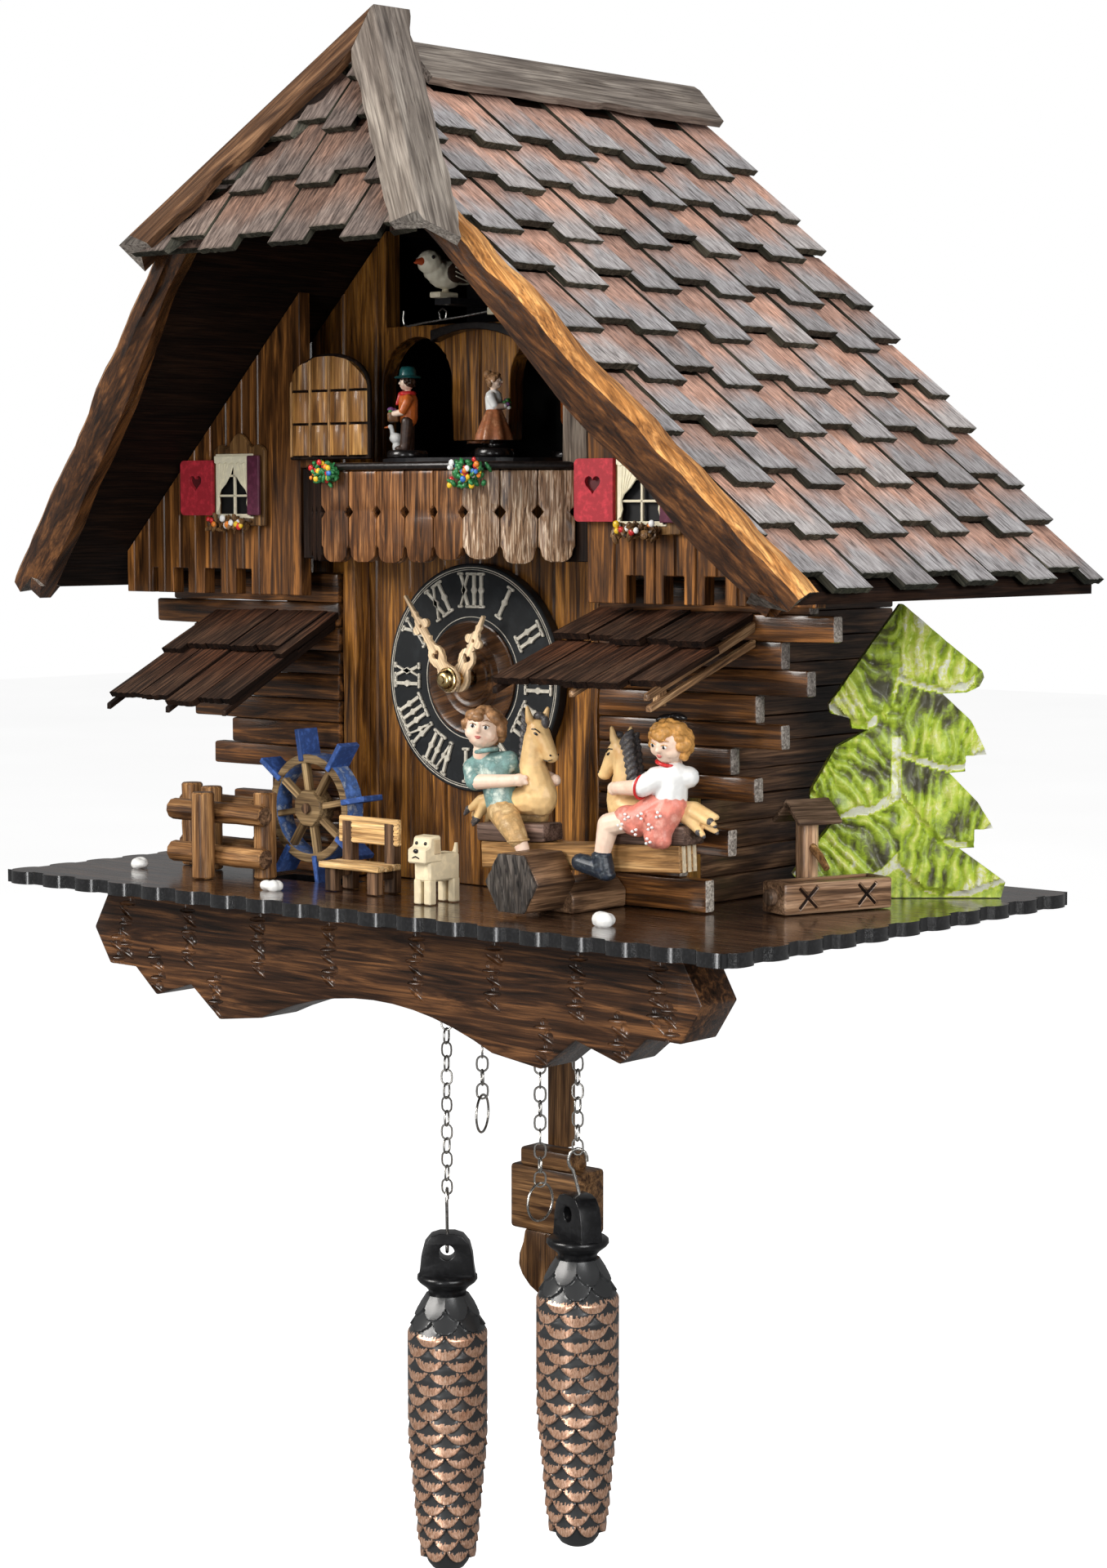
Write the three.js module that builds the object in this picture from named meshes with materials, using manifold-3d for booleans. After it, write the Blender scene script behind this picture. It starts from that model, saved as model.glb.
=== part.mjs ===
// Chalet cuckoo clock with a quartz movement. Units are mm, +Z is up, the wall is the plane Y = 0
// and the clock faces -Y. Heights below are written from the dial's centre, and the whole clock is
// lowered by HOOK_Z at the end, so that the origin is the hanging hole in the back panel.
import * as THREE from 'three';
import { mergeVertices } from 'three/addons/utils/BufferGeometryUtils.js';
import { ConvexGeometry } from 'three/addons/geometries/ConvexGeometry.js';
import Module from 'manifold-3d';

const wasm = await Module();
wasm.setup();

// ---- driving dimensions -------------------------------------------------------------------------
const HOOK_Z = 130;            // hanging hole above the dial's centre
const GAP = 0.3;               // clearance between neighbouring pieces

const PLATFORM_HALF = 183.1;
const PLATFORM_FRONT = -215.3;
const PLATFORM_TOP = -80.2;
const PLATFORM_THICK = 5;
const FOOT = PLATFORM_TOP + GAP;   // underside of everything that stands on the platform

const WALL_X = 100;            // outside of the side walls
const WALL_THICK = 8;
const BOARD_FRONT = -131;      // face of the plank front board
const BOARD_BACK = -123;
const LOG_PITCH = 9.6;

const DIAL_R = 43.5;
const DIAL_FACE = -136;

const ROOF_UNDER = 221;        // |x| + z on the roof's underside
const ROOF_TIP = 233;          // |x| + z at the shingle tips
const SHINGLE_DROP = 4.2;      // step at each shingle row, measured along z
const EAVE_X = 194.6;
const ROW_X = [33, 55.3, 67.7, 88.9, 103.3, 123.9, 138.5, 159.1, 172.2, EAVE_X];

const BARGE_TOP = 237;         // |x| + z along the barge board's upper edge
const BARGE_LOW = 209;
const BARGE_END_X = 199;
const BARGE_END_Y = -196.3;
const BARGE_LEAN = 0.257;      // the barge boards lean forward towards the ridge
const BARGE_THICK = 8;

const HIP_RISE = 1.534;        // dz / dy of the hip roof
const HIP_APEX = [0, -189.3, 245.9];
const HIP_CORNER = [74, -243.6, 162.6];
const HIP_TOP_Z = 240;         // height of the hip roof's plane above HIP_APEX's y
const HIP_BACK_Y = -193.9;     // the line where hip and slope meet starts here at the middle...
const HIP_SPREAD = 0.651;      // ...and comes forward by this much per mm of x

const STAGE_FLOOR_TOP = 77.5;
const TABLE_CENTRE_Y = -126;
const TABLE_R = 40.5;
const DANCER_R = 31.1;         // the dancers' distance from the turntable's axis

const CHAIN_Y = -114;
const WEIGHT_X = 34;           // the weight chains hang at +-34, the ring chains at +-15
const RING_X = 15;
const CHAIN_TOP = -20;
const WEIGHT_LENGTH = 138;
const WEIGHT_TOPS = { left: -223.4, right: -198 };
const RING_BOTTOMS = { left: -181, right: -212 };
const RING_TURNS = { left: THREE.MathUtils.degToRad(113), right: THREE.MathUtils.degToRad(90) };
const RING_R = 7.5;

const MILL_HUB = [-64, -156, -52];
const SEESAW_PIVOT = [69, -165, -60];
const SEESAW_TILT = THREE.MathUtils.degToRad(3);

// ---- materials ----------------------------------------------------------------------------------
function paint(name, color, roughness = 0.5, metalness = 0) {
  const material = new THREE.MeshStandardMaterial({ color, roughness, metalness });
  material.name = name;
  return material;
}

const MAT = {
  platform: paint('platform', 0x3a2418, 0.35),
  wall: paint('wall', 0x5a3820, 0.45),
  log: paint('log', 0x4a2f1e, 0.5),
  plank: paint('plank', 0x6e4426, 0.4),
  panel: paint('panel', 0x74441f, 0.4),
  shingle: paint('shingle', 0x8c7c70, 0.8),
  hip: paint('hip', 0x6a452c, 0.7),
  cap: paint('cap', 0x8a7768, 0.7),
  barge: paint('barge', 0x7a4a22, 0.35),
  awning: paint('awning', 0x51301c, 0.6),
  fascia: paint('fascia', 0x4f3220, 0.45),
  dial: paint('dial', 0x1b1c1d, 0.5),
  hand: paint('hand', 0xe9c9a0, 0.5),
  cream: paint('cream', 0xeadfbd, 0.6),
  rail: paint('rail', 0x1d1513, 0.4),
  golden: paint('golden', 0xa9783f, 0.5),
  rustic: paint('rustic', 0x93633c, 0.6),
  dog: paint('dog', 0xe6d3a4, 0.6),
  tree: paint('tree', 0x7fa31f, 0.6),
  mill: paint('mill', 0x8c7342, 0.6),
  figure: paint('figure', 0xd9b08c, 0.5),
  bird: paint('bird', 0xe8dcc0, 0.35),
  movement: paint('movement', 0x18181a, 0.5),
  chain: paint('chain', 0xb9b6b0, 0.35, 0.9),
  weight: paint('weight', 0x3b2a22, 0.5),
  pendulum: paint('pendulum', 0x5b3a22, 0.5),
};

// ---- shape helpers ------------------------------------------------------------------------------
function mirrored(points) {
  return points.map(([a, b]) => [-a, b]).reverse();
}

function shapeOf(points, holes = []) {
  const shape = new THREE.Shape(points.map(([a, b]) => new THREE.Vector2(a, b)));
  for (const hole of holes) {
    shape.holes.push(new THREE.Path(hole.map(([a, b]) => new THREE.Vector2(a, b))));
  }
  return shape;
}

function extruded(points, depth, holes) {
  return new THREE.ExtrudeGeometry(shapeOf(points, holes), { depth, bevelEnabled: false, curveSegments: 1 });
}

// A prism along Y from (x, z) points, along X from (y, z) points, and along Z from (x, y) points.
function prismY(points, y0, y1, holes) {
  return extruded(points, y1 - y0, holes).rotateX(Math.PI / 2).translate(0, y1, 0);
}

function prismX(points, x0, x1, holes) {
  const basis = new THREE.Matrix4().makeBasis(
    new THREE.Vector3(0, 1, 0), new THREE.Vector3(0, 0, 1), new THREE.Vector3(1, 0, 0));
  return extruded(points, x1 - x0, holes).applyMatrix4(basis).translate(x0, 0, 0);
}

function prismZ(points, z0, z1, holes) {
  return extruded(points, z1 - z0, holes).translate(0, 0, z0);
}

function box(x0, x1, y0, y1, z0, z1) {
  return new THREE.BoxGeometry(x1 - x0, y1 - y0, z1 - z0)
    .translate((x0 + x1) / 2, (y0 + y1) / 2, (z0 + z1) / 2);
}

function rod(from, to, radius, sides = 12, radiusTo = radius) {
  const a = new THREE.Vector3(...from);
  const b = new THREE.Vector3(...to);
  const turn = new THREE.Quaternion().setFromUnitVectors(
    new THREE.Vector3(0, 1, 0), b.clone().sub(a).normalize());
  const middle = a.clone().add(b).multiplyScalar(0.5);
  return new THREE.CylinderGeometry(radiusTo, radius, a.distanceTo(b), sides)
    .applyQuaternion(turn)
    .translate(middle.x, middle.y, middle.z);
}

function ball(centre, rx, ry, rz, sides = 10) {
  return new THREE.SphereGeometry(1, sides, Math.round(sides * 0.7))
    .scale(rx, ry, rz)
    .translate(...centre);
}

function lathe(profile, sides = 24) {
  // profile is (radius, height); the axis is Z
  return new THREE.LatheGeometry(profile.map(([r, h]) => new THREE.Vector2(r, h)), sides)
    .rotateX(Math.PI / 2);
}

function hull(points) {
  return new ConvexGeometry(points.map((p) => new THREE.Vector3(...p)));
}

function standingRing(centre, radius, tube, turn) {
  // an upright ring whose plane is turned about Z
  return new THREE.TorusGeometry(radius, tube, 6, 16)
    .rotateX(Math.PI / 2)
    .rotateZ(turn)
    .translate(...centre);
}

function toManifold(geometry) {
  const bare = new THREE.BufferGeometry();
  const source = geometry.index ? geometry.toNonIndexed() : geometry;
  bare.setAttribute('position', source.getAttribute('position').clone());
  const merged = mergeVertices(bare, 1e-4);
  return new wasm.Manifold(new wasm.Mesh({
    numProp: 3,
    vertProperties: new Float32Array(merged.getAttribute('position').array),
    triVerts: new Uint32Array(merged.index.array),
  }));
}

function fromManifold(manifold) {
  const mesh = manifold.getMesh();
  const geometry = new THREE.BufferGeometry();
  geometry.setAttribute('position', new THREE.BufferAttribute(new Float32Array(mesh.vertProperties), 3));
  geometry.setIndex(new THREE.BufferAttribute(new Uint32Array(mesh.triVerts), 1));
  return geometry;
}

function union(...geometries) {
  return fromManifold(geometries.map(toManifold).reduce((sum, next) => sum.add(next)));
}

function cut(geometry, ...tools) {
  const start = toManifold(geometry);
  return fromManifold(tools.map(toManifold).reduce((rest, tool) => rest.subtract(tool), start));
}

function common(a, b) {
  return fromManifold(toManifold(a).intersect(toManifold(b)));
}

function mirrorX(geometry) {
  // mirror in the plane X = 0 and turn every face round again
  const flat = geometry.index ? geometry.toNonIndexed() : geometry.clone();
  const position = flat.getAttribute('position');
  const copy = position.array.slice();
  for (let face = 0; face < position.count; face += 3) {
    [0, 2, 1].forEach((from, to) => {
      position.setXYZ(
        face + to,
        -copy[(face + from) * 3],
        copy[(face + from) * 3 + 1],
        copy[(face + from) * 3 + 2],
      );
    });
  }
  return flat;
}

const group = new THREE.Group();
group.name = 'cuckoo_clock';

function add(name, geometry, material) {
  const flat = geometry.index ? geometry.toNonIndexed() : geometry;
  const bare = new THREE.BufferGeometry();
  bare.setAttribute('position', flat.getAttribute('position').clone());
  bare.translate(0, 0, -HOOK_Z);
  bare.computeVertexNormals();
  const mesh = new THREE.Mesh(bare, material);
  mesh.name = name;
  group.add(mesh);
}

// ---- platform and fascia ------------------------------------------------------------------------
function scallopedEdge(from, to, count, depth) {
  // points from one corner to the next, with round lobes between narrow gouged notches
  const points = [];
  const along = [to[0] - from[0], to[1] - from[1]];
  const length = Math.hypot(...along);
  const inward = [-along[1] / length, along[0] / length];
  for (let lobe = 0; lobe < count; lobe += 1) {
    for (const [t, sink] of [[0, 1], [0.18, 1], [0.3, 0.3], [0.5, 0], [0.7, 0.3], [0.82, 1]]) {
      const s = (lobe + t) / count;
      points.push([
        from[0] + along[0] * s + inward[0] * depth * sink,
        from[1] + along[1] * s + inward[1] * depth * sink,
      ]);
    }
  }
  return points;
}

const platformOutline = [
  ...scallopedEdge([-PLATFORM_HALF, -0.1], [-PLATFORM_HALF, PLATFORM_FRONT], 11, 2.6),
  ...scallopedEdge([-PLATFORM_HALF, PLATFORM_FRONT], [PLATFORM_HALF, PLATFORM_FRONT], 19, 2.6),
  ...scallopedEdge([PLATFORM_HALF, PLATFORM_FRONT], [PLATFORM_HALF, -0.1], 11, 2.6),
  [PLATFORM_HALF - 2.6, 0],
  [-PLATFORM_HALF + 2.6, 0],
];
const chainHole = [[-46, -122.5], [-46, -72], [46, -72], [46, -122.5]];
const millSlot = [[-84, -163.5], [-84, -148.5], [-44, -148.5], [-44, -163.5]];
add('platform',
  prismZ(platformOutline, PLATFORM_TOP - PLATFORM_THICK, PLATFORM_TOP, [chainHole, millSlot]), MAT.platform);

const FASCIA_TOP = PLATFORM_TOP - PLATFORM_THICK - GAP;
const fasciaHalf = [
  [144, FASCIA_TOP], [154, -103], [145, -117], [130, -117], [118, -127], [98, -121],
  [82, -133], [59, -130], [44, -126], [22, -118.5],
];
const fasciaOutline = [
  ...fasciaHalf,
  [0, -117],
  ...fasciaHalf.map(([x, z]) => [-x, z]).reverse(),
];
add('fascia', prismY(fasciaOutline.reverse(), -192, -172), MAT.fascia);

// ---- walls --------------------------------------------------------------------------------------
function wallSection() {
  // outline in (x, z): flat inside, rounded log courses outside, top cut to the roof's slope
  const inner = WALL_X - WALL_THICK;
  const outside = [];
  for (let z = FOOT; z < ROOF_UNDER - WALL_X - 8; z += LOG_PITCH) {
    outside.push([WALL_X - 1.4, z], [WALL_X, z + 1.6], [WALL_X, z + LOG_PITCH - 1.6]);
  }
  const top = ROOF_UNDER - 0.5;
  return [[inner, FOOT], ...outside, [WALL_X - 1.4, top - WALL_X + 1.4], [inner, top - inner]];
}
const wallRight = prismY(wallSection(), BOARD_BACK + GAP, -GAP);
add('wall_right', wallRight, MAT.wall);
add('wall_left', mirrorX(wallRight), MAT.wall);

const archHalf = [[14, 90], [14.7, 106]];
for (let step = 0; step <= 8; step += 1) {
  const angle = Math.PI * (1 - step / 8);
  archHalf.push([32.85 + 18.15 * Math.cos(angle), 112 + 18 * Math.sin(angle)]);
}
archHalf.push([51, 73.7]);
const stageOpening = [...archHalf, ...mirrored(archHalf)];

function circle(cx, cz, radius, sides = 16) {
  return Array.from({ length: sides }, (_, i) => {
    const angle = (2 * Math.PI * i) / sides;
    return [cx + radius * Math.cos(angle), cz + radius * Math.sin(angle)];
  });
}

const BOARD_TOP = ROOF_UNDER - 0.5;
const boardOutline = [
  [-WALL_X, FOOT], [WALL_X, FOOT], [WALL_X, BOARD_TOP - WALL_X], [49, BOARD_TOP - 49],
  [49, 134.3], [-49, 134.3], [-49, BOARD_TOP - 49], [-WALL_X, BOARD_TOP - WALL_X],
];
const arborHole = circle(0, 0, 3.4);
add('case_front', prismY(boardOutline, BOARD_FRONT, BOARD_BACK, [stageOpening, arborHole]), MAT.plank);

// log facing beside the dial: each course ends at its own length, and the gaps show the wall behind
const COURSES = [
  [FOOT, -68, 116], [-68, -59, 104], [-59, -49, 126], [-49, -39, 104], [-39, -30, 137.5],
  [-30, -20, 127], [-20, -11, 149], [-11, -1, 138], [-1, 8.2, 160], [8.2, 18, 149],
  [18, 27.5, 171], [27.5, 39, 161],
];
function logFacing() {
  const start = 66.2;
  const outline = [[start, FOOT]];
  for (const [low, high, end] of COURSES) {
    outline.push([end, low], [end, high]);
  }
  outline.push([start, 39]);
  return union(
    prismY(outline, -141, -135.5),
    box(start, WALL_X, -135.9, BOARD_FRONT - GAP, FOOT, 39),
  );
}
const facing = logFacing();
add('log_face_right', facing, MAT.log);
add('log_face_left', mirrorX(facing), MAT.log);

const pilaster = prismY([
  [57.6, FOOT], [65.6, FOOT], [64.8, -40], [65.9, -5], [64.9, 30], [65.6, 73.2],
  [57.2, 73.2], [58.2, 20], [57.2, -25],
], -139.7, BOARD_FRONT - GAP);
add('pilaster_right', pilaster, MAT.plank);
add('pilaster_left', mirrorX(pilaster), MAT.plank);

// ---- gable panels, with the tall bay post on their inner edge -----------------------------------
function gablePanel(teeth) {
  const top = ROOF_UNDER - 0.6;
  const outline = [[72.6, top - 72.6], [72.6, 30.5]];
  for (const [from, to] of teeth) {
    outline.push([from, 30.5], [from, 40.5], [to, 40.5], [to, 30.5]);
  }
  outline.push([173.3, 30.5], [173.3, top - 173.3]);
  return union(
    prismY(outline, -155, -149),
    box(61, 72.8, -155.2, -151.2, 45, 107),
  );
}
const TEETH = [[90.5, 98.5], [107.5, 116.6], [125.7, 134.6], [143.7, 152]];
const TEETH_LEFT = [[100.4, 109.4], [118, 127.4], [137, 145.7], [155, 158]];
add('gable_panel_right', gablePanel(TEETH), MAT.panel);
add('gable_panel_left', mirrorX(gablePanel(TEETH_LEFT)), MAT.panel);

// ---- back ---------------------------------------------------------------------------------------
const backEdge = WALL_X - WALL_THICK - GAP;
const backOutline = [
  [-backEdge, FOOT], [backEdge, FOOT], [backEdge, BOARD_TOP - backEdge], [0, BOARD_TOP],
  [-backEdge, BOARD_TOP - backEdge],
];
const doorHole = [[-60, -62], [60, -62], [60, 72], [-60, 72]];
const hookHole = circle(0, HOOK_Z, 6, 16);
add('back_panel', prismY(backOutline, -6.3, -GAP, [doorHole, hookHole]), MAT.wall);
add('back_door', cut(
  prismY([[-59, -61], [59, -61], [59, 71], [-59, 71]], -5.3, -GAP),
  rod([50, -2.5, 5], [50, 1, 5], 7, 20),
), MAT.wall);

// ---- roof ---------------------------------------------------------------------------------------
function bargeBack(x) {
  return BARGE_END_Y + BARGE_THICK + GAP - BARGE_LEAN * (BARGE_END_X - x);
}
function hipLineY(x) {
  return HIP_BACK_Y - HIP_SPREAD * x;
}

// hip beams: an angle section whose ridge runs from the apex to the eave's corner
const ridgeFrom = new THREE.Vector3(...HIP_APEX);
const ridgeTo = new THREE.Vector3(...HIP_CORNER);
const hipDirection = ridgeTo.clone().sub(ridgeFrom).normalize();
const slopeNormal = new THREE.Vector3(1, 0, 1).normalize();
const hipNormal = new THREE.Vector3(0, -HIP_RISE, 1).normalize();

const BEAM_OVERRUN = 3;
const BEAM_THICK = 5;
const CUTTER_RISE = 6;         // how far the cutter for a beam reaches above the beam's face
function beamLeg(normal, outward, width, grow, rise) {
  const across = outward.clone().addScaledVector(hipDirection, -outward.dot(hipDirection));
  across.addScaledVector(normal, -across.dot(normal)).normalize();
  const start = ridgeFrom.clone().addScaledVector(hipDirection, -grow);
  const end = ridgeTo.clone().addScaledVector(hipDirection, BEAM_OVERRUN + grow);
  const points = [];
  for (const origin of [start, end]) {
    for (const side of [-grow, width + grow]) {
      for (const level of [rise, -BEAM_THICK - grow]) {
        points.push(origin.clone().addScaledVector(across, side).addScaledVector(normal, level).toArray());
      }
    }
  }
  return hull(points);
}
function beamLegs(grow, rise) {
  return [
    beamLeg(slopeNormal, new THREE.Vector3(1, 1, 0), 18, grow, rise),
    beamLeg(hipNormal, new THREE.Vector3(-1, -0.4, 0), 14, grow, rise),
  ];
}
function hipBeam() {
  const rightHalf = box(GAP / 2, 400, -400, 100, -100, 400);
  return common(union(...beamLegs(0, 0)), rightHalf);
}
function beamCutter() {
  return beamLegs(GAP, CUTTER_RISE);
}

function roofSection() {
  const points = [[GAP / 2, ROOF_UNDER - GAP / 2], [GAP / 2, ROOF_TIP - SHINGLE_DROP - 0.5]];
  for (const x of ROW_X) {
    points.push([x, ROOF_TIP - x]);
    if (x < EAVE_X) {
      points.push([x, ROOF_TIP - SHINGLE_DROP - x]);
    }
  }
  points.push([EAVE_X, ROOF_UNDER - EAVE_X]);
  return points.reverse();
}
const crossX = 50.3;
const roofPlan = [
  [-1, 0], [-1, hipLineY(0) + 0.5], [crossX, hipLineY(crossX) + 0.5], [crossX, bargeBack(crossX)],
  [EAVE_X + 1, bargeBack(EAVE_X + 1)], [EAVE_X + 1, 0],
];
const roofRight = cut(
  common(prismY(roofSection(), -260, -0.05), prismZ(roofPlan, -10, 300)), ...beamCutter());
add('roof_right', roofRight, MAT.shingle);
add('roof_left', mirrorX(roofRight), MAT.shingle);

function hipSection() {
  // (y, z) outline of the hip roof: three shingle rows stepping down to the eave
  const plane = (y) => HIP_TOP_Z + HIP_RISE * (y - HIP_APEX[1]);
  const points = [[-190, plane(-190) - 15], [-190, plane(-190) - 4]];
  for (const y of [-206, -221.5, -243.6]) {
    points.push([y, plane(y)]);
    if (y > -240) {
      points.push([y, plane(y) - 5.5]);
    }
  }
  points.push([-243.6, plane(-243.6) - 14], [-239, plane(-239) - 15]);
  return points.reverse();
}
const hipSideY = hipLineY(77) - 0.6;
const hipPlan = [[0, hipLineY(0) - 0.6], [-77, hipSideY], [-77, -250], [77, -250], [77, hipSideY]];
const beamCuts = beamCutter();
add('roof_hip', cut(
  common(prismX(hipSection(), -80, 80), prismZ(hipPlan, 0, 300)),
  ...beamCuts, ...beamCuts.map(mirrorX)), MAT.hip);

const beam = hipBeam();
add('hip_beam_right', beam, MAT.cap);
add('hip_beam_left', mirrorX(beam), MAT.barge);

const capSection = [
  [0, 231.2], [13, 218.2], [15.4, 220.4], [2, 234.6], [0, 235.4], [-2, 234.6], [-15.4, 220.4], [-13, 218.2],
];
add('ridge_cap', cut(prismY(capSection, -173, -0.05), ...beamCuts, ...beamCuts.map(mirrorX)), MAT.cap);

function bargeBoard() {
  const start = 62;
  const outline = [[start, BARGE_LOW - start], [190, BARGE_LOW + 8 - 190], [BARGE_END_X, 38]];
  for (const x of [176, 152, 130, 108, 86]) {
    outline.push([x, BARGE_TOP - 0.7 - x]);
  }
  outline.push([start, BARGE_TOP - start]);
  const board = prismY(outline, 0, BARGE_THICK);
  const position = board.getAttribute('position');
  for (let i = 0; i < position.count; i += 1) {
    const lean = BARGE_LEAN * (BARGE_END_X - position.getX(i));
    position.setY(i, position.getY(i) + BARGE_END_Y - lean);
  }
  return cut(board, ...beamCutter());
}
const barge = bargeBoard();
add('barge_right', barge, MAT.barge);
add('barge_left', mirrorX(barge), MAT.barge);

// ---- awnings ------------------------------------------------------------------------------------
function awningSection(topZ, lowZ) {
  const back = -141.3;
  const front = -202;
  const slope = (topZ - lowZ) / (back - front);
  const at = (y, lift) => [y, lowZ + slope * (y - front) + lift];
  return [
    at(back, -5), at(back, 0), at(-170, 0.6), at(-170, -1.8), at(front, 0), at(front, -4.5),
  ];
}
add('awning_left', prismX(awningSection(24, -9), -136, -66), MAT.awning);
add('awning_right', prismX(awningSection(28, 5), 66.4, 139), MAT.awning);

// ---- dial and hands -----------------------------------------------------------------------------
function disc(radius, y0, y1, hole, sides = 48) {
  return prismY(circle(0, 0, radius, sides), y0, y1, hole ? [circle(0, 0, hole, 12)] : []);
}
add('dial', union(
  disc(DIAL_R, DIAL_FACE, BOARD_FRONT - GAP, 3.4),
  disc(21.8, DIAL_FACE - 1, DIAL_FACE + 1, 3.4, 32),
), MAT.dial);

function handShape(length, wide, bulb) {
  return [
    [-wide, -wide * 0.8], [wide, -wide * 0.8], [wide * 1.1, wide * 0.6], [wide * 0.7, bulb * 0.55],
    [bulb * 0.32, bulb], [wide * 0.8, bulb * 1.3], [1, bulb * 1.5], [0.8, length],
    [-0.8, length], [-1, bulb * 1.5], [-wide * 0.8, bulb * 1.3], [-bulb * 0.32, bulb],
    [-wide * 0.7, bulb * 0.55], [-wide * 1.1, wide * 0.6],
  ];
}
const HOUR_TIME = 12.9;
const MINUTE_TIME = 54;
const hourTurn = (HOUR_TIME / 12) * 2 * Math.PI;
const minuteTurn = (MINUTE_TIME / 60) * 2 * Math.PI;
add('hour_hand', cut(
  union(
    prismY(handShape(27, 5, 15), -144, -142.3).rotateY(hourTurn),
    rod([0, -144, 0], [0, -112, 0], 2.8, 16),
  ),
  rod([0, -146, 0], [0, -110, 0], 1.9, 16),
), MAT.hand);
add('minute_hand', union(
  prismY(handShape(38.5, 5, 21), -149.6, -148).rotateY(minuteTurn),
  rod([0, -149, 0], [0, -109, 0], 1.5, 16),
  rod([0, -149, 0], [0, -154, 0], 4.6, 16, 1.6),
), MAT.hand);

// ---- bay balcony, turntable and dancers ---------------------------------------------------------
function bayBand(y, halfFront, halfBack, thick, backY) {
  // a band round the bay in plan, open at the back; both outlines run left, front, right
  const outer = [[-halfBack, backY], [-halfFront, y], [halfFront, y], [halfBack, backY]];
  const inner = [
    [halfBack - thick * 1.35, backY], [halfFront - thick * 0.45, y + thick],
    [-halfFront + thick * 0.45, y + thick], [-halfBack + thick * 1.35, backY],
  ];
  return [...outer, ...inner];
}
const boards = prismZ(bayBand(-181, 35.7, 67.7, 4, -155.6), 45, 78);
const notches = [];
for (const x of [-28.5, -14.2, 0, 14.2, 28.5]) {
  notches.push(prismY([[x, 60.4], [x + 2.4, 63], [x, 65.6], [x - 2.4, 63]], -185, -172));
  notches.push(prismY([[x - 1.6, 44], [x + 1.6, 44], [x + 1.2, 48.5], [x - 1.2, 48.5]], -185, -172));
}
add('balcony_boards', cut(boards, ...notches), MAT.panel);
add('balcony_rail', prismZ(bayBand(-183, 36.6, 68.9, 4, -155.6), 78.3, 81.2), MAT.rail);

const floorPlan = [
  [-50.6, -70], [-50.6, -131.5], [-61, -154.6], [-33.4, -176.4], [33.4, -176.4], [61, -154.6],
  [50.6, -131.5], [50.6, -70],
];
add('stage_floor', cut(
  prismZ(floorPlan, STAGE_FLOOR_TOP - 3.5, STAGE_FLOOR_TOP),
  rod([0, TABLE_CENTRE_Y, 70], [0, TABLE_CENTRE_Y, 80], 3.4, 16),
), MAT.plank);
add('turntable', union(
  rod([0, TABLE_CENTRE_Y, 80], [0, TABLE_CENTRE_Y, 83], TABLE_R, 40),
  rod([0, TABLE_CENTRE_Y, 78.8], [0, TABLE_CENTRE_Y, 81], 6, 16),
  rod([0, TABLE_CENTRE_Y, 74.6], [0, TABLE_CENTRE_Y, 79], 3, 16),
), MAT.rail);

function dancer(profile, angle) {
  const x = DANCER_R * Math.cos(angle);
  const y = TABLE_CENTRE_Y + DANCER_R * Math.sin(angle);
  return lathe(profile, 12).translate(x, y, 83.3);
}
const manProfile = [
  [0, 0], [8, 0], [8, 3], [4.4, 4], [4, 14], [5, 20], [4.6, 24], [2, 26], [3.4, 28.5], [3.2, 31],
  [4.8, 31.4], [3, 32], [2.6, 34.4], [0, 34.8],
];
const womanProfile = [
  [0, 0], [7.5, 0], [7.5, 4], [8, 5], [5, 12], [3.2, 16.5], [4.4, 21], [3.6, 24], [1.8, 26],
  [3.6, 29], [3.4, 32], [1.6, 34], [0, 34.2],
];
const DANCERS = [
  ['dancer_man_1', manProfile, -135], ['dancer_woman_1', womanProfile, -45],
  ['dancer_man_2', manProfile, 45], ['dancer_woman_2', womanProfile, 135],
];
for (const [name, profile, degrees] of DANCERS) {
  add(name, dancer(profile, THREE.MathUtils.degToRad(degrees)), MAT.figure);
}

// ---- windows and arched shutter -----------------------------------------------------------------
function windowSet(left, right, low, high, crest, shutter) {
  // a framed window with one open shutter beside it and a flower box under it
  const face = prismY([
    [left, low], [right, low], [right, high], [right - 6, high + 2], [(left + right) / 2, crest],
    [left + 6, high + 2], [left, high],
  ], -158.3, -155.5);
  return union(
    face,
    box(shutter[0], shutter[1], -159.2, -155.5, shutter[2], shutter[3]),
    box(left + 1, right - 2, -162.5, -157, low - 4, low + 4),
  );
}
add('window_left', windowSet(-118.5, -90, 60.5, 86, 93.4, [-136.4, -118.2, 61.6, 83.4]), MAT.cream);
add('window_right', windowSet(87.4, 117, 58, 83.4, 90.5, [69.8, 87.8, 59.5, 82]), MAT.cream);

const shutterOutline = [[-75, 83], [-32, 83], [-32, 109]];
for (let step = 1; step < 8; step += 1) {
  const angle = (Math.PI * step) / 8;
  shutterOutline.push([-53.5 + 21.5 * Math.cos(angle), 109 + 14.5 * Math.sin(angle)]);
}
shutterOutline.push([-75, 109]);
add('arch_shutter', prismY(shutterOutline, -160, -156.4), MAT.golden);

// ---- bird ---------------------------------------------------------------------------------------
add('bird_arm', union(
  box(-4, 4, -152, -60, 140, 142.4),
  box(-1.7, 1.7, -150, -146.6, 142, 144.6),
), MAT.movement);
add('bird', union(
  ball([0, -150.5, 151], 6, 9.5, 6, 12),
  ball([0, -159.5, 155], 4.8, 5, 4.8, 12),
  rod([0, -163, 155], [0, -167.4, 154.2], 1.6, 6, 0.4),
  hull([
    [-3, -144, 150], [3, -144, 150], [-3, -144, 146.5], [3, -144, 146.5],
    [-2.4, -136.5, 149.6], [2.4, -136.5, 149.6], [-2.4, -136.5, 148], [2.4, -136.5, 148],
  ]),
), MAT.bird);

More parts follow.
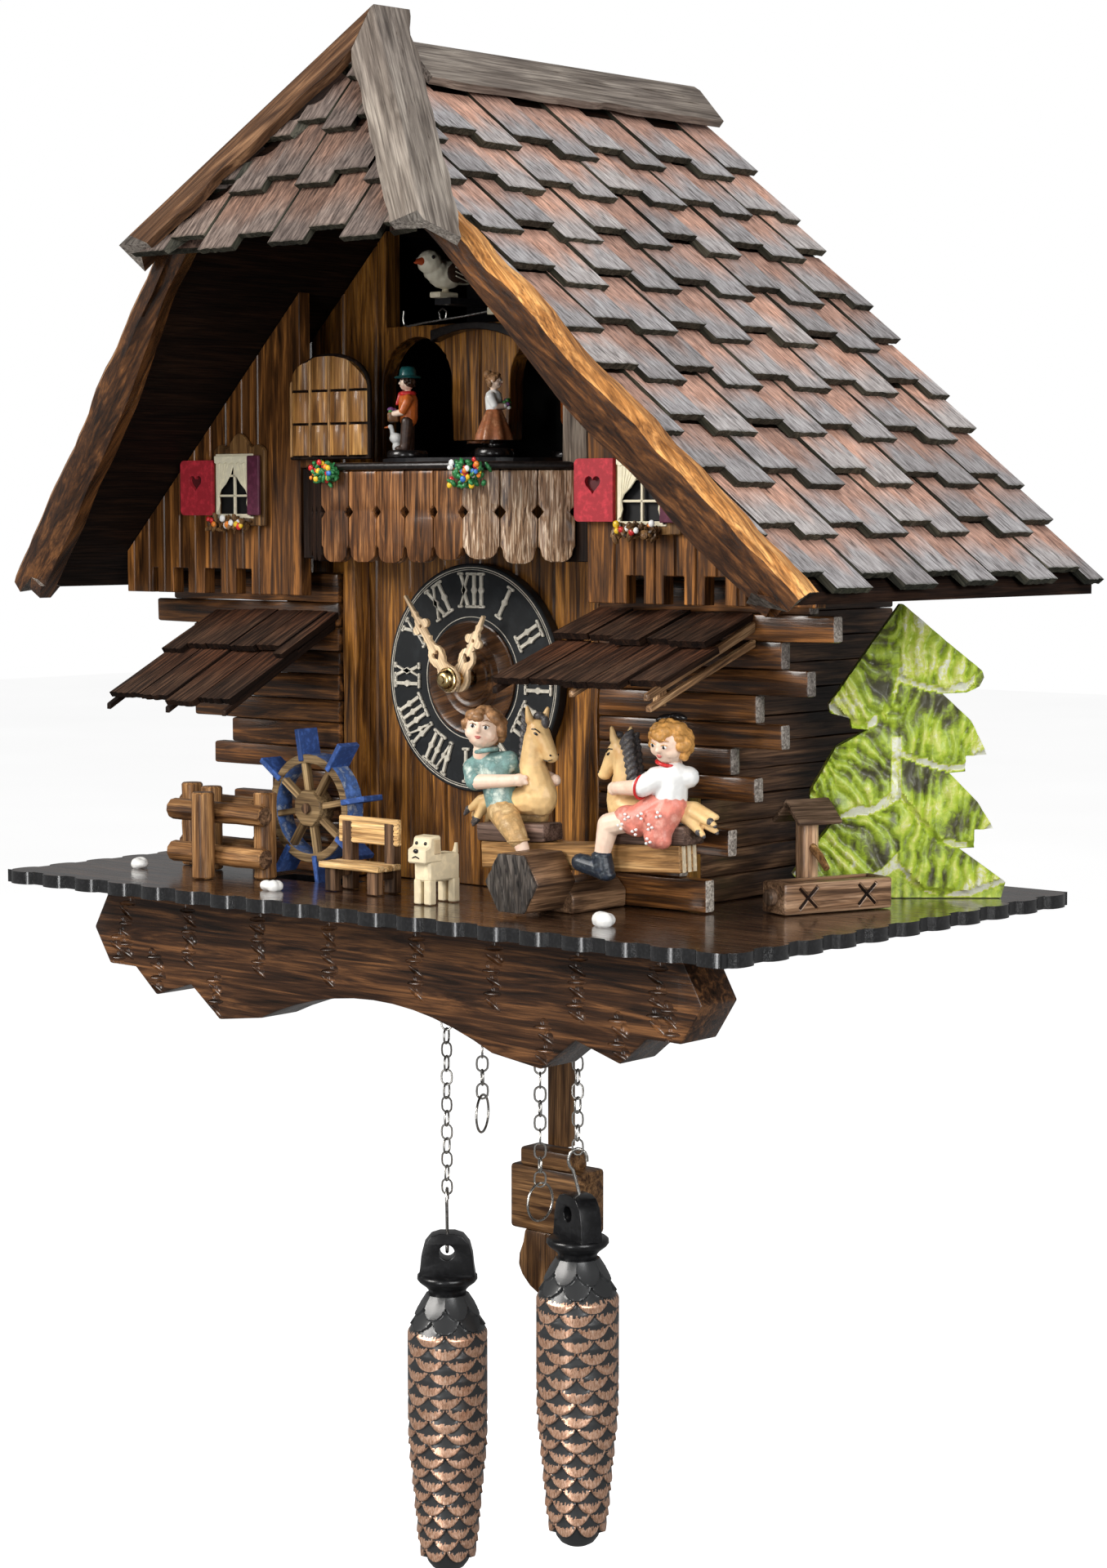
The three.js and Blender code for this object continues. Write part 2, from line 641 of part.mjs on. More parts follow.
// ---- yard pieces --------------------------------------------------------------------------------
function logRail(x0, x1, y, z) {
  return rod([x0, y, z], [x1, y, z], 4.3, 10);
}
add('fence', union(
  rod([-98.5, -184, FOOT], [-98.5, -184, -46], 4.7, 12),
  rod([-79.8, -168.6, FOOT], [-79.8, -168.6, -46], 4.7, 12),
  logRail(-124, -71.5, -176.4, -54.5),
  logRail(-124, -71.5, -176.4, -71.3),
), MAT.rustic);
add('bench', union(
  box(-37, -6, -182.5, -169, -71, -68.6),
  box(-35, -30, -181, -167, FOOT, -70.8),
  box(-13, -8, -181, -167, FOOT, -70.8),
  box(-35, -30, -169.8, -167, -72, -52.5),
  box(-13, -8, -169.8, -167, -72, -52.5),
  box(-37, -6, -171.4, -169.3, -62, -52),
), MAT.rustic);

add('dog', union(
  box(17.4, 25.8, -187, -171, -72, -61),
  box(17.2, 26, -191, -182, -65, -54.6),
  box(17.4, 20.8, -187, -184, FOOT, -71),
  box(22.4, 25.8, -187, -184, FOOT, -71),
  box(17.4, 20.8, -174.5, -171.5, FOOT, -71),
  box(22.4, 25.8, -174.5, -171.5, FOOT, -71),
), MAT.dog);

function millWheel() {
  const [hx, hy, hz] = MILL_HUB;
  const pieces = [
    prismY(circle(hx, hz, 21.3, 24), hy - 5, hy + 5, [circle(hx, hz, 17.6, 24)]),
    prismY(circle(hx, hz, 8.5, 8), hy - 5.2, hy + 3),
    rod([hx, hy, hz], [hx, -140, hz], 2, 10),
  ];
  for (let i = 0; i < 8; i += 1) {
    const angle = (i * Math.PI) / 4 + 0.18;
    const spoke = box(7, 19, hy - 4, hy - 1, -1.3, 1.3).rotateY(-angle).translate(hx, 0, hz);
    const paddle = box(19, 31.5, hy - 5.5, hy + 5.5, -1.6, 1.6);
    paddle.rotateY(-angle).translate(hx, 0, hz);
    pieces.push(spoke, paddle);
  }
  return union(...pieces);
}
add('mill_wheel', millWheel(), MAT.mill);

const hexagon = circle(69, -68, 12.2, 6).map(([x, z]) => [x, Math.max(z, FOOT)]);
add('seesaw_log', union(
  prismY(hexagon, -193, -171),
  prismY([[58, FOOT], [80, FOOT], [80, -73], [76, -69], [62, -69], [58, -73]], -172, -141.6),
  rod([SEESAW_PIVOT[0], -172, SEESAW_PIVOT[2]], [SEESAW_PIVOT[0], -157, SEESAW_PIVOT[2]], 1.6, 10),
), MAT.rustic);

function tilted(geometry) {
  const [px, , pz] = SEESAW_PIVOT;
  return geometry.translate(-px, 0, -pz).rotateY(-SEESAW_TILT).translate(px, 0, pz);
}
const pivotHole = rod([SEESAW_PIVOT[0], -175, SEESAW_PIVOT[2]], [SEESAW_PIVOT[0], -150, SEESAW_PIVOT[2]], 2);
add('seesaw_plank', cut(tilted(union(
  box(34.6, 127, -170, -159.6, -65, -55),
  box(33, 66, -170.5, -159.2, -55.4, -48.4),
  box(91, 130, -170.5, -159.2, -55.4, -48.4),
)), pivotHole), MAT.rustic);

const RIDER_Y = -165;
add('rider_boy', tilted(union(
  ball([41, RIDER_Y - 5, -14.5], 7.6, 7.4, 8.6),
  ball([44, RIDER_Y - 4, -30], 8, 7, 11),
  hull([
    [39, RIDER_Y - 8, -40], [50, RIDER_Y - 8, -40], [39, RIDER_Y + 3, -40], [50, RIDER_Y + 3, -40],
    [42, RIDER_Y - 8, -48], [54, RIDER_Y - 8, -48], [42, RIDER_Y + 3, -48], [54, RIDER_Y + 3, -48],
  ]),
)), MAT.figure);
add('horse_left', tilted(union(
  ball([62, RIDER_Y + 0.4, -34.5], 7.8, 5, 12),
  rod([61, RIDER_Y, -30], [59.5, RIDER_Y, -12], 4.6, 10, 3),
  rod([59, RIDER_Y, -13], [65.5, RIDER_Y, -21], 3.4, 10, 2.4),
)), MAT.figure);
add('rider_girl', tilted(union(
  ball([124, RIDER_Y - 5, -15], 7.6, 7.4, 8.6),
  ball([121, RIDER_Y - 4, -30], 7.6, 7, 10),
  hull([
    [110, RIDER_Y - 9, -36], [126, RIDER_Y - 9, -36], [110, RIDER_Y + 3, -36], [126, RIDER_Y + 3, -36],
    [113, RIDER_Y - 9, -47.6], [126, RIDER_Y - 9, -47.6],
    [113, RIDER_Y + 3, -47.6], [126, RIDER_Y + 3, -47.6],
  ]),
)), MAT.figure);
add('horse_right', tilted(union(
  ball([98.6, RIDER_Y + 0.4, -37], 6.6, 5, 10.6),
  rod([99.5, RIDER_Y, -33], [100, RIDER_Y, -17], 4.4, 10, 2.8),
  rod([99.5, RIDER_Y, -18], [92.6, RIDER_Y, -24], 3.2, 10, 2.2),
)), MAT.figure);

const WELL_TURN = THREE.MathUtils.degToRad(70);
add('well', union(
  box(-23.5, 23.5, -7.3, 7.3, 0, 11.5),
  rod([-1, 9, 0], [-1, 9, 34], 4.5, 12),
  prismX([[2, 31.5], [9, 37.6], [16, 31.5], [16, 33.6], [9, 39.8], [2, 33.6]], -9, 7),
  rod([-1, 6, 24], [-1, -3.5, 16], 1.2, 8),
).rotateZ(WELL_TURN).translate(142.5, -103.5, FOOT), MAT.rustic);

const TREE_AXIS = Math.atan2(0.65, 0.76);
const treeOutline = [
  [-7, 0], [7, 0], [16, 6], [39.5, 3], [25, 17], [33, 22], [37, 24], [27, 38], [31, 45], [34, 47],
  [23, 58], [28, 68], [30, 71], [19, 82], [22, 84], [5, 104], [-1, 108], [-9, 100], [-22, 80],
  [-17, 76], [-30, 56], [-24, 52], [-36, 32], [-28, 28], [-39.5, 8], [-26, 3], [-14, 6],
];
add('tree', prismY(treeOutline, -4, 4).rotateZ(TREE_AXIS).translate(141, -56, FOOT), MAT.tree);

// ---- movement, pendulum, chains and weights -----------------------------------------------------
const standoffs = [];
for (const x of [-27, 27]) {
  for (const z of [-23, 46]) {
    standoffs.push(box(x - 2, x + 2, BOARD_BACK + GAP, -107, z - 2, z + 2));
  }
}
add('movement', union(box(-30, 30, -108, -60, -25, 50), ...standoffs), MAT.movement);

add('pendulum_rod', box(-5.2, 5.2, -86, -81, -188.7, -27), MAT.pendulum);
add('pendulum_bob', union(
  box(-13, 13, -94, -82.6, -196.8, -189),
  box(-18, 18, -94.3, -78, -222.5, -196.3),
  prismY([
    [0, -250], [10, -245], [15, -238], [11.5, -222], [-11.5, -222], [-15, -238], [-10, -245],
  ], -93, -85),
), MAT.pendulum);

// a fir cone weight: a tapering cone, a neck, a collar, and a tab with a hole for the hook
const conePoints = [
  [0, 0], [3, 0], [7.8, 3.3], [10, 12.9], [12.6, 32], [14.7, 51], [16, 79.7], [16, 89], [15.4, 96.8],
  [11.5, 105.4], [7.9, 114], [12, 118.7], [12.2, 121], [9.5, 123], [0, 123],
];
const TAB_HOLE_Z = 131;
function coneWeight(side, sign) {
  const low = WEIGHT_TOPS[side] - WEIGHT_LENGTH;
  const body = lathe(conePoints, 20);
  const tabOutline = [
    [-9.5, 121], [9.5, 121], [9, 130], [6.5, 136], [3, WEIGHT_LENGTH],
    [-3, WEIGHT_LENGTH], [-6.5, 136], [-9, 130],
  ];
  const tab = prismY(tabOutline, -4.2, 4.2, [circle(0, TAB_HOLE_Z, 3.4, 12)]);
  return union(body, tab).translate(sign * WEIGHT_X, CHAIN_Y, low);
}
for (const [side, sign] of [['left', -1], ['right', 1]]) {
  const top = WEIGHT_TOPS[side];
  const ringZ = RING_BOTTOMS[side] + RING_R;
  add(`weight_${side}`, coneWeight(side, sign), MAT.weight);
  add(`chain_weight_${side}`,
    rod([sign * WEIGHT_X, CHAIN_Y, top + GAP], [sign * WEIGHT_X, CHAIN_Y, CHAIN_TOP], 1.3, 6), MAT.chain);
  add(`chain_ring_${side}`, union(
    standingRing([sign * RING_X, CHAIN_Y, ringZ], RING_R - 0.8, 0.8, RING_TURNS[side]),
    rod([sign * RING_X, CHAIN_Y, ringZ + RING_R - 0.8], [sign * RING_X, CHAIN_Y, CHAIN_TOP], 1.3, 6),
  ), MAT.chain);
}

export default group;
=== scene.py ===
"""Looks for the chalet cuckoo clock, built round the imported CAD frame.

Shapes are written in mm from the dial's centre, with the wall at y = 0 and the clock facing -Y.
They become metres in the row frame when a Batch makes its object.
"""

import math
import random
from types import SimpleNamespace

import bmesh
import bpy
from mathutils import Matrix, Vector, noise
from mathutils.geometry import tessellate_polygon


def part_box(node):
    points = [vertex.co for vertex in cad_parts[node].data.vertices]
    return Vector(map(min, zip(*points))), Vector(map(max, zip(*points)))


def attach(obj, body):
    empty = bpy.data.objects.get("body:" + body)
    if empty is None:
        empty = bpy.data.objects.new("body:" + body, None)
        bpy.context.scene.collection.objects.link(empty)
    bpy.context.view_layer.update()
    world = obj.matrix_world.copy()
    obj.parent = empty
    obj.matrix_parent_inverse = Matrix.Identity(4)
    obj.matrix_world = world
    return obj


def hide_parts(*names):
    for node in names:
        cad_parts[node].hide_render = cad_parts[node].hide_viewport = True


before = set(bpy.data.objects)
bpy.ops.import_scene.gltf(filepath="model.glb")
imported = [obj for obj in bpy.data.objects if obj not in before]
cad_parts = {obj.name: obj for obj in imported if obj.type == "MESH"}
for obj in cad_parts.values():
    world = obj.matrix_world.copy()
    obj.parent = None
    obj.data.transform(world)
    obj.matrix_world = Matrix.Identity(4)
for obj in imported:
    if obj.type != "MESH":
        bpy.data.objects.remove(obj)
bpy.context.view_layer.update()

MM = 0.001
DIAL_LOW, DIAL_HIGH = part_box("dial")
HOOK_Z = -(DIAL_LOW.z + DIAL_HIGH.z) / 2 / MM     # the origin's height above the dial's centre


def extent(node):
    """A CAD node's box in mm from the dial's centre."""
    low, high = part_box(node)
    return SimpleNamespace(
        x0=low.x / MM, y0=low.y / MM, z0=low.z / MM + HOOK_Z,
        x1=high.x / MM, y1=high.y / MM, z1=high.z / MM + HOOK_Z,
    )


PLATFORM = extent("platform")
BOARD = extent("case_front")
WALL = extent("wall_right")
ROOF = extent("roof_right")
BARGE = extent("barge_right")
CAP = extent("ridge_cap")
DIAL = extent("dial")
FOOT = PLATFORM.z1 + 0.3                # where the things on the base board stand

ROOF_UNDER = 221.0                      # |x| + z on the roof's underside
ROOF_TIP = ROOF.x1 + (ROOF.z0 + 12)     # |x| + z at the shingle tips
BARGE_TOP = ROOF_TIP + 4                # |x| + z at the barge board's upper edge
BARGE_LEAN = 0.257                      # how far the barge board goes back per mm outwards
BARGE_THICK = 8
BARGE_DEPTH = 19.4                      # across the board, square to the roof
BARGE_NARROW = 5.6                      # how much narrower the board is near the ridge
HIP_RISE = 1.534                        # the hip plane's rise per mm backwards
HIP_TOP, HIP_BACK = 240, -189.3         # a height on the hip plane and its depth there
HIP_SLANT = 0.651                       # how far the hip's edge comes forward per mm outwards
HIP_EDGE = -193.9                       # that edge's depth below the ridge
HIP_APEX = Vector((0, HIP_BACK, 245.9))
HIP_CORNER = Vector((74, -243.6, 162.6))
SIDES = ((1, "right"), (-1, "left"))


# ---- camera, light and backdrop ------------------------------------------------------------------
CAMERA_TURN = math.radians(40.43)
CAMERA_DOWN = math.radians(5.11)
CAMERA_PLACE = Vector((775.7, -998.9, 63.3))
FOCAL_PIXELS = 3737
IMAGE_HEIGHT = 1920
SURROUND = 0.2              # the studio's light on the object; the camera itself sees white
FLOOR_Z, FLOOR_HALF = -0.75, 9


def make_camera():
    turn, down = CAMERA_TURN, CAMERA_DOWN
    right = Vector((math.cos(turn), math.sin(turn), 0))
    up = Vector((-math.sin(turn) * math.sin(down), math.cos(turn) * math.sin(down), math.cos(down)))
    back = right.cross(up)
    data = bpy.data.cameras.new("camera")
    data.sensor_width = 36
    data.lens = 36 * FOCAL_PIXELS / IMAGE_HEIGHT
    data.clip_start = 0.01
    data.clip_end = 50
    camera = bpy.data.objects.new("camera", data)
    bpy.context.scene.collection.objects.link(camera)
    basis = Matrix((right, up, back)).transposed().to_4x4()
    basis.translation = row_point(CAMERA_PLACE)
    camera.matrix_world = basis
    bpy.context.scene.camera = camera


def row_point(p):
    return Vector((p[0] * MM, p[1] * MM, (p[2] - HOOK_Z) * MM))


def area_light(name, place, aim, size, power, color=(1, 1, 1)):
    data = bpy.data.lights.new(name, "AREA")
    data.shape = "RECTANGLE"
    data.size, data.size_y = size
    data.energy = power
    data.color = color
    light = bpy.data.objects.new(name, data)
    bpy.context.scene.collection.objects.link(light)
    light.location = place
    light.rotation_euler = (Vector(aim) - Vector(place)).to_track_quat("-Z", "Y").to_euler()


def make_studio():
    world = bpy.data.worlds.new("studio")
    bpy.context.scene.world = world
    world.use_nodes = True
    tree = world.node_tree
    background = tree.nodes["Background"]
    background.inputs["Color"].default_value = (1, 1, 1, 1)
    rays = tree.nodes.new("ShaderNodeLightPath")
    level = tree.nodes.new("ShaderNodeMapRange")
    level.inputs["To Min"].default_value = SURROUND
    level.inputs["To Max"].default_value = 1.0
    tree.links.new(rays.outputs["Is Camera Ray"], level.inputs["Value"])
    tree.links.new(level.outputs["Result"], background.inputs["Strength"])
    area_light("key", (-0.9, -1.7, 0.8), (0, -0.1, -0.1), (0.9, 0.9), 42, (1, 0.97, 0.93))
    area_light("fill", (1.8, -0.9, 0.5), (0, -0.1, -0.1), (1.1, 1.3), 30)
    area_light("top", (0.6, 0.1, 1.6), (0, -0.1, 0), (1.2, 1.2), 16)
    area_light("front", (0.5, -2.1, -0.2), (0, -0.15, -0.2), (0.4, 1.2), 12)
    floor = bpy.data.meshes.new("floor")
    corners = [(x * FLOOR_HALF, y * FLOOR_HALF, FLOOR_Z) for x, y in ((-1, -1), (1, -1), (1, 1), (-1, 1))]
    floor.from_pydata(corners, [], [(0, 1, 2, 3)])
    ground = bpy.data.objects.new("floor", floor)
    bpy.context.scene.collection.objects.link(ground)
    graph = Graph("studio_floor")
    shade = graph.noise(graph.object_mm(), 0.002, 1)
    color = graph.ramp(shade, [(0, (0.93, 0.93, 0.93)), (1, (0.97, 0.97, 0.97))])
    graph.finish(color, roughness=0.9, emission=(color, 0.8))
    floor.materials.append(graph.material)
    ground.visible_diffuse = False
    ground.visible_glossy = False
    bpy.context.scene.view_settings.view_transform = "Standard"


# ---- materials -----------------------------------------------------------------------------------
class Graph:
    """A small helper that builds one node material."""

    def __init__(self, name):
        self.material = bpy.data.materials.new(name)
        self.material.use_nodes = True
        self.tree = self.material.node_tree
        self.tree.nodes.clear()

    def node(self, kind, inputs=(), **settings):
        made = self.tree.nodes.new(kind)
        for key, value in settings.items():
            setattr(made, key, value)
        for key, value in dict(inputs).items():
            self.feed(made.inputs[key], value)
        return made

    def feed(self, socket, value):
        if isinstance(value, bpy.types.NodeSocket):
            self.tree.links.new(value, socket)
        elif isinstance(value, tuple) and len(value) == 3 and socket.type == "RGBA":
            socket.default_value = (*value, 1)
        else:
            socket.default_value = value

    def object_mm(self, along="Z"):
        """Object coordinates in mm, turned so that the grain runs along the third axis."""
        coords = self.node("ShaderNodeTexCoord").outputs["Object"]
        split = self.node("ShaderNodeSeparateXYZ", {"Vector": coords})
        order = {"X": "YZX", "Y": "ZXY", "Z": "XYZ"}[along]
        parts = {axis: split.outputs[source] for axis, source in zip("XYZ", order)}
        joined_up = self.node("ShaderNodeCombineXYZ", parts).outputs[0]
        return self.node("ShaderNodeVectorMath", {0: joined_up, "Scale": 1000.0},
                         operation="SCALE").outputs[0]

    def attribute(self, name, output="Fac"):
        return self.node("ShaderNodeAttribute", attribute_name=name).outputs[output]

    def stretch(self, vector, factors):
        return self.node("ShaderNodeVectorMath", {0: vector, 1: factors}, operation="MULTIPLY").outputs[0]

    def noise(self, vector, scale, detail=2.0, roughness=0.5, distortion=0.0):
        return self.node("ShaderNodeTexNoise", {
            "Vector": vector, "Scale": scale, "Detail": float(detail),
            "Roughness": roughness, "Distortion": distortion,
        }).outputs["Fac"]

    def ramp(self, fac, stops):
        made = self.node("ShaderNodeValToRGB", {"Fac": fac})
        elements = made.color_ramp.elements
        while len(elements) < len(stops):
            elements.new(0.5)
        for element, (place, color) in zip(elements, stops):
            element.position = place
            element.color = (*color, 1) if len(color) == 3 else color
        return made.outputs["Color"]

    def mix(self, fac, a, b, blend="MIX"):
        made = self.node("ShaderNodeMix", data_type="RGBA", blend_type=blend)
        self.feed(made.inputs[0], fac)
        self.feed(made.inputs[6], a)
        self.feed(made.inputs[7], b)
        return made.outputs[2]

    def math(self, operation, a, b=0.0, clamp=False):
        made = self.node("ShaderNodeMath", operation=operation, use_clamp=clamp)
        self.feed(made.inputs[0], a)
        self.feed(made.inputs[1], b)
        return made.outputs[0]

    def bump(self, height, strength=0.3, distance=0.3):
        return self.node("ShaderNodeBump", {
            "Height": height, "Strength": strength, "Distance": distance * MM}).outputs["Normal"]

    def finish(self, color, roughness=0.5, metallic=0.0, coat=0.0, normal=None, emission=None,
               specular=0.5):
        inputs = {"Base Color": color, "Roughness": roughness, "Metallic": metallic,
                  "Specular IOR Level": specular,
                  "Coat Weight": coat, "Coat Roughness": 0.12}
        if normal:
            inputs["Normal"] = normal
        if emission:
            inputs["Emission Color"], inputs["Emission Strength"] = emission
        shader = self.node("ShaderNodeBsdfPrincipled", inputs)
        self.node("ShaderNodeOutputMaterial", {"Surface": shader.outputs[0]})
        return self.material


def wood(name, dark, mid, light, gloss=0.35, coat=0.3, figure=0.22, fibre=1.6, along=None, spread=0.35,
         specular=0.22):
    """Stained wood. Grain comes from the pieces' own grain attribute, or from object axes on CAD nodes."""
    graph = Graph(name)
    vector = graph.object_mm(along) if along else graph.attribute("grain", "Vector")
    figured = graph.noise(graph.stretch(vector, (1, 1, 0.07)), figure, 5, 0.6, 1.4)
    fibres = graph.noise(graph.stretch(vector, (1, 1, 0.03)), fibre, 3, 0.6, 0.2)
    blotch = graph.noise(vector, 0.03, 2)
    color = graph.ramp(figured, [(0.34, dark), (0.5, mid), (0.65, light)])
    color = graph.mix(0.8, color, graph.ramp(fibres, [(0.32, (0.25, 0.22, 0.2)),
                                                      (0.62, (1.25, 1.25, 1.22))]), "MULTIPLY")
    color = graph.mix(0.6, color, graph.ramp(blotch, [(0.3, (0.55, 0.5, 0.48)), (0.7, (1.25, 1.25, 1.2))]),
                      "MULTIPLY")
    if not along:
        low, high = 1 - spread, 1 + spread
        tone = graph.ramp(graph.attribute("tint"), [(0, (low, low, low)), (1, (high, high, high * 0.98))])
        color = graph.mix(1.0, color, tone, "MULTIPLY")
    rough = graph.ramp(fibres, [(0.3, (gloss + 0.22,) * 3), (0.6, (gloss,) * 3)])
    normal = graph.bump(fibres, 0.25, 0.35)
    return graph.finish(color, roughness=rough, coat=coat * 0.4, normal=normal, specular=specular)


def painted(name, color, gloss=0.45, coat=0.2, variation=0.18, scale=0.5, bump=0.12, along=None, under=None,
            specular=0.3):
    """Brushed paint with slightly uneven colour; under is the colour that shows where it is thin."""
    graph = Graph(name)
    vector = graph.object_mm(along) if along else graph.attribute("grain", "Vector")
    patches = graph.noise(vector, scale, 4, 0.6)
    low = tuple(c * (1 - variation) for c in color)
    high = tuple(min(1, c * (1 + variation)) for c in color)
    mixed = graph.ramp(patches, [(0.3, under or low), (0.48, low), (0.7, high)])
    normal = graph.bump(graph.noise(vector, scale * 3, 3), bump, 0.3)
    return graph.finish(mixed, roughness=gloss, coat=coat * 0.5, normal=normal, specular=specular)


def metal(name, dark, light, gloss=0.25):
    graph = Graph(name)
    stains = graph.noise(graph.attribute("grain", "Vector"), 0.6, 4, 0.6)
    color = graph.ramp(stains, [(0.35, dark), (0.6, light)])
    rough = graph.ramp(stains, [(0.3, (gloss + 0.2,) * 3), (0.7, (gloss,) * 3)])
    return graph.finish(color, roughness=rough, metallic=1.0)


def shingle_material(name, dark, mid, light, warm, warm_amount):
    """Rough sawn shingles, warmer towards the top of the part that shows, with painted shade darkening each
    tip.
    """
    graph = Graph(name)
    vector = graph.attribute("grain", "Vector")
    lines = graph.noise(graph.stretch(vector, (1, 1, 0.035)), 0.95, 4, 0.65, 0.25)
    broad = graph.noise(graph.stretch(vector, (1, 1, 0.15)), 0.12, 3)
    tint = graph.attribute("tint")
    grey = graph.ramp(lines, [(0.3, dark), (0.47, mid), (0.68, light)])
    top = graph.math("ADD", graph.attribute("height"), graph.math("MULTIPLY",
                                                                  graph.math("SUBTRACT", broad, 0.5), 1.1))
    warmth = graph.ramp(top, [(0.4, (0, 0, 0)), (0.95, (warm_amount,) * 3)])
    color = graph.mix(warmth, grey, graph.mix(1.0, grey, warm, "MULTIPLY"))
    tone = graph.ramp(tint, [(0, (0.74, 0.72, 0.72)), (0.5, (0.97, 0.96, 0.97)), (1, (1.2, 1.14, 1.1))])
    color = graph.mix(1.0, color, tone, "MULTIPLY")
    # Painted shade: each shingle darkens near its tip, at the step down to the row below.
    painted_tip_shade = graph.ramp(graph.attribute("height"), [(0.02, (0.5, 0.52, 0.48)), (0.09, (1, 1, 1))])
    color = graph.mix(1.0, color, painted_tip_shade, "MULTIPLY")
    normal = graph.bump(lines, 0.55, 0.5)
    return graph.finish(color, roughness=0.62, normal=normal, specular=0.25)


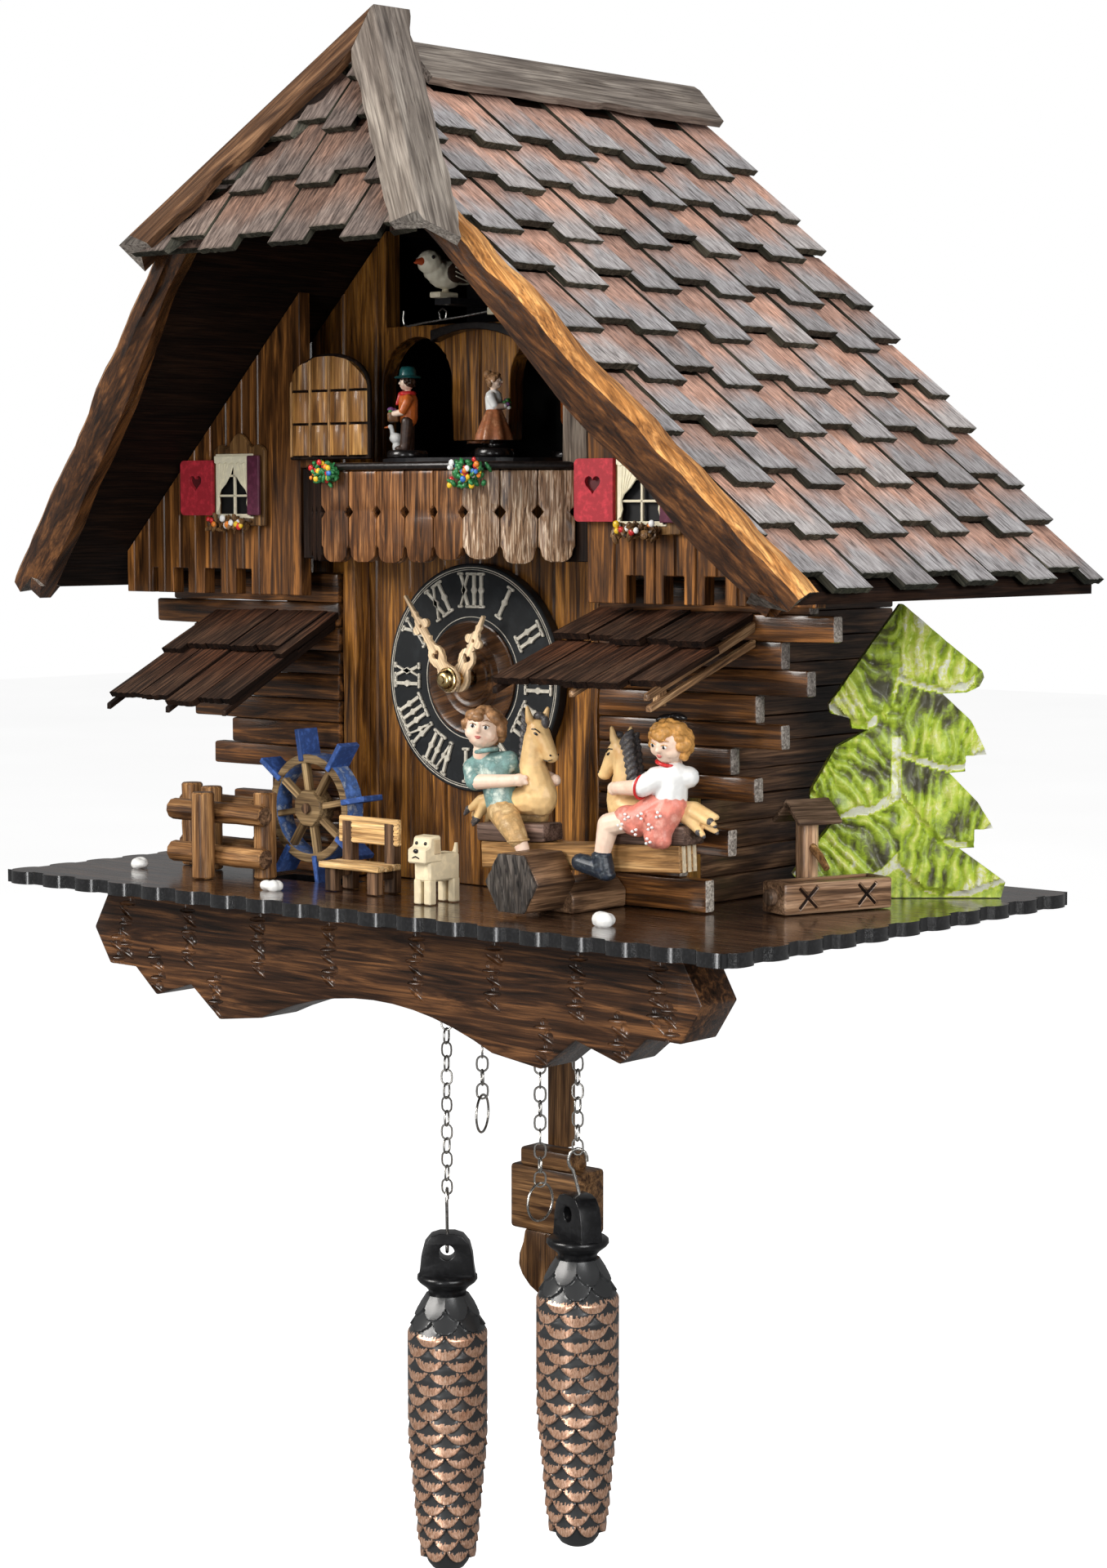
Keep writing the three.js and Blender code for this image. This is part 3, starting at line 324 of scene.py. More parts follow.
def make_materials():
    library = {
        "platform": wood("platform_wood", (0.014, 0.007, 0.005), (0.045, 0.02, 0.011), (0.13, 0.066, 0.035),
                         0.16, 1.6, specular=0.6),
        "black_edge": painted("black_edge", (0.012, 0.012, 0.013), 0.14, 1.6, 0.5, 0.8, 0.3, specular=0.7),
        "wall": wood("wall_wood", (0.02, 0.011, 0.008), (0.075, 0.04, 0.024), (0.19, 0.105, 0.06), 0.35,
                     0.4),
        "log": wood("log_wood", (0.018, 0.009, 0.005), (0.08, 0.033, 0.012), (0.28, 0.115, 0.035), 0.26,
                    0.9, specular=0.35),
        "plank": wood("plank_wood", (0.03, 0.012, 0.004), (0.19, 0.077, 0.017), (0.52, 0.23, 0.05), 0.24,
                      0.9, specular=0.3),
        "panel": wood("panel_wood", (0.028, 0.012, 0.005), (0.125, 0.05, 0.015), (0.38, 0.155, 0.04), 0.28,
                      0.7),
        # near-black wood: painted shade on undersides, gaps, grooves and the balcony's shaded side
        "painted_shade": wood("painted_shade_wood", (0.005, 0.0025, 0.002), (0.012, 0.006, 0.004), (0.026, 0.012, 0.007),
                       0.6, 0, specular=0.12),
        "fascia": wood("fascia_wood", (0.014, 0.007, 0.004), (0.058, 0.026, 0.013), (0.19, 0.085, 0.035),
                       0.24, 0.9),
        "golden": wood("golden_wood", (0.12, 0.05, 0.014), (0.32, 0.15, 0.045), (0.56, 0.3, 0.1), 0.3, 0.5),
        "barge_front": wood("barge_front", (0.014, 0.006, 0.003), (0.06, 0.024, 0.009), (0.17, 0.07, 0.024),
                            0.18, 1.2, specular=0.4),
        "barge_top": wood("barge_top", (0.13, 0.05, 0.014), (0.36, 0.16, 0.05), (0.62, 0.33, 0.12), 0.25,
                          0.6),
        "grey_end": wood("grey_end", (0.17, 0.15, 0.14), (0.3, 0.27, 0.25), (0.46, 0.42, 0.39), 0.55, 0.1,
                         0.5, 1.2),
        "cap": wood("cap_wood", (0.11, 0.088, 0.074), (0.2, 0.17, 0.15), (0.33, 0.29, 0.26), 0.34, 0.7, 0.2,
                    1.2),
        "shingle": shingle_material("shingle", (0.065, 0.058, 0.057), (0.29, 0.275, 0.275),
                                    (0.52, 0.51, 0.51),
                                    (1.45, 0.8, 0.54), 0.78),
        "hip_shingle": shingle_material("hip_shingle", (0.03, 0.022, 0.019), (0.11, 0.085, 0.074),
                                        (0.25, 0.2, 0.172),
                                        (1.45, 0.85, 0.55), 0.5),
        "awning_shingle": shingle_material("awning_shingle", (0.006, 0.004, 0.003), (0.026, 0.014, 0.009),
                                           (0.11, 0.06, 0.036), (1.5, 0.8, 0.4), 0.5),
        "shingle_edge": wood("shingle_edge", (0.018, 0.02, 0.014), (0.045, 0.045, 0.034),
                             (0.09, 0.085, 0.065), 0.6, 0.05),
        "dial_black": painted("dial_black", (0.012, 0.014, 0.016), 0.42, 0.1, 0.3, 0.2, 0.05),
        "dial_brown": wood("dial_brown", (0.018, 0.008, 0.004), (0.06, 0.027, 0.012), (0.13, 0.06, 0.026),
                           0.25, 0.5),
        "numeral": painted("numeral", (0.62, 0.58, 0.49), 0.5, 0.1, 0.2, 0.4),
        "hand": wood("hand_wood", (0.68, 0.48, 0.29), (0.83, 0.63, 0.42), (0.9, 0.73, 0.52), 0.5, 0.1),
        "brass": metal("brass", (0.5, 0.33, 0.12), (0.86, 0.66, 0.34), 0.15),
        "steel": metal("steel", (0.32, 0.3, 0.27), (0.72, 0.7, 0.66), 0.18),
        "black_rail": painted("black_rail", (0.014, 0.01, 0.009), 0.3, 0.5, 0.5, 0.8, 0.3),
        # near-black paint: painted shade for the dark insides behind openings
        "painted_shade_black": painted("painted_shade_black", (0.004, 0.004, 0.005), 0.6, 0.05, 0.4, 0.2, 0.1),
        "post_grey": wood("post_grey", (0.06, 0.045, 0.035), (0.16, 0.125, 0.1), (0.33, 0.28, 0.23), 0.45,
                          0.2),
        "beam_brown": wood("beam_brown", (0.035, 0.016, 0.008), (0.105, 0.052, 0.027), (0.24, 0.13, 0.07),
                           0.25, 0.5),
        "awning_rail": wood("awning_rail", (0.05, 0.025, 0.012), (0.2, 0.11, 0.055), (0.42, 0.27, 0.15),
                            0.4, 0.3),
        "balcony": wood("balcony_wood", (0.03, 0.013, 0.006), (0.13, 0.052, 0.019), (0.34, 0.155, 0.06),
                        0.3, 0.6, 0.4, 1.2),
        # lighter wood with pale streaks, used on the balcony's right run
        "balcony_streaked": wood("balcony_streaked", (0.06, 0.028, 0.015), (0.29, 0.165, 0.09), (0.76, 0.6, 0.46),
                             0.35, 0.5, 0.9, 2.4),
        "crest": wood("crest_wood", (0.05, 0.025, 0.01), (0.16, 0.08, 0.03), (0.3, 0.16, 0.06), 0.4, 0.2),
        "rustic_orange": wood("rustic_orange", (0.07, 0.03, 0.012), (0.25, 0.12, 0.045), (0.48, 0.27, 0.12),
                              0.35, 0.3),
        "rustic_dark": wood("rustic_dark", (0.035, 0.018, 0.011), (0.135, 0.075, 0.043),
                            (0.32, 0.185, 0.105), 0.42, 0.3),
        "bench_wood": wood("bench_wood", (0.34, 0.19, 0.08), (0.66, 0.42, 0.19), (0.82, 0.58, 0.32), 0.42,
                           0.3),
        "well_wood": wood("well_wood", (0.06, 0.033, 0.02), (0.29, 0.165, 0.095), (0.58, 0.38, 0.25), 0.3,
                          0.6),
        "well_dark": wood("well_dark", (0.05, 0.032, 0.022), (0.15, 0.095, 0.065), (0.3, 0.2, 0.14), 0.45,
                          0.2),
        "log_end": wood("log_end", (0.014, 0.012, 0.011), (0.062, 0.054, 0.049), (0.16, 0.14, 0.125), 0.5,
                        0.1, 0.5, 1.4),
        "plank_golden": wood("plank_golden", (0.1, 0.05, 0.018), (0.35, 0.19, 0.075), (0.62, 0.39, 0.18),
                             0.3, 0.4),
        "saddle_brown": wood("saddle_brown", (0.06, 0.036, 0.028), (0.15, 0.095, 0.075),
                             (0.25, 0.165, 0.135), 0.5, 0.15),
        "ply_cream": painted("ply_cream", (0.72, 0.6, 0.42), 0.5, 0.1),
        "pendulum_wood": wood("pendulum_wood", (0.04, 0.018, 0.008), (0.14, 0.07, 0.03), (0.3, 0.16, 0.07),
                              0.3, 0.4),
        "mill_tan": wood("mill_tan", (0.1, 0.06, 0.028), (0.24, 0.155, 0.075), (0.4, 0.28, 0.15), 0.5,
                         0.15),
        "mill_blue": painted("mill_blue", (0.05, 0.115, 0.36), 0.45, 0.2, 0.35, 0.5),
        "mill_patched": painted("mill_patched", (0.1, 0.2, 0.5), 0.45, 0.2, 0.4, 0.25,
                                under=(0.55, 0.6, 0.66)),
        "dog_cream": painted("dog_cream", (0.8, 0.68, 0.46), 0.5, 0.15, 0.1, 0.3),
        "dog_ear": painted("dog_ear", (0.6, 0.46, 0.28), 0.5, 0.15, 0.1, 0.3),
        "cream": painted("cream", (0.82, 0.74, 0.55), 0.5, 0.15, 0.08, 0.3),
        "curtain": painted("curtain", (0.86, 0.79, 0.58), 0.55, 0.1, 0.08, 0.4),
        "shutter_red": painted("shutter_red", (0.5, 0.035, 0.05), 0.35, 0.4, 0.25, 0.4),
        "shutter_purple": painted("shutter_purple", (0.13, 0.03, 0.06), 0.4, 0.3, 0.3, 0.4),
        "heart_dark": painted("heart_dark", (0.1, 0.012, 0.015), 0.5, 0.1),
        "leaf": painted("leaf", (0.04, 0.26, 0.08), 0.35, 0.4, 0.4, 0.8),
        "green": painted("green", (0.08, 0.3, 0.08), 0.4, 0.3, 0.3, 0.8),
        "yellow": painted("yellow", (0.85, 0.55, 0.03), 0.35, 0.4, 0.15, 0.8),
        "red": painted("red", (0.66, 0.03, 0.03), 0.3, 0.4, 0.25, 0.8),
        "orange": painted("orange", (0.85, 0.25, 0.03), 0.35, 0.4, 0.2, 0.8),
        "blue": painted("blue", (0.05, 0.2, 0.6), 0.35, 0.4, 0.25, 0.8),
        "white": painted("white", (0.84, 0.84, 0.82), 0.4, 0.2, 0.05, 0.4),
        "skin": painted("skin", (0.9, 0.68, 0.53), 0.42, 0.25, 0.06, 0.25, 0.08, under=(0.88, 0.56, 0.42)),
        "lips": painted("lips", (0.62, 0.16, 0.14), 0.35, 0.3),
        "eye_dark": painted("eye_dark", (0.012, 0.01, 0.01), 0.2, 0.6),
        "hair_brown": painted("hair_brown", (0.42, 0.22, 0.1), 0.45, 0.2, 0.35, 0.5, 0.3),
        "hair_orange": painted("hair_orange", (0.72, 0.36, 0.1), 0.45, 0.2, 0.3, 0.5, 0.3),
        "hair_dark": painted("hair_dark", (0.055, 0.026, 0.016), 0.4, 0.3, 0.4, 0.5, 0.3),
        "teal": painted("teal", (0.2, 0.35, 0.33), 0.45, 0.2, 0.3, 0.25, 0.3, under=(0.6, 0.68, 0.6)),
        "shorts": painted("shorts", (0.56, 0.35, 0.15), 0.45, 0.2, 0.3, 0.25, 0.3,
                          under=(0.72, 0.52, 0.27)),
        "coral": painted("coral", (0.74, 0.24, 0.18), 0.42, 0.25, 0.22, 0.2, 0.3, under=(0.8, 0.42, 0.34)),
        "boot": painted("boot", (0.022, 0.03, 0.045), 0.4, 0.3, 0.5, 0.5, under=(0.07, 0.085, 0.1)),
        "black_base": painted("black_base", (0.012, 0.01, 0.01), 0.25, 0.6, 0.4, 0.4),
        "orange_cloth": painted("orange_cloth", (0.68, 0.16, 0.03), 0.35, 0.4, 0.2, 0.4),
        "hat_teal": painted("hat_teal", (0.012, 0.1, 0.1), 0.35, 0.4, 0.3, 0.4),
        "basket": painted("basket", (0.2, 0.09, 0.035), 0.4, 0.3, 0.35, 0.8),
        "purple": painted("purple", (0.2, 0.07, 0.24), 0.35, 0.3, 0.3, 0.8),
        "skirt_brown": painted("skirt_brown", (0.34, 0.12, 0.05), 0.38, 0.35, 0.25, 0.4,
                               under=(0.5, 0.24, 0.12)),
        "horse_tan": painted("horse_tan", (0.8, 0.54, 0.25), 0.4, 0.25, 0.14, 0.12, 0.2,
                             under=(0.62, 0.36, 0.14)),
        "mane_grey": painted("mane_grey", (0.085, 0.08, 0.085), 0.45, 0.2, 0.5, 0.9, 0.5,
                             under=(0.2, 0.17, 0.14)),
        "bird_cream": painted("bird_cream", (0.82, 0.76, 0.6), 0.3, 0.5, 0.05, 0.3),
        "wing_brown": painted("wing_brown", (0.055, 0.03, 0.02), 0.35, 0.3, 0.3, 0.5),
        "beak_red": painted("beak_red", (0.62, 0.1, 0.03), 0.3, 0.4),
        "tree_green": tree_material(),
        "cone_scales": cone_material(),
        "cone_black": painted("cone_black", (0.01, 0.01, 0.011), 0.3, 0.5, 0.4, 0.4, 0.1),
        "case_inside": wood("case_inside", (0.012, 0.007, 0.005), (0.035, 0.02, 0.013), (0.07, 0.04, 0.025),
                            0.5, 0.1, along="Z"),
        "back_boards": wood("back_boards", (0.1, 0.07, 0.045), (0.24, 0.17, 0.11), (0.38, 0.28, 0.19), 0.55,
                            0.1, along="Z"),
        "case_plastic": painted("case_plastic", (0.014, 0.014, 0.016), 0.4, 0.2, 0.3, 0.3, 0.15, along="Z"),
    }
    return library


def tree_material():
    """Carved strokes from dark green through lime to bare whitish edges."""
    graph = Graph("tree_green")
    vector = graph.attribute("grain", "Vector")
    streaks = graph.noise(vector, 0.4, 5, 0.7, 0.9)
    patches = graph.noise(vector, 0.07, 2)
    tone = graph.math("ADD", graph.attribute("height"), graph.math("MULTIPLY",
            graph.math("SUBTRACT", streaks, 0.5), 0.95))
    tone = graph.math("ADD", tone, graph.math("MULTIPLY", graph.math("SUBTRACT", patches, 0.5), 0.5))
    color = graph.ramp(tone, [(0.08, (0.075, 0.072, 0.038)), (0.26, (0.17, 0.2, 0.035)),
                              (0.42, (0.3, 0.42, 0.03)),
                              (0.6, (0.46, 0.6, 0.045)), (0.78, (0.66, 0.7, 0.14)), (0.93,
                                                                                     (0.78, 0.79, 0.66))])
    normal = graph.bump(streaks, 0.6, 0.6)
    return graph.finish(color, roughness=0.42, coat=0.25, normal=normal)


def cone_material():
    """Black lacquer with copper brushing over the lower part of each scale, which stops short of the scale's
    edge and leaves a thin black line there as painted shade.
    """
    graph = Graph("cone_scales")
    vector = graph.attribute("grain", "Vector")
    worn = graph.noise(graph.stretch(vector, (1, 1, 0.3)), 1.6, 4, 0.7)
    amount = graph.math("MULTIPLY", graph.attribute("height"), graph.math("ADD", worn, 0.4), clamp=True)
    sharp = graph.ramp(amount, [(0.3, (0, 0, 0)), (0.62, (1, 1, 1))])
    copper = graph.ramp(worn, [(0.3, (0.24, 0.11, 0.06)), (0.5, (0.66, 0.38, 0.25)),
                               (0.72, (0.93, 0.68, 0.52))])
    color = graph.mix(sharp, (0.03, 0.031, 0.032), copper)
    metal_share = graph.math("MULTIPLY", sharp, 0.6)
    return graph.finish(color, roughness=0.3, metallic=metal_share, coat=0.1)


# ---- solids in mm --------------------------------------------------------------------------------
def bevelled(bm, width, segments=1, angle=30):
    if width:
        edges = [e for e in bm.edges if e.calc_face_angle(0) > math.radians(angle)]
        bmesh.ops.bevel(bm, geom=edges, offset=width, offset_type="OFFSET", segments=segments,
                        profile=0.5, affect="EDGES", clamp_overlap=True)
    return bm


def place_by(across, a, b, t):
    return {"X": (t, a, b), "Y": (a, t, b), "Z": (a, b, t)}[across]


def turns(count):
    return [math.tau * i / count for i in range(count)]


def hoop(centre, across, up, count):
    """A closed ring of points from its centre and two half axes."""
    return [tuple(c + a * math.cos(t) + b * math.sin(t) for c, a,
                  b in zip(centre, across, up)) for t in turns(count)]


def bridge(bm, rings, mats=None):
    """Quads from each ring of points to the next; mats gives a material for each strip along them."""
    count = len(rings[0])
    for first, second in zip(rings, rings[1:]):
        for i in range(count):
            j = (i + 1) % count
            face = bm.faces.new((first[i], first[j], second[j], second[i]))
            face.material_index = mats[i] if mats else 0


def closed_solid(bm, rings, mats=None, cap_mat=0):
    """Bridged rings with a face over the first and the last."""
    bridge(bm, rings, mats)
    bm.faces.new(rings[0]).material_index = cap_mat
    bm.faces.new(rings[-1]).material_index = cap_mat
    bmesh.ops.recalc_face_normals(bm, faces=bm.faces)
    return bm


def prism(outline, across, low, high, holes=(), bevel=0.35, segments=1, side_mat=0, cap_mat=0):
    """An outline swept along one axis. Outline points are (y, z) for X, (x, z) for Y and (x, y) for Z."""
    loops = [list(outline)] + [list(hole) for hole in holes]
    bm = bmesh.new()
    near, far = [], []
    for loop in loops:
        near.append([bm.verts.new(place_by(across, a, b, low)) for a, b in loop])
        far.append([bm.verts.new(place_by(across, a, b, high)) for a, b in loop])
    for level in (near, far):
        if holes:
            flat = [vert for loop in level for vert in loop]
            for corner in tessellate_polygon([[Vector((a, b, 0)) for a, b in loop] for loop in loops]):
                bm.faces.new([flat[i] for i in corner]).material_index = cap_mat
        else:
            bm.faces.new(level[0]).material_index = cap_mat
    for low_loop, high_loop in zip(near, far):
        bridge(bm, (low_loop, high_loop), [side_mat] * len(low_loop))
    bmesh.ops.recalc_face_normals(bm, faces=bm.faces)
    return bevelled(bm, bevel, segments)


def block(x0, x1, y0, y1, z0, z1, bevel=0.35, segments=1):
    return prism([(x0, z0), (x1, z0), (x1, z1), (x0, z1)], "Y", y0, y1, bevel=bevel, segments=segments)


def loft(sections, mats=None, cap_mat=0, bevel=0):
    """A closed skin through equal rings of points; mats gives a material for each side strip."""
    bm = bmesh.new()
    rings = [[bm.verts.new(p) for p in section] for section in sections]
    return bevelled(closed_solid(bm, rings, mats, cap_mat), bevel)


def frames_along(points):
    """A point, side and up vector for each point of a path, without twist."""
    points = [Vector(p) for p in points]
    result = []
    side = None
    for i, point in enumerate(points):
        ahead = points[min(i + 1, len(points) - 1)] - points[max(i - 1, 0)]
        ahead.normalize()
        side = ahead.orthogonal() if side is None else side - ahead * side.dot(ahead)
        side.normalize()
        result.append((point, side, ahead.cross(side)))
    return result


def tube(points, radius, sides=8, radii=None):
    """A round rod along a path; radii gives each point its own radius."""
    sections = []
    for i, (point, side, up) in enumerate(frames_along(points)):
        r = radii[i] if radii else radius
        sections.append([point + (side * math.cos(a) + up * math.sin(a)) * r for a in turns(sides)])
    return loft(sections)


def closed_tube(points, radius, sides):
    """A wire ring through points that lie in one plane."""
    bm = bmesh.new()
    points = [Vector(p) for p in points]
    centre = sum(points, Vector()) / len(points)
    normal = (points[0] - centre).cross(points[len(points) // 4] - centre).normalized()
    rings = []
    for i, point in enumerate(points):
        ahead = (points[(i + 1) % len(points)] - points[i - 1]).normalized()
        side = ahead.cross(normal)
        rings.append([bm.verts.new(point + (side * math.cos(a) + normal * math.sin(a)) * radius)
                      for a in turns(sides)])
    bridge(bm, rings + rings[:1])
    bmesh.ops.recalc_face_normals(bm, faces=bm.faces)
    return bm


def lathe(profile, centre=(0, 0, 0), axis="Z", sides=32):
    """Turned solid. The profile is (radius, height) and starts and ends near the axis."""
    bm = bmesh.new()
    rings = []
    for radius, height in profile:
        ring = []
        for angle in turns(sides):
            local = place_by(axis, radius * math.cos(angle), radius * math.sin(angle), height)
            ring.append(bm.verts.new(Vector(local) + Vector(centre)))
        rings.append(ring)
    return closed_solid(bm, rings)


def ball(centre, radii, turn=(0, 0, 0), divisions=2):
    bm = bmesh.new()
    spin = Matrix.Rotation(turn[2], 4, "Z") @ Matrix.Rotation(turn[1], 4, "Y") @ Matrix.Rotation(turn[0], 4,
                                                                                                 "X")
    shape = Matrix.Translation(centre) @ spin @ Matrix.Diagonal((*radii, 1))
    bmesh.ops.create_icosphere(bm, subdivisions=divisions, radius=1, matrix=shape)
    return bm


def joined(parts):
    total = bmesh.new()
    for part in parts:
        mesh = bpy.data.meshes.new("part")
        part.to_mesh(mesh)
        part.free()
        total.from_mesh(mesh)
        bpy.data.meshes.remove(mesh)
    return total


def temporary(bm):
    mesh = bpy.data.meshes.new("temporary")
    bm.to_mesh(mesh)
    bm.free()
    obj = bpy.data.objects.new("temporary", mesh)
    bpy.context.scene.collection.objects.link(obj)
    return obj


def baked(obj, *helpers):
    """The object's mesh with its modifiers applied; the temporary objects are removed."""
    graph = bpy.context.evaluated_depsgraph_get()
    result = bmesh.new()
    result.from_mesh(obj.evaluated_get(graph).to_mesh())
    for spent in (obj, *helpers):
        mesh = spent.data
        bpy.data.objects.remove(spent)
        bpy.data.meshes.remove(mesh)
    return result


def carve(bm, cutter, operation="DIFFERENCE", overlapping=False):
    target, tool = temporary(bm), temporary(cutter)
    change = target.modifiers.new("carve", "BOOLEAN")
    change.operation = operation
    change.solver = "EXACT"
    change.use_self = overlapping
    change.object = tool
    return baked(target, tool)


def organic(parts, voxel=0.5, smoothing=4):
    """One rounded body from overlapping solids."""
    target = temporary(joined(parts))
    remesh = target.modifiers.new("remesh", "REMESH")
    remesh.mode = "VOXEL"
    remesh.voxel_size = voxel
    smooth = target.modifiers.new("smooth", "SMOOTH")
    smooth.iterations = smoothing
    smooth.factor = 0.5
    return baked(target)


def sliced(bm, axis, step):
    """Extra loops every step mm along an axis, so that a surface can be shaped."""
    index = "XYZ".index(axis)
    places = [v.co[index] for v in bm.verts]
    normal = Vector((0, 0, 0))
    normal[index] = 1
    place = min(places) + step
    while place < max(places) - step * 0.3:
        point = Vector((0, 0, 0))
        point[index] = place
        bmesh.ops.bisect_plane(bm, geom=bm.verts[:] + bm.edges[:] + bm.faces[:], plane_co=point,
                               plane_no=normal)
        place += step
    return bm


def roughen(bm, amount, scale, seed=0):
    """Shifts points by smooth noise, for hand-carved edges."""
    for vert in bm.verts:
        place = vert.co * scale + Vector((seed * 7.3, seed * 3.1, seed))
        shift = Vector([noise.noise(place + Vector((offset, -offset, offset)))
                        for offset in (9.3, 41.7, 77.1)])
        vert.co += shift * amount
    return bm


def moved(bm, matrix):
    bmesh.ops.transform(bm, matrix=matrix, verts=bm.verts)
    return bm


def mirrored(bm):
    """The same solid on the other side of x = 0."""
    bmesh.ops.transform(bm, matrix=Matrix.Diagonal((-1, 1, 1, 1)), verts=bm.verts)
    bmesh.ops.reverse_faces(bm, faces=bm.faces)
    return bm


def sided(bm, side):
    """A solid drawn for the right, put on its own side."""
    return mirrored(bm) if side < 0 else bm


class Batch:
    """Gathers solids in mm and makes one object of them. Each solid has its own grain and tint."""

    def __init__(self, seed=1):
        self.random = random.Random(seed)
        self.verts, self.faces, self.mats = [], [], []
        self.grain, self.tint, self.height = [], [], []

    def take(self, bm, along=(0, 0, 1), tint=None, mat=None, tint_of=None, height_of=None):
        axis = Vector(along).normalized()
        side = axis.orthogonal().normalized()
        up = axis.cross(side)
        shift = Vector([self.random.uniform(-400, 400) for _ in range(3)])
        chosen = self.random.random() if tint is None else tint
        base = len(self.verts)
        bm.verts.index_update()
        for vert in bm.verts:
            co = vert.co.copy()
            self.verts.append(co)
            own = tint_of(co) if tint_of else chosen
            spread = Vector((own * 91, own * 37, own * 130)) if tint_of else Vector()
            self.grain.append(Vector((co.dot(side), co.dot(up), co.dot(axis))) + shift + spread)
            self.tint.append(own)
            self.height.append(height_of(co) if height_of else 0)
        for face in bm.faces:
            self.faces.append([base + v.index for v in face.verts])
            self.mats.append(face.material_index if mat is None else mat)
        bm.free()

    def make(self, name, materials, body, replaces=(), smooth=35):
        mesh = bpy.data.meshes.new(name)
        mesh.from_pydata([row_point(v) for v in self.verts], [], self.faces)
        mesh.polygons.foreach_set("material_index", self.mats)
        mesh.polygons.foreach_set("use_smooth", [True] * len(self.faces))
        grain = mesh.attributes.new("grain", "FLOAT_VECTOR", "POINT")
        grain.data.foreach_set("vector", [c for v in self.grain for c in v])
        for label, values in (("tint", self.tint), ("height", self.height)):
            mesh.attributes.new(label, "FLOAT", "POINT").data.foreach_set("value", values)
        mesh.set_sharp_from_angle(angle=math.radians(smooth))
        for key in materials:
            mesh.materials.append(MAT[key])
        mesh.update()
        obj = bpy.data.objects.new(name, mesh)
        bpy.context.scene.collection.objects.link(obj)
        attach(obj, body)
        if replaces:
            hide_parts(*replaces)
        return obj


def circle(cx, cz, radius, sides=24, start=0.0, end=math.tau):
    full = abs(end - start - math.tau) < 1e-6
    steps = sides if full else sides + 1
    return [(cx + radius * math.cos(start + (end - start) * i / sides),
             cz + radius * math.sin(start + (end - start) * i / sides)) for i in range(steps)]


# ---- roof ----------------------------------------------------------------------------------------
ROWS = 10
ROW_PITCH = 17.45
STAGGER = 4.9
SHINGLE_WIDTH = 21.0
SHINGLE_LENGTH = 27.0
SHINGLE_STEP = 4.2              # a row's drop at its tips, along z
HIP_PITCH = 13.4
HIP_SHINGLE_LENGTH = 18.5


def barge_front(x):
    return BARGE.y0 + 0.1 + BARGE_LEAN * (x - BARGE.x0)


def hip_line(x):
    return HIP_EDGE - HIP_SLANT * x


def roof_limit(x):
    """The roof's forward edge: behind the barge board, or along the hip near the ridge."""
    return max(barge_front(x) + BARGE_THICK + 0.5, hip_line(x) + 5)


def shingle(corner, columns, thick, rng, groove=0.22):
    """corner(across 0..1, along 0..1, lift) gives a point; along 0 is the tip."""
    bm = bmesh.new()
    grooves = [rng.uniform(-groove, 0) for _ in range(columns + 1)]
    ragged = [rng.uniform(0, 0.022) for _ in range(columns + 1)]
    lines = []
    for along in (0, 0.3, 0.65, 1):
        line = []
        for i in range(columns + 1):
            lift = grooves[i] * (0.7 + 0.5 * rng.random())
            start = along + ragged[i] if along == 0 else along
            line.append(bm.verts.new(corner(i / columns, start, lift)))
        lines.append(line)
    low = [bm.verts.new(corner(i / columns, ragged[i] + 0.01, -thick)) for i in range(columns + 1)]
    high = [bm.verts.new(corner(0, 1, -thick)), bm.verts.new(corner(1, 1, -thick))]
    for first, second in zip(lines, lines[1:]):
        for i in range(columns):
            bm.faces.new((first[i], first[i + 1], second[i + 1], second[i]))
    for i in range(columns):
        bm.faces.new((low[i], low[i + 1], lines[0][i + 1], lines[0][i])).material_index = 1
    bm.faces.new([low[0], *[line[0] for line in lines], high[0]]).material_index = 1
    bm.faces.new([low[-1], high[1], *[line[-1] for line in reversed(lines)]]).material_index = 1
    bm.faces.new([*lines[-1], high[1], high[0]])
    bm.faces.new([*reversed(low), high[0], high[1]])
    bmesh.ops.recalc_face_normals(bm, faces=bm.faces)
    return bm


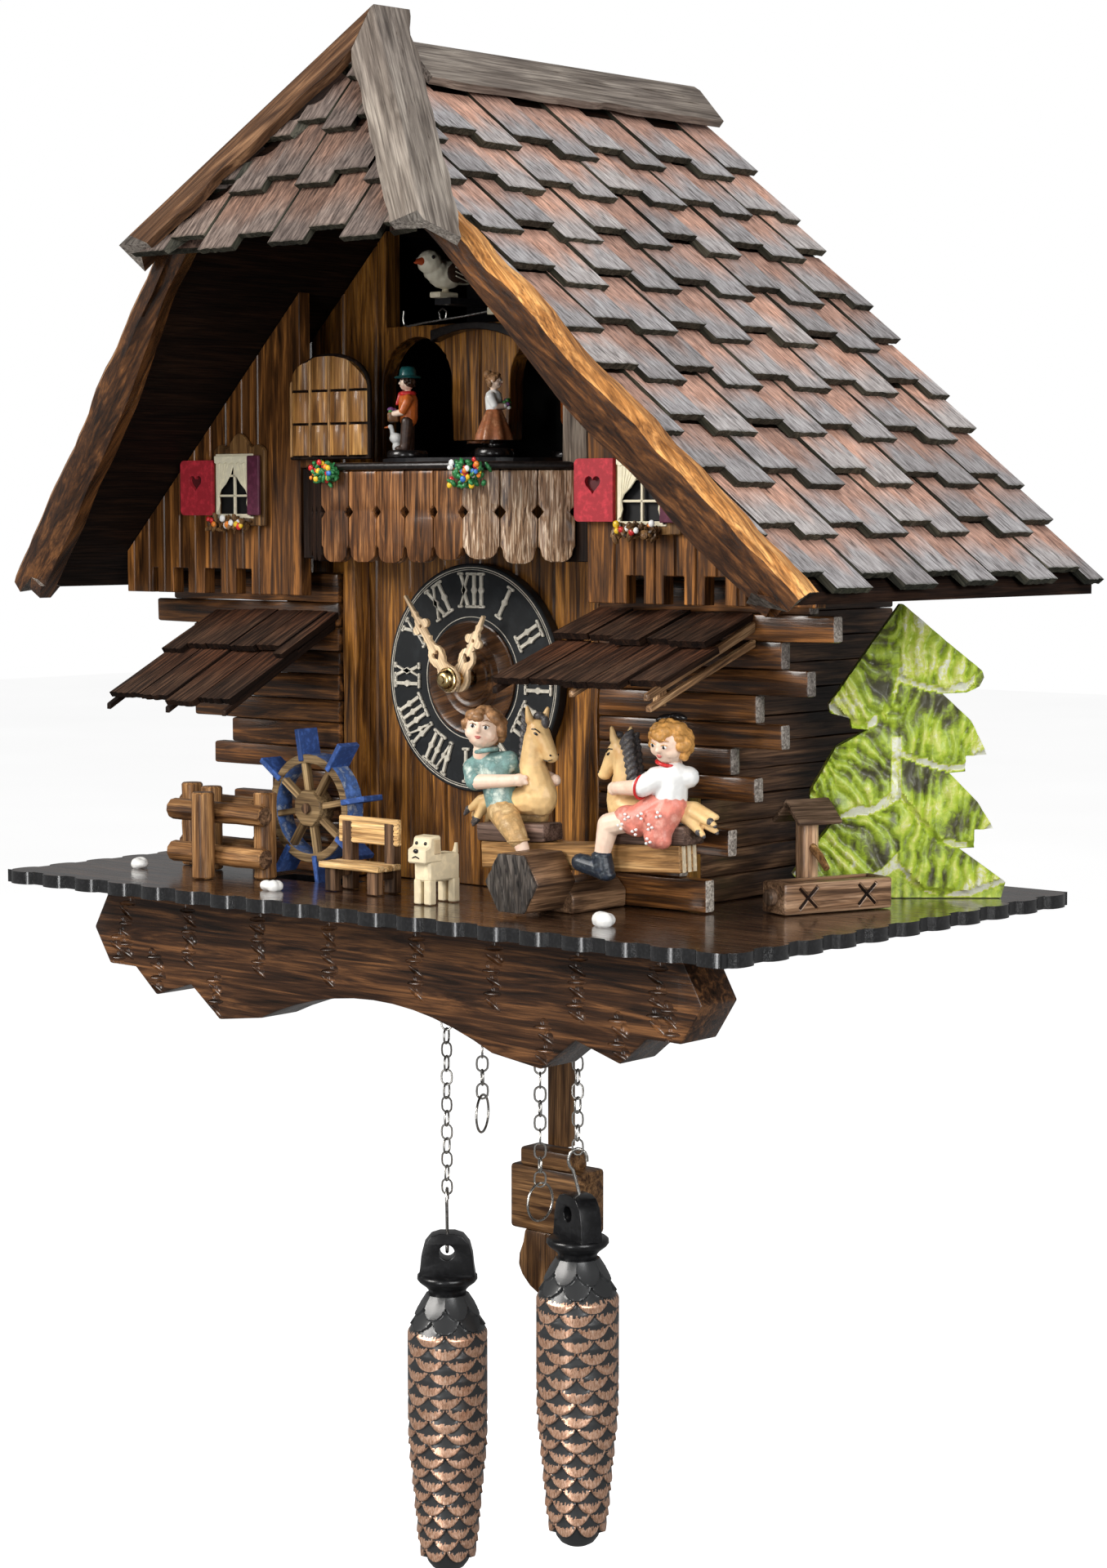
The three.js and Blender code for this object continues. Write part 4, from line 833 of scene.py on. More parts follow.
def slope_shingles(side, name):
    batch = Batch(20 + side)
    rng = random.Random(5 + side)
    normal = Vector((side, 0, 1)).normalized()
    for row in range(ROWS):
        long_tip = ROOF.x1 - (ROWS - 1 - row) * ROW_PITCH
        back = 0.0
        column = 0
        while True:
            width = SHINGLE_WIDTH + rng.uniform(-1.6, 1.6)
            if column == 0 and row % 2:
                width *= 0.55
            is_long = (ROWS - 1 - row + column) % 2 == 0
            tip = long_tip - (0 if is_long else STAGGER) + rng.uniform(-0.8, 0.8)
            tip = min(tip, ROOF.x1)
            limit = roof_limit(tip)
            if back < limit + 4:
                break
            front = back - width
            ends = front < limit + 3
            skew = rng.uniform(-0.5, 0.5)
            lift_tip = rng.uniform(-0.4, 0.5)

            def corner(across, along, lift, tip=tip, back=back, front=front, ends=ends, skew=skew,
                       lift_tip=lift_tip):
                x = tip - along * SHINGLE_LENGTH
                limit_here = roof_limit(x)
                y_front = limit_here if ends else max(limit_here, front + 0.3 + skew * along)
                y_back = max(limit_here + 0.4, back)
                y = y_back + (y_front - y_back) * across
                drop = SHINGLE_STEP * along * SHINGLE_LENGTH / ROW_PITCH
                total = ROOF_TIP - 0.6 + lift_tip * (1 - along) - drop
                return Vector((side * x, y, total - x)) + normal * lift

            batch.take(shingle(corner, 12, 3.0, rng), along=(side, 0, -1),
                       height_of=lambda co, tip=tip: min(1, max(0, (tip - abs(co.x)) / ROW_PITCH)))
            back = front
            column += 1
            if ends:
                break
    batch.make(f"shingles_{name}", ["shingle", "shingle_edge"], "clock")
    # The board under the shingles is in near-black wood: painted shade on the roof's underside.
    boards = Batch(30 + side)
    eave = ROOF.x1 - 6
    plan = [(0.3, -0.3), (0.3, hip_line(0) + 3)]
    for x in (25, 50, 60, 90, 120, 150, 180, eave):
        plan.append((x, max(barge_front(x) + BARGE_THICK + 0.4, hip_line(x) + 3)))
    plan.append((eave, -0.3))
    sheet = prism(plan, "Z", 0, 1, bevel=0)
    for vert in sheet.verts:
        total = ROOF_UNDER + (3.6 if vert.co.z > 0.5 else 0.2)
        vert.co.z = total - vert.co.x
    boards.take(sided(sheet, side), along=(0, 1, 0))
    boards.make(f"roof_board_{name}", ["painted_shade"], "clock", replaces=(f"roof_{name}",))


def barge_board(side, name):
    batch = Batch(40 + side)
    sections = []
    normal = Vector((1, 0, 1)).normalized()
    length = BARGE.x1 - BARGE.x0
    stations = 34
    for i in range(stations + 1):
        x = BARGE.x1 - length * i / stations
        wave = noise.noise(Vector((x * 0.045, side * 3, 0))) * 2.6 + noise.noise(Vector((x * 0.13, 5 * side,
                                                                                         2))) * 0.9
        wave_low = noise.noise(Vector((x * 0.05, side * 3, 9))) * 2.2
        out = Vector((x, 0, BARGE_TOP - x)) + normal * (wave - 1.4)
        narrow = BARGE_NARROW * min(1, max(0, (122 - x) / 38))
        inn = Vector((x, 0, BARGE_TOP - x)) - normal * (BARGE_DEPTH + wave_low - narrow)
        end_cut = -9 if i == 0 else 0
        inn.x += end_cut
        inn.z -= end_cut
        front, rear = barge_front(x), barge_front(x) + BARGE_THICK
        front_in = barge_front(inn.x + (14 if i else 5))
        ring = [
            (out, rear), (out, front + 3.0), (out - normal * 3.4, front + 0.2), (out - normal * 9,
                                                                                 front - 0.2),
            (inn + normal * 5, front_in + 0.4), (inn, front_in + 2.2), (inn, rear),
        ]
        sections.append([Vector((p.x, y, p.z)) for p, y in ring])
    board = loft(sections, mats=[1, 1, 0, 0, 0, 0, 0], cap_mat=2)
    batch.take(sided(board, side), along=(side, 0, -1))
    batch.make(f"barge_board_{name}", ["barge_front", "barge_top", "grey_end"], "clock",
               replaces=(f"barge_{name}",), smooth=28)


def hip_beam(side, name):
    batch = Batch(50 + side)
    direction = (HIP_CORNER - HIP_APEX).normalized()
    slope_normal = Vector((1, 0, 1)).normalized()
    hip_normal = Vector((0, -HIP_RISE, 1)).normalized()

    def across(outward, normal):
        flat = outward - direction * outward.dot(direction)
        return (flat - normal * flat.dot(normal)).normalized()

    main = across(Vector((1, 1, 0)), slope_normal)
    front = across(Vector((-1, -0.4, 0)), hip_normal)
    reach = (HIP_CORNER - HIP_APEX).length
    sections = []
    stations = 30
    for i in range(stations + 1):
        t = -9 + (reach + 3 + 9) * i / stations
        wave = noise.noise(Vector((t * 0.06, side * 9, 1))) * 2.4 - 0.6
        wave_front = noise.noise(Vector((t * 0.055, side * 9, 4))) * 2.6 - 0.8
        ridge = HIP_APEX + direction * t
        cut_back = direction * 9 * (i / stations) ** 5
        ring = [
            ridge - slope_normal * 0.4 + main * 1.2, ridge + main * (17.4 + wave) - slope_normal * 0.6,
            ridge + main * (18 + wave) - slope_normal * 4.2,
            ridge + main * 4 - slope_normal * 5 - hip_normal * 1.5 - cut_back * 0.5,
            ridge + front * (13.6 + wave_front) - hip_normal * 4.4 - cut_back,
            ridge + front * (13.4 + wave_front) - hip_normal * 0.8 - cut_back,
            ridge + front * 1.2 - hip_normal * 0.4 - cut_back * 0.6,
        ]
        sections.append(ring)
    beam = loft(sections, mats=[0] * 7, cap_mat=1)
    bmesh.ops.bisect_plane(beam, geom=beam.verts[:] + beam.edges[:] + beam.faces[:],
                           plane_co=Vector((0.1, 0, 0)),
                           plane_no=Vector((-1, 0, 0)), clear_outer=True)
    bmesh.ops.holes_fill(beam, edges=beam.edges)
    dashes = []
    rng = random.Random(60 + side)
    for i in range(9):
        t = 8 + i * 12.5 + rng.uniform(-3, 3)
        start = HIP_APEX + direction * t + main * rng.uniform(5, 12) - slope_normal * 0.35
        end = start + direction * rng.uniform(5, 10) + main * rng.uniform(-0.5, 0.5)
        dashes.append(tube([start, (start + end) / 2, end], 0.5, 5, [0.15, 0.55, 0.15]))
    beam = carve(beam, joined(dashes))
    axis = direction.copy()
    axis.x *= side
    batch.take(sided(beam, side), along=axis, tint=0.5)
    batch.make(f"hip_cap_{name}", ["cap" if side > 0 else "beam_brown", "grey_end"], "clock",
               replaces=(f"hip_beam_{name}",),
               smooth=30)


def ridge_cap():
    batch = Batch(70)
    sections = []
    stations = 26
    for i in range(stations + 1):
        y = CAP.y0 + (CAP.y1 - CAP.y0) * i / stations
        left = noise.noise(Vector((y * 0.05, 3, 1))) * 1.6
        right = noise.noise(Vector((y * 0.05, 8, 1))) * 1.6
        rise = (y - CAP.y0) / (CAP.y1 - CAP.y0) * 1.2 - 0.6
        base = CAP.z1 + rise
        ring = [
            (0, base - 5), (13 + right, base - 18 - right), (15.2 + right, base - 15.6 - right), (3,
                    base - 2.3),
            (0, base - 0.5), (-3, base - 2.3), (-15.2 - left, base - 15.6 - left), (-13 - left,
                                                                                    base - 18 - left),
        ]
        sections.append([Vector((x, y, z)) for x, z in ring])
    cap = loft(sections, cap_mat=1)
    dashes = []
    rng = random.Random(71)
    for i in range(12):
        y = CAP.y0 + 12 + i * 13.2
        for sign in (-1, 1):
            x = rng.uniform(5, 12)
            start = Vector((sign * x, y + rng.uniform(-4, 4), CAP.z1 + 0.7 - x))
            end = start + Vector((0, rng.uniform(6, 11), 0))
            dashes.append(tube([start, (start + end) / 2, end], 0.5, 5, [0.15, 0.6, 0.15]))
    batch.take(carve(cap, joined(dashes)), along=(0, 1, 0), tint=0.5)
    batch.make("ridge_cap_wood", ["cap", "grey_end"], "clock", replaces=("ridge_cap",),
               smooth=30)


def hip_roof():
    batch = Batch(80)
    rng = random.Random(81)
    eave = -243.2
    normal = Vector((0, -HIP_RISE, 1)).normalized()
    for row in range(4):
        tip_long = eave + (3 - row) * HIP_PITCH
        half = (HIP_BACK - (tip_long + 6)) / HIP_SLANT - 3
        count = max(2, int(2 * half / 19.5) + 1)
        for column in range(count):
            left = -half + 2 * half * column / count
            right = -half + 2 * half * (column + 1) / count
            tip = tip_long + (0 if (row + column) % 2 else 3.0) + rng.uniform(-0.4, 0.4)
            lift_tip = rng.uniform(-0.3, 0.3)

            def corner(across, along, lift, tip=tip, left=left, right=right, lift_tip=lift_tip):
                y = tip + along * HIP_SHINGLE_LENGTH
                limit = max(4.0, (-y - 194.5) / HIP_SLANT - 3)
                x = left + 0.2 + (right - left - 0.4) * across
                sink = 0.7 * max(0, abs(x) - limit)
                x = max(-limit, min(limit, x))
                plane = HIP_TOP + HIP_RISE * (y - HIP_BACK)
                z = plane - 5.2 * along * HIP_SHINGLE_LENGTH / HIP_PITCH + lift_tip - 0.8 - sink
                return Vector((x, y, z)) + normal * lift

            batch.take(shingle(corner, 10, 2.8, rng, 0.3), along=(0, -1, -HIP_RISE),
                       height_of=lambda co, tip=tip: min(1, max(0, (co.y - tip) / HIP_PITCH)))
    batch.make("hip_shingles", ["hip_shingle", "shingle_edge"], "clock", replaces=("roof_hip",))
    # The board under the hip is in near-black wood: painted shade on the underside.
    board = Batch(82)
    plan = [(0, hip_line(0) - 1), (-58, hip_line(58) + 1), (58, hip_line(58) + 1)]
    sheet = prism(plan, "Z", 0, 1, bevel=0)
    for vert in sheet.verts:
        top = HIP_TOP + HIP_RISE * (vert.co.y - HIP_BACK)
        vert.co.z = top - (8.6 if vert.co.z > 0.5 else 10.6)
    board.take(sheet, along=(1, 0, 0))
    board.make("hip_board", ["painted_shade"], "clock")


# ---- platform and fascia -------------------------------------------------------------------------
def scallops(start, end, count, depth):
    """An edge of round lobes with a flat, slanting gouge between each two."""
    start, end = Vector(start), Vector(end)
    along = end - start
    inward = Vector((-along.y, along.x)).normalized()
    points = []
    for lobe in range(count):
        for t, sink in ((0, 1), (0.16, 1), (0.2, 0.55), (0.28, 0.2), (0.4, 0.03), (0.5, 0), (0.6, 0.03),
                        (0.72, 0.2), (0.8, 0.55), (0.84, 1)):
            points.append(start + along * ((lobe + t) / count) + inward * depth * sink)
    return [(p.x, p.y) for p in points]


def platform():
    half, front = PLATFORM.x1, PLATFORM.y0
    outline = scallops((-half, -0.3), (-half, front), 11, 3.2) + scallops((-half, front), (half, front), 19,
                                                                          3.2)
    outline += scallops((half, front), (half, -0.3), 11, 3.2) + [(half - 3, -0.1), (-half + 3, -0.1)]
    chain_hole = [(-46, -122.5), (-46, -72), (46, -72), (46, -122.5)]
    mill_slot = [(-84, -163.5), (-84, -148.5), (-44, -148.5), (-44, -163.5)]
    batch = Batch(90)
    board = prism(outline, "Z", PLATFORM.z0, PLATFORM.z1, holes=(chain_hole, mill_slot), bevel=0.45,
                  side_mat=1)
    batch.take(board, along=(1, 0, 0), tint=0.5)
    batch.make("platform_board", ["platform", "black_edge"], "clock", replaces=("platform",))


def fascia():
    box = extent("fascia")
    half = [(144, box.z1), (154, -103), (145, -117), (130, -117), (118, -127), (98, -121), (82, box.z0),
            (59, -130)]
    arch = [(x, -117 - 13 * (x / 59) ** 2) for x in (50, 40, 30, 20, 10, 0)]
    right = half + arch
    outline = right + [(-x, z) for x, z in reversed(right[:-1])]
    board = prism(outline, "Y", box.y0, box.y1, bevel=0.7, segments=2)
    marks = []
    rng = random.Random(95)
    groups = [(x, -92, 6) for x in (-135, -99, -60, -22, 22, 60, 99, 135)]
    groups += [(x * s, z, 4) for s in (-1, 1) for x, z in ((140, -106), (118, -112), (84, -118))]
    for x, top, count in groups:
        for i in range(count):
            place = Vector((x + rng.uniform(-1, 1), box.y0 - 0.2, top - i * 4.1))
            lean = 0.45 + rng.uniform(-0.15, 0.15)
            marks.append(ball(place, (4.6, 1.5, 1.1), (0, lean if i % 2 else -lean * 0.2, 0), 2))
            marks.append(ball(place + Vector((rng.uniform(-1, 3), 0, 1.4)), (2.6, 1.2, 1.9), (0, 0.8, 0),
                              2))
    board = carve(board, joined(marks), overlapping=True)
    batch = Batch(96)
    batch.take(board, along=(1, 0, 0), tint=0.5)
    batch.make("fascia_board", ["fascia"], "clock", replaces=("fascia",), smooth=28)


# ---- walls ---------------------------------------------------------------------------------------
def planked(bm, front, places, z0, z1, depth=1.1, width=1.0):
    """V grooves down the front of a board at the given x places."""
    wedges = []
    for x in places:
        wedge = [(x - width, front - 0.2), (x, front + depth), (x + width, front - 0.2)]
        wedges.append(prism(wedge, "Z", z0 - 5, z1 + 5, bevel=0))
    return carve(bm, joined(wedges))


def plank_tint(places, seed):
    """One tint for each plank between the grooves."""
    tints = [random.Random(seed + i).random() for i in range(len(places) + 1)]

    def tint(co):
        return tints[sum(1 for x in places if co.x > x)]
    return tint


def case_front():
    top = ROOF_UNDER - 0.5
    outline = [
        (BOARD.x0, FOOT), (BOARD.x1, FOOT), (BOARD.x1, top - BOARD.x1), (49, top - 49), (49, 134.3), (-49,
                134.3),
        (-49, top - 49), (BOARD.x0, top - BOARD.x1),
    ]
    arch = [(14, 90), (14.7, 106)] + circle(32.85, 112, 18.15, 14, math.pi, 0) + [(51, 73.7)]
    opening = arch + [(-x, z) for x, z in reversed(arch)]
    places = [-90, -72, -54.5, -36.5, -18.2, 0, 18.2, 36.5, 54.5, 72, 90]
    board = prism(outline, "Y", BOARD.y0, BOARD.y1, holes=(opening, circle(0, 0, 3.4)), bevel=0.3)
    board = planked(board, BOARD.y0, places, FOOT, 225)
    batch = Batch(100)
    batch.take(board, along=(0, 0, 1), tint_of=plank_tint(places, 7))
    batch.make("front_planks", ["plank"], "clock", replaces=("case_front",))

    # Near-black boards line the stage and the bird's chamber: painted shade for the dark inside of the case.
    lining = Batch(101)
    for solid in (
        block(-66, 66, -76, -74, 78, 134, 0), block(-68, -66, -122, -74, 78, 134, 0),
        block(66, 68, -122, -74, 78, 134, 0), block(-68, 68, -122, -70, 134, 135.2, 0),
        block(-60, 60, -72, -70, 135.4, 158, 0), block(-22, 22, -72, -70, 158, 196, 0),
    ):
        lining.take(solid)
    lining.make("stage_lining", ["painted_shade_black"], "clock")

    valance = Batch(102)
    steps = [-21 + 42 * i / 16 for i in range(17)]
    curve = [(x, 131.6 - 4.2 * (x / 21) ** 2) for x in steps] + [(x,
            134.2 - 2.4 * (x / 21) ** 2) for x in reversed(steps)]
    valance.take(prism(curve, "Y", -136.5, -130.9, bevel=0.3), along=(0, 0, 1))
    valance.make("valance", ["black_rail"], "clock")


def pilasters():
    for side, name in SIDES:
        box = extent(f"pilaster_{name}")
        low, high = min(abs(box.x0), abs(box.x1)), max(abs(box.x0), abs(box.x1))
        steps = 30
        outer, inner = [], []
        for i in range(steps + 1):
            z = box.z0 + (box.z1 - box.z0) * i / steps
            outer.append((high - 0.8 + noise.noise(Vector((z * 0.035, side, 3))) * 0.8, z))
            inner.append((low + 0.8 + noise.noise(Vector((z * 0.035, side, 9))) * 0.9, z))
        strip = prism(outer + inner[::-1], "Y", box.y0, box.y1, bevel=0.8, segments=2)
        batch = Batch(110 + side)
        batch.take(sided(strip, side), tint=0.65)
        batch.make(f"pilaster_strip_{name}", ["plank"], "clock", replaces=(f"pilaster_{name}",))


# log courses in front: lower edge, upper edge and the end's distance from the middle
COURSES = (
    (FOOT, -68, 116), (-68, -59, 104), (-59, -49, 126), (-49, -39, 104), (-39, -30, 137.5), (-30, -20, 127),
    (-20, -11, 149), (-11, -1, 138), (-1, 8.2, 160), (8.2, 18, 149), (18, 27.5, 171), (27.5, 39, 161),
)


def log_faces():
    for side, name in SIDES:
        box = extent(f"log_face_{name}")
        batch = Batch(120 + side)
        for low, high, end in COURSES:
            log = block(66.2, end, box.y0, box.y0 + 5.5, low + 0.1, high - 0.1, 0.9, 2)
            roughen(sliced(log, "X", 14), 0.35, 0.06, low)
            for face in log.faces:
                if face.normal.x > 0.8:
                    face.material_index = 1
            batch.take(sided(log, side), along=(1, 0, 0))
        backing = block(66.2, 100, box.y0 + 5.3, box.y1, FOOT, 39, 0)
        batch.take(sided(backing, side), along=(1, 0, 0), tint=0.1)
        batch.make(f"log_courses_{name}", ["log", "grey_end"], "clock", replaces=(f"log_face_{name}",))


def side_walls():
    for side, name in SIDES:
        batch = Batch(130 + side)
        z = FOOT
        while z < 116:
            log = block(WALL.x0, WALL.x1, WALL.y0, WALL.y1, z + 0.1, z + 9.5, 0.8, 2)
            roughen(sliced(log, "Y", 12), 0.35, 0.06, z)
            batch.take(sided(log, side), along=(0, 1, 0))
            z += 9.6
        batch.make(f"wall_logs_{name}", ["wall"], "clock", replaces=(f"wall_{name}",))


def gable_panels():
    teeth = {1: ((90.5, 98.5), (107.5, 116.6), (125.7, 134.6), (143.7, 152)),
             -1: ((100.4, 109.4), (118, 127.4), (137, 145.7), (155, 158))}
    for side, name in SIDES:
        box = extent(f"gable_panel_{name}")
        top = ROOF_UNDER - 0.6
        outer = max(abs(box.x0), abs(box.x1))
        outline = [(72.6, top - 72.6), (72.6, box.z0)]
        for start, end in teeth[side]:
            outline += [(start, box.z0), (start, 40.5), (end, 40.5), (end, box.z0)]
        outline += [(outer, box.z0), (outer, top - outer)]
        panel = prism(outline, "Y", box.y0 + 0.2, box.y1, bevel=0.3)
        first = sum(teeth[side][0]) / 2
        places = [first - 9.2 + 9.15 * i for i in range(9)]
        panel = planked(panel, box.y0 + 0.2, places, box.z0, 150, 0.8, 0.7)
        post = block(61, 72.4, box.y0, box.y0 + 4, 80, 107, 0.6, 2)
        roughen(sliced(post, "Z", 9), 0.5, 0.07, side)
        foot = block(61.4, 72.2, box.y0 + 1.2, box.y0 + 4, 45, 79.8, 0.3)
        tints = plank_tint(places, 11)
        for solid in (panel, post, foot):
            sided(solid, side)
        batch = Batch(140 + side)
        batch.take(panel, tint_of=lambda co: tints(Vector((abs(co.x), 0, 0))))
        batch.take(post, mat=1, tint=0.7)
        # The foot under the post is in near-black wood: painted shade for the dark gap below the post.
        batch.take(foot, mat=2)
        batch.make(f"gable_boards_{name}", ["panel", "post_grey" if side > 0 else "panel", "painted_shade"],
                   "clock",
                   replaces=(f"gable_panel_{name}",))


# ---- awnings -------------------------------------------------------------------------------------
def awnings():
    for side, name in SIDES:
        box = extent(f"awning_{name}")
        rng = random.Random(150 + side)
        batch = Batch(151 + side)
        back, front = box.y1, box.y0
        slope = (box.z1 - box.z0 - 4.5) / (back - front)
        normal = Vector((0, -slope, 1)).normalized()
        down = Vector((0, -1, -slope)).normalized()
        for row, (start, tip) in enumerate(((back, front + 29), (front + 38, front))):
            x = box.x0
            while x < box.x1 - 4:
                width = min(rng.uniform(11, 19), box.x1 - x)
                extra = rng.uniform(0, 6)
                lift = rng.uniform(-0.7, 0.5)

                def corner(across, along, up, x=x, width=width, tip=tip, start=start, extra=extra,
                           lift=lift, row=row):
                    y = tip + extra + (start - tip - extra) * along
                    raised = 1.9 if row == 0 else 0
                    total = box.z0 + 4.3 + slope * (y - front) + lift + raised - 1.6 * along
                    return Vector((x + 0.35 + (width - 0.7) * across, y, total)) + normal * up

                batch.take(shingle(corner, 10, 2.6, rng, 0.3), along=down,
                           height_of=lambda co, tip=tip: min(1, max(0, (co.y - tip) / 34)))
                x += width
        for x in (box.x0 + 1.2, (box.x0 + box.x1) / 2, box.x1 - 3.6):
            rail = [
                (back, box.z1 - 6.8), (back, box.z1 - 3.2), (front + 1, box.z0 + 1.6), (front + 1,
                                                                                        box.z0 - 0.8),
            ]
            # Rails left of x = 100 take near-black wood as painted shade; the right rail is lighter.
            batch.take(prism(rail, "X", x, x + 2.4, bevel=0.3), along=down, mat=2 if x > 100 else 1,
                       tint=0.8)
        if side > 0:
            batch.take(prism([(back, box.z1 - 12), (back, box.z1 - 9.4), (front + 2, box.z0 - 2.4),
                              (front + 2, box.z0 - 4.6)],
                             "X", box.x1 - 3.4, box.x1 - 1, bevel=0.3), along=down, mat=2, tint=0.9)
            batch.take(block(box.x1 - 6, box.x1 - 3, -193, -189, box.z0 - 3, box.z0 + 3.4, 0.3), mat=2)
        batch.make(f"awning_shingles_{name}", ["awning_shingle", "painted_shade", "awning_rail"], "clock",
                   replaces=(f"awning_{name}",))


# ---- dial and hands ------------------------------------------------------------------------------
DIAL_R = DIAL.x1
DIAL_FACE = -136.0              # the dial's front
GABLE_FRONT = -155.6            # the gable panels' front
NUMERALS = ("XII", "I", "II", "III", "IIII", "V", "VI", "VII", "VIII", "IX", "X", "XI")
NUMERAL_LOW, NUMERAL_HIGH = 27.2, 39.6
STROKE = 0.82
ADVANCE = {"I": 3.6, "V": 6.1, "X": 6.3}


def bar(x0, x1, half):
    """A slanting stroke from x0 at the foot to x1 at the head, with a notch at mid height."""
    low, high = NUMERAL_LOW, NUMERAL_HIGH
    middle, centre = (low + high) / 2, (x0 + x1) / 2
    left = [(x0 - half, low), (centre - half, middle - 1.3), (centre - half - 0.7, middle),
            (centre - half, middle + 1.3),
            (x1 - half, high)]
    right = [(x1 + half, high), (centre + half, middle + 1.3), (centre + half + 0.7, middle),
             (centre + half, middle - 1.3), (x0 + half, low)]
    return left + right


def serif(x, z, half):
    return [(x - half, z - 0.55), (x + half, z - 0.55), (x + half + 0.3, z), (x + half, z + 0.55),
            (x - half, z + 0.55),
            (x - half - 0.3, z)]


def glyph(letter):
    low, high = NUMERAL_LOW, NUMERAL_HIGH
    if letter == "I":
        return [bar(0, 0, STROKE * 0.8), serif(0, low, 1.55), serif(0, high, 1.55)]
    if letter == "V":
        return [bar(0, -2.1, STROKE * 0.8), bar(0, 2.1, STROKE * 0.5), serif(-2.1, high, 1.2),
                serif(2.1, high, 0.9),
                serif(0, low, 0.7)]
    return [bar(2.0, -2.0, STROKE * 0.8), bar(-2.0, 2.0, STROKE * 0.5), serif(-2, high, 1.1),
            serif(2, high, 0.9),
            serif(-2, low, 0.9), serif(2, low, 1.1)]


def dial():
    batch = Batch(200)
    batch.take(lathe([(0.5, -131.3), (DIAL_R - 0.4, -131.3), (DIAL_R, -131.8), (DIAL_R, DIAL_FACE + 0.5),
                      (DIAL_R - 0.5, DIAL_FACE), (0.5, DIAL_FACE)], axis="Y", sides=96))
    rings = [(21.8, 0), (21.8, -0.9), (21.2, -1.1), (20.6, -0.8), (15, -0.75), (14.4, -1.1), (13.8, -0.75),
             (11.6, -0.75),
             (11, -1.3), (10.2, -1.3), (9.6, -0.9), (8.6, -0.9), (8, -1.5), (3.6, -1.5), (3.4, -0.4), (0.5,
                     -0.4)]
    batch.take(lathe([(0.5, DIAL_FACE + 0.5)] + [(r, DIAL_FACE + depth) for r, depth in rings], axis="Y",
                     sides=72),
               along=(1, 0, 0.3), mat=1, tint=0.6)
    for radius, half in ((42.0, 0.16), (41.2, 0.1), (23.3, 0.14)):
        ring = [(radius - half, DIAL_FACE + 0.1), (radius - half, DIAL_FACE - 0.16),
                (radius + half, DIAL_FACE - 0.16),
                (radius + half, DIAL_FACE + 0.1)]
        bm = lathe(ring + ring[:1], axis="Y", sides=96)
        batch.take(bm, mat=2)
    for hour, text in enumerate(NUMERALS):
        width = sum(ADVANCE[letter] for letter in text)
        x = -width / 2
        turn = Matrix.Rotation(math.tau * hour / 12, 4, "Y")
        for letter in text:
            for outline in glyph(letter):
                shape = [(x + ADVANCE[letter] / 2 + a, b) for a, b in outline]
                batch.take(moved(prism(shape, "Y", DIAL_FACE - 0.85, DIAL_FACE + 0.1, bevel=0.1), turn),
                           mat=2, tint=0.5)
            x += ADVANCE[letter]
    batch.make("dial_face", ["dial_black", "dial_brown", "numeral"], "clock", replaces=("dial",))


def heart(cx, cz, size):
    points = []
    for i in range(20):
        t = math.tau * i / 20
        x = 16 * math.sin(t) ** 3
        z = 13 * math.cos(t) - 5 * math.cos(2 * t) - 2 * math.cos(3 * t) - math.cos(4 * t)
        points.append((cx + x * size / 32, cz + z * size / 32))
    return points


def hand_outline(length, heart_z, clover_z):
    """A carved hand: hub ring, broad heart, slim neck, three-lobed clover and a thin tip."""
    half = [(5.0 * math.sin(a), -5.0 * math.cos(a)) for a in (math.pi * i / 12 for i in range(9))]
    neck = (heart_z + clover_z) / 2
    half += [(2.7, 5.6), (2.3, heart_z - 4.4), (3.3, heart_z - 2.6), (3.9, heart_z), (3.2, heart_z + 2.2),
             (1.9, heart_z + 3.6), (1.3, neck), (2.1, neck + 1.0), (1.3, neck + 2.0), (1.4, clover_z - 1.9)]
    half += circle(2.5, clover_z, 1.75, 8, -2.2, 1.7)
    half += circle(0, clover_z + 2.6, 1.6, 5, 0.1, 1.0)
    half += [(0.95, clover_z + 5), (1.35, clover_z + 5.9), (0.75, clover_z + 6.9), (0.45, length)]
    return half + [(-x, z) for x, z in reversed(half[1:])]


def hand(name, node, length, heart_z, clover_z, minutes, y0, y1):
    holes = [circle(0, 0, 1.9, 16), heart(0, heart_z, 4.2), circle(0, clover_z + 0.2, 0.75, 10)]
    plate = prism(hand_outline(length, heart_z, clover_z), "Y", y0, y1, holes=holes, bevel=0.22, segments=2)
    turn = Matrix.Rotation(math.tau * minutes / 60, 4, "Y")
    batch = Batch(210)
    batch.take(moved(plate, turn), along=(math.sin(math.tau * minutes / 60), 0,
                                          math.cos(math.tau * minutes / 60)), tint=0.5)
    if node == "hour_hand":
        batch.take(lathe([(2.0, y0 - 0.5), (2.8, y0 - 0.5), (2.8, -112), (2.0, -112), (2.0, y0 - 0.5)],
                         axis="Y", sides=24),
                   mat=1)
    else:
        batch.take(lathe([(0.2, -109), (1.5, -109), (1.5, -153), (0.2, -153)], axis="Y", sides=20), mat=1)
        nut = [(0.2, -149.6), (4.4, -149.6), (4.7, -150.1), (4.5, -150.7), (4.0, -151.0), (3.7, -152.0),
               (2.8, -153.0),
               (1.9, -153.4), (1.5, -153.4), (1.3, -153.9), (0.2, -154)]
        batch.take(lathe(nut, axis="Y", sides=32), mat=1)
    batch.make(name, ["hand", "brass"], "hour" if node == "hour_hand" else "minute", replaces=(node,))


# ---- bay, balcony and windows --------------------------------------------------------------------
def side_matrix(corner, toward):
    """Places a board made along X with its face at y = 0 onto the line from corner to toward."""
    corner, toward = Vector(corner), Vector(toward)
    along = (toward - corner).normalized()
    inward = Vector((-along.y, along.x, 0))
    matrix = Matrix((along, inward, Vector((0, 0, 1)))).transposed().to_4x4()
    matrix.translation = corner
    return matrix


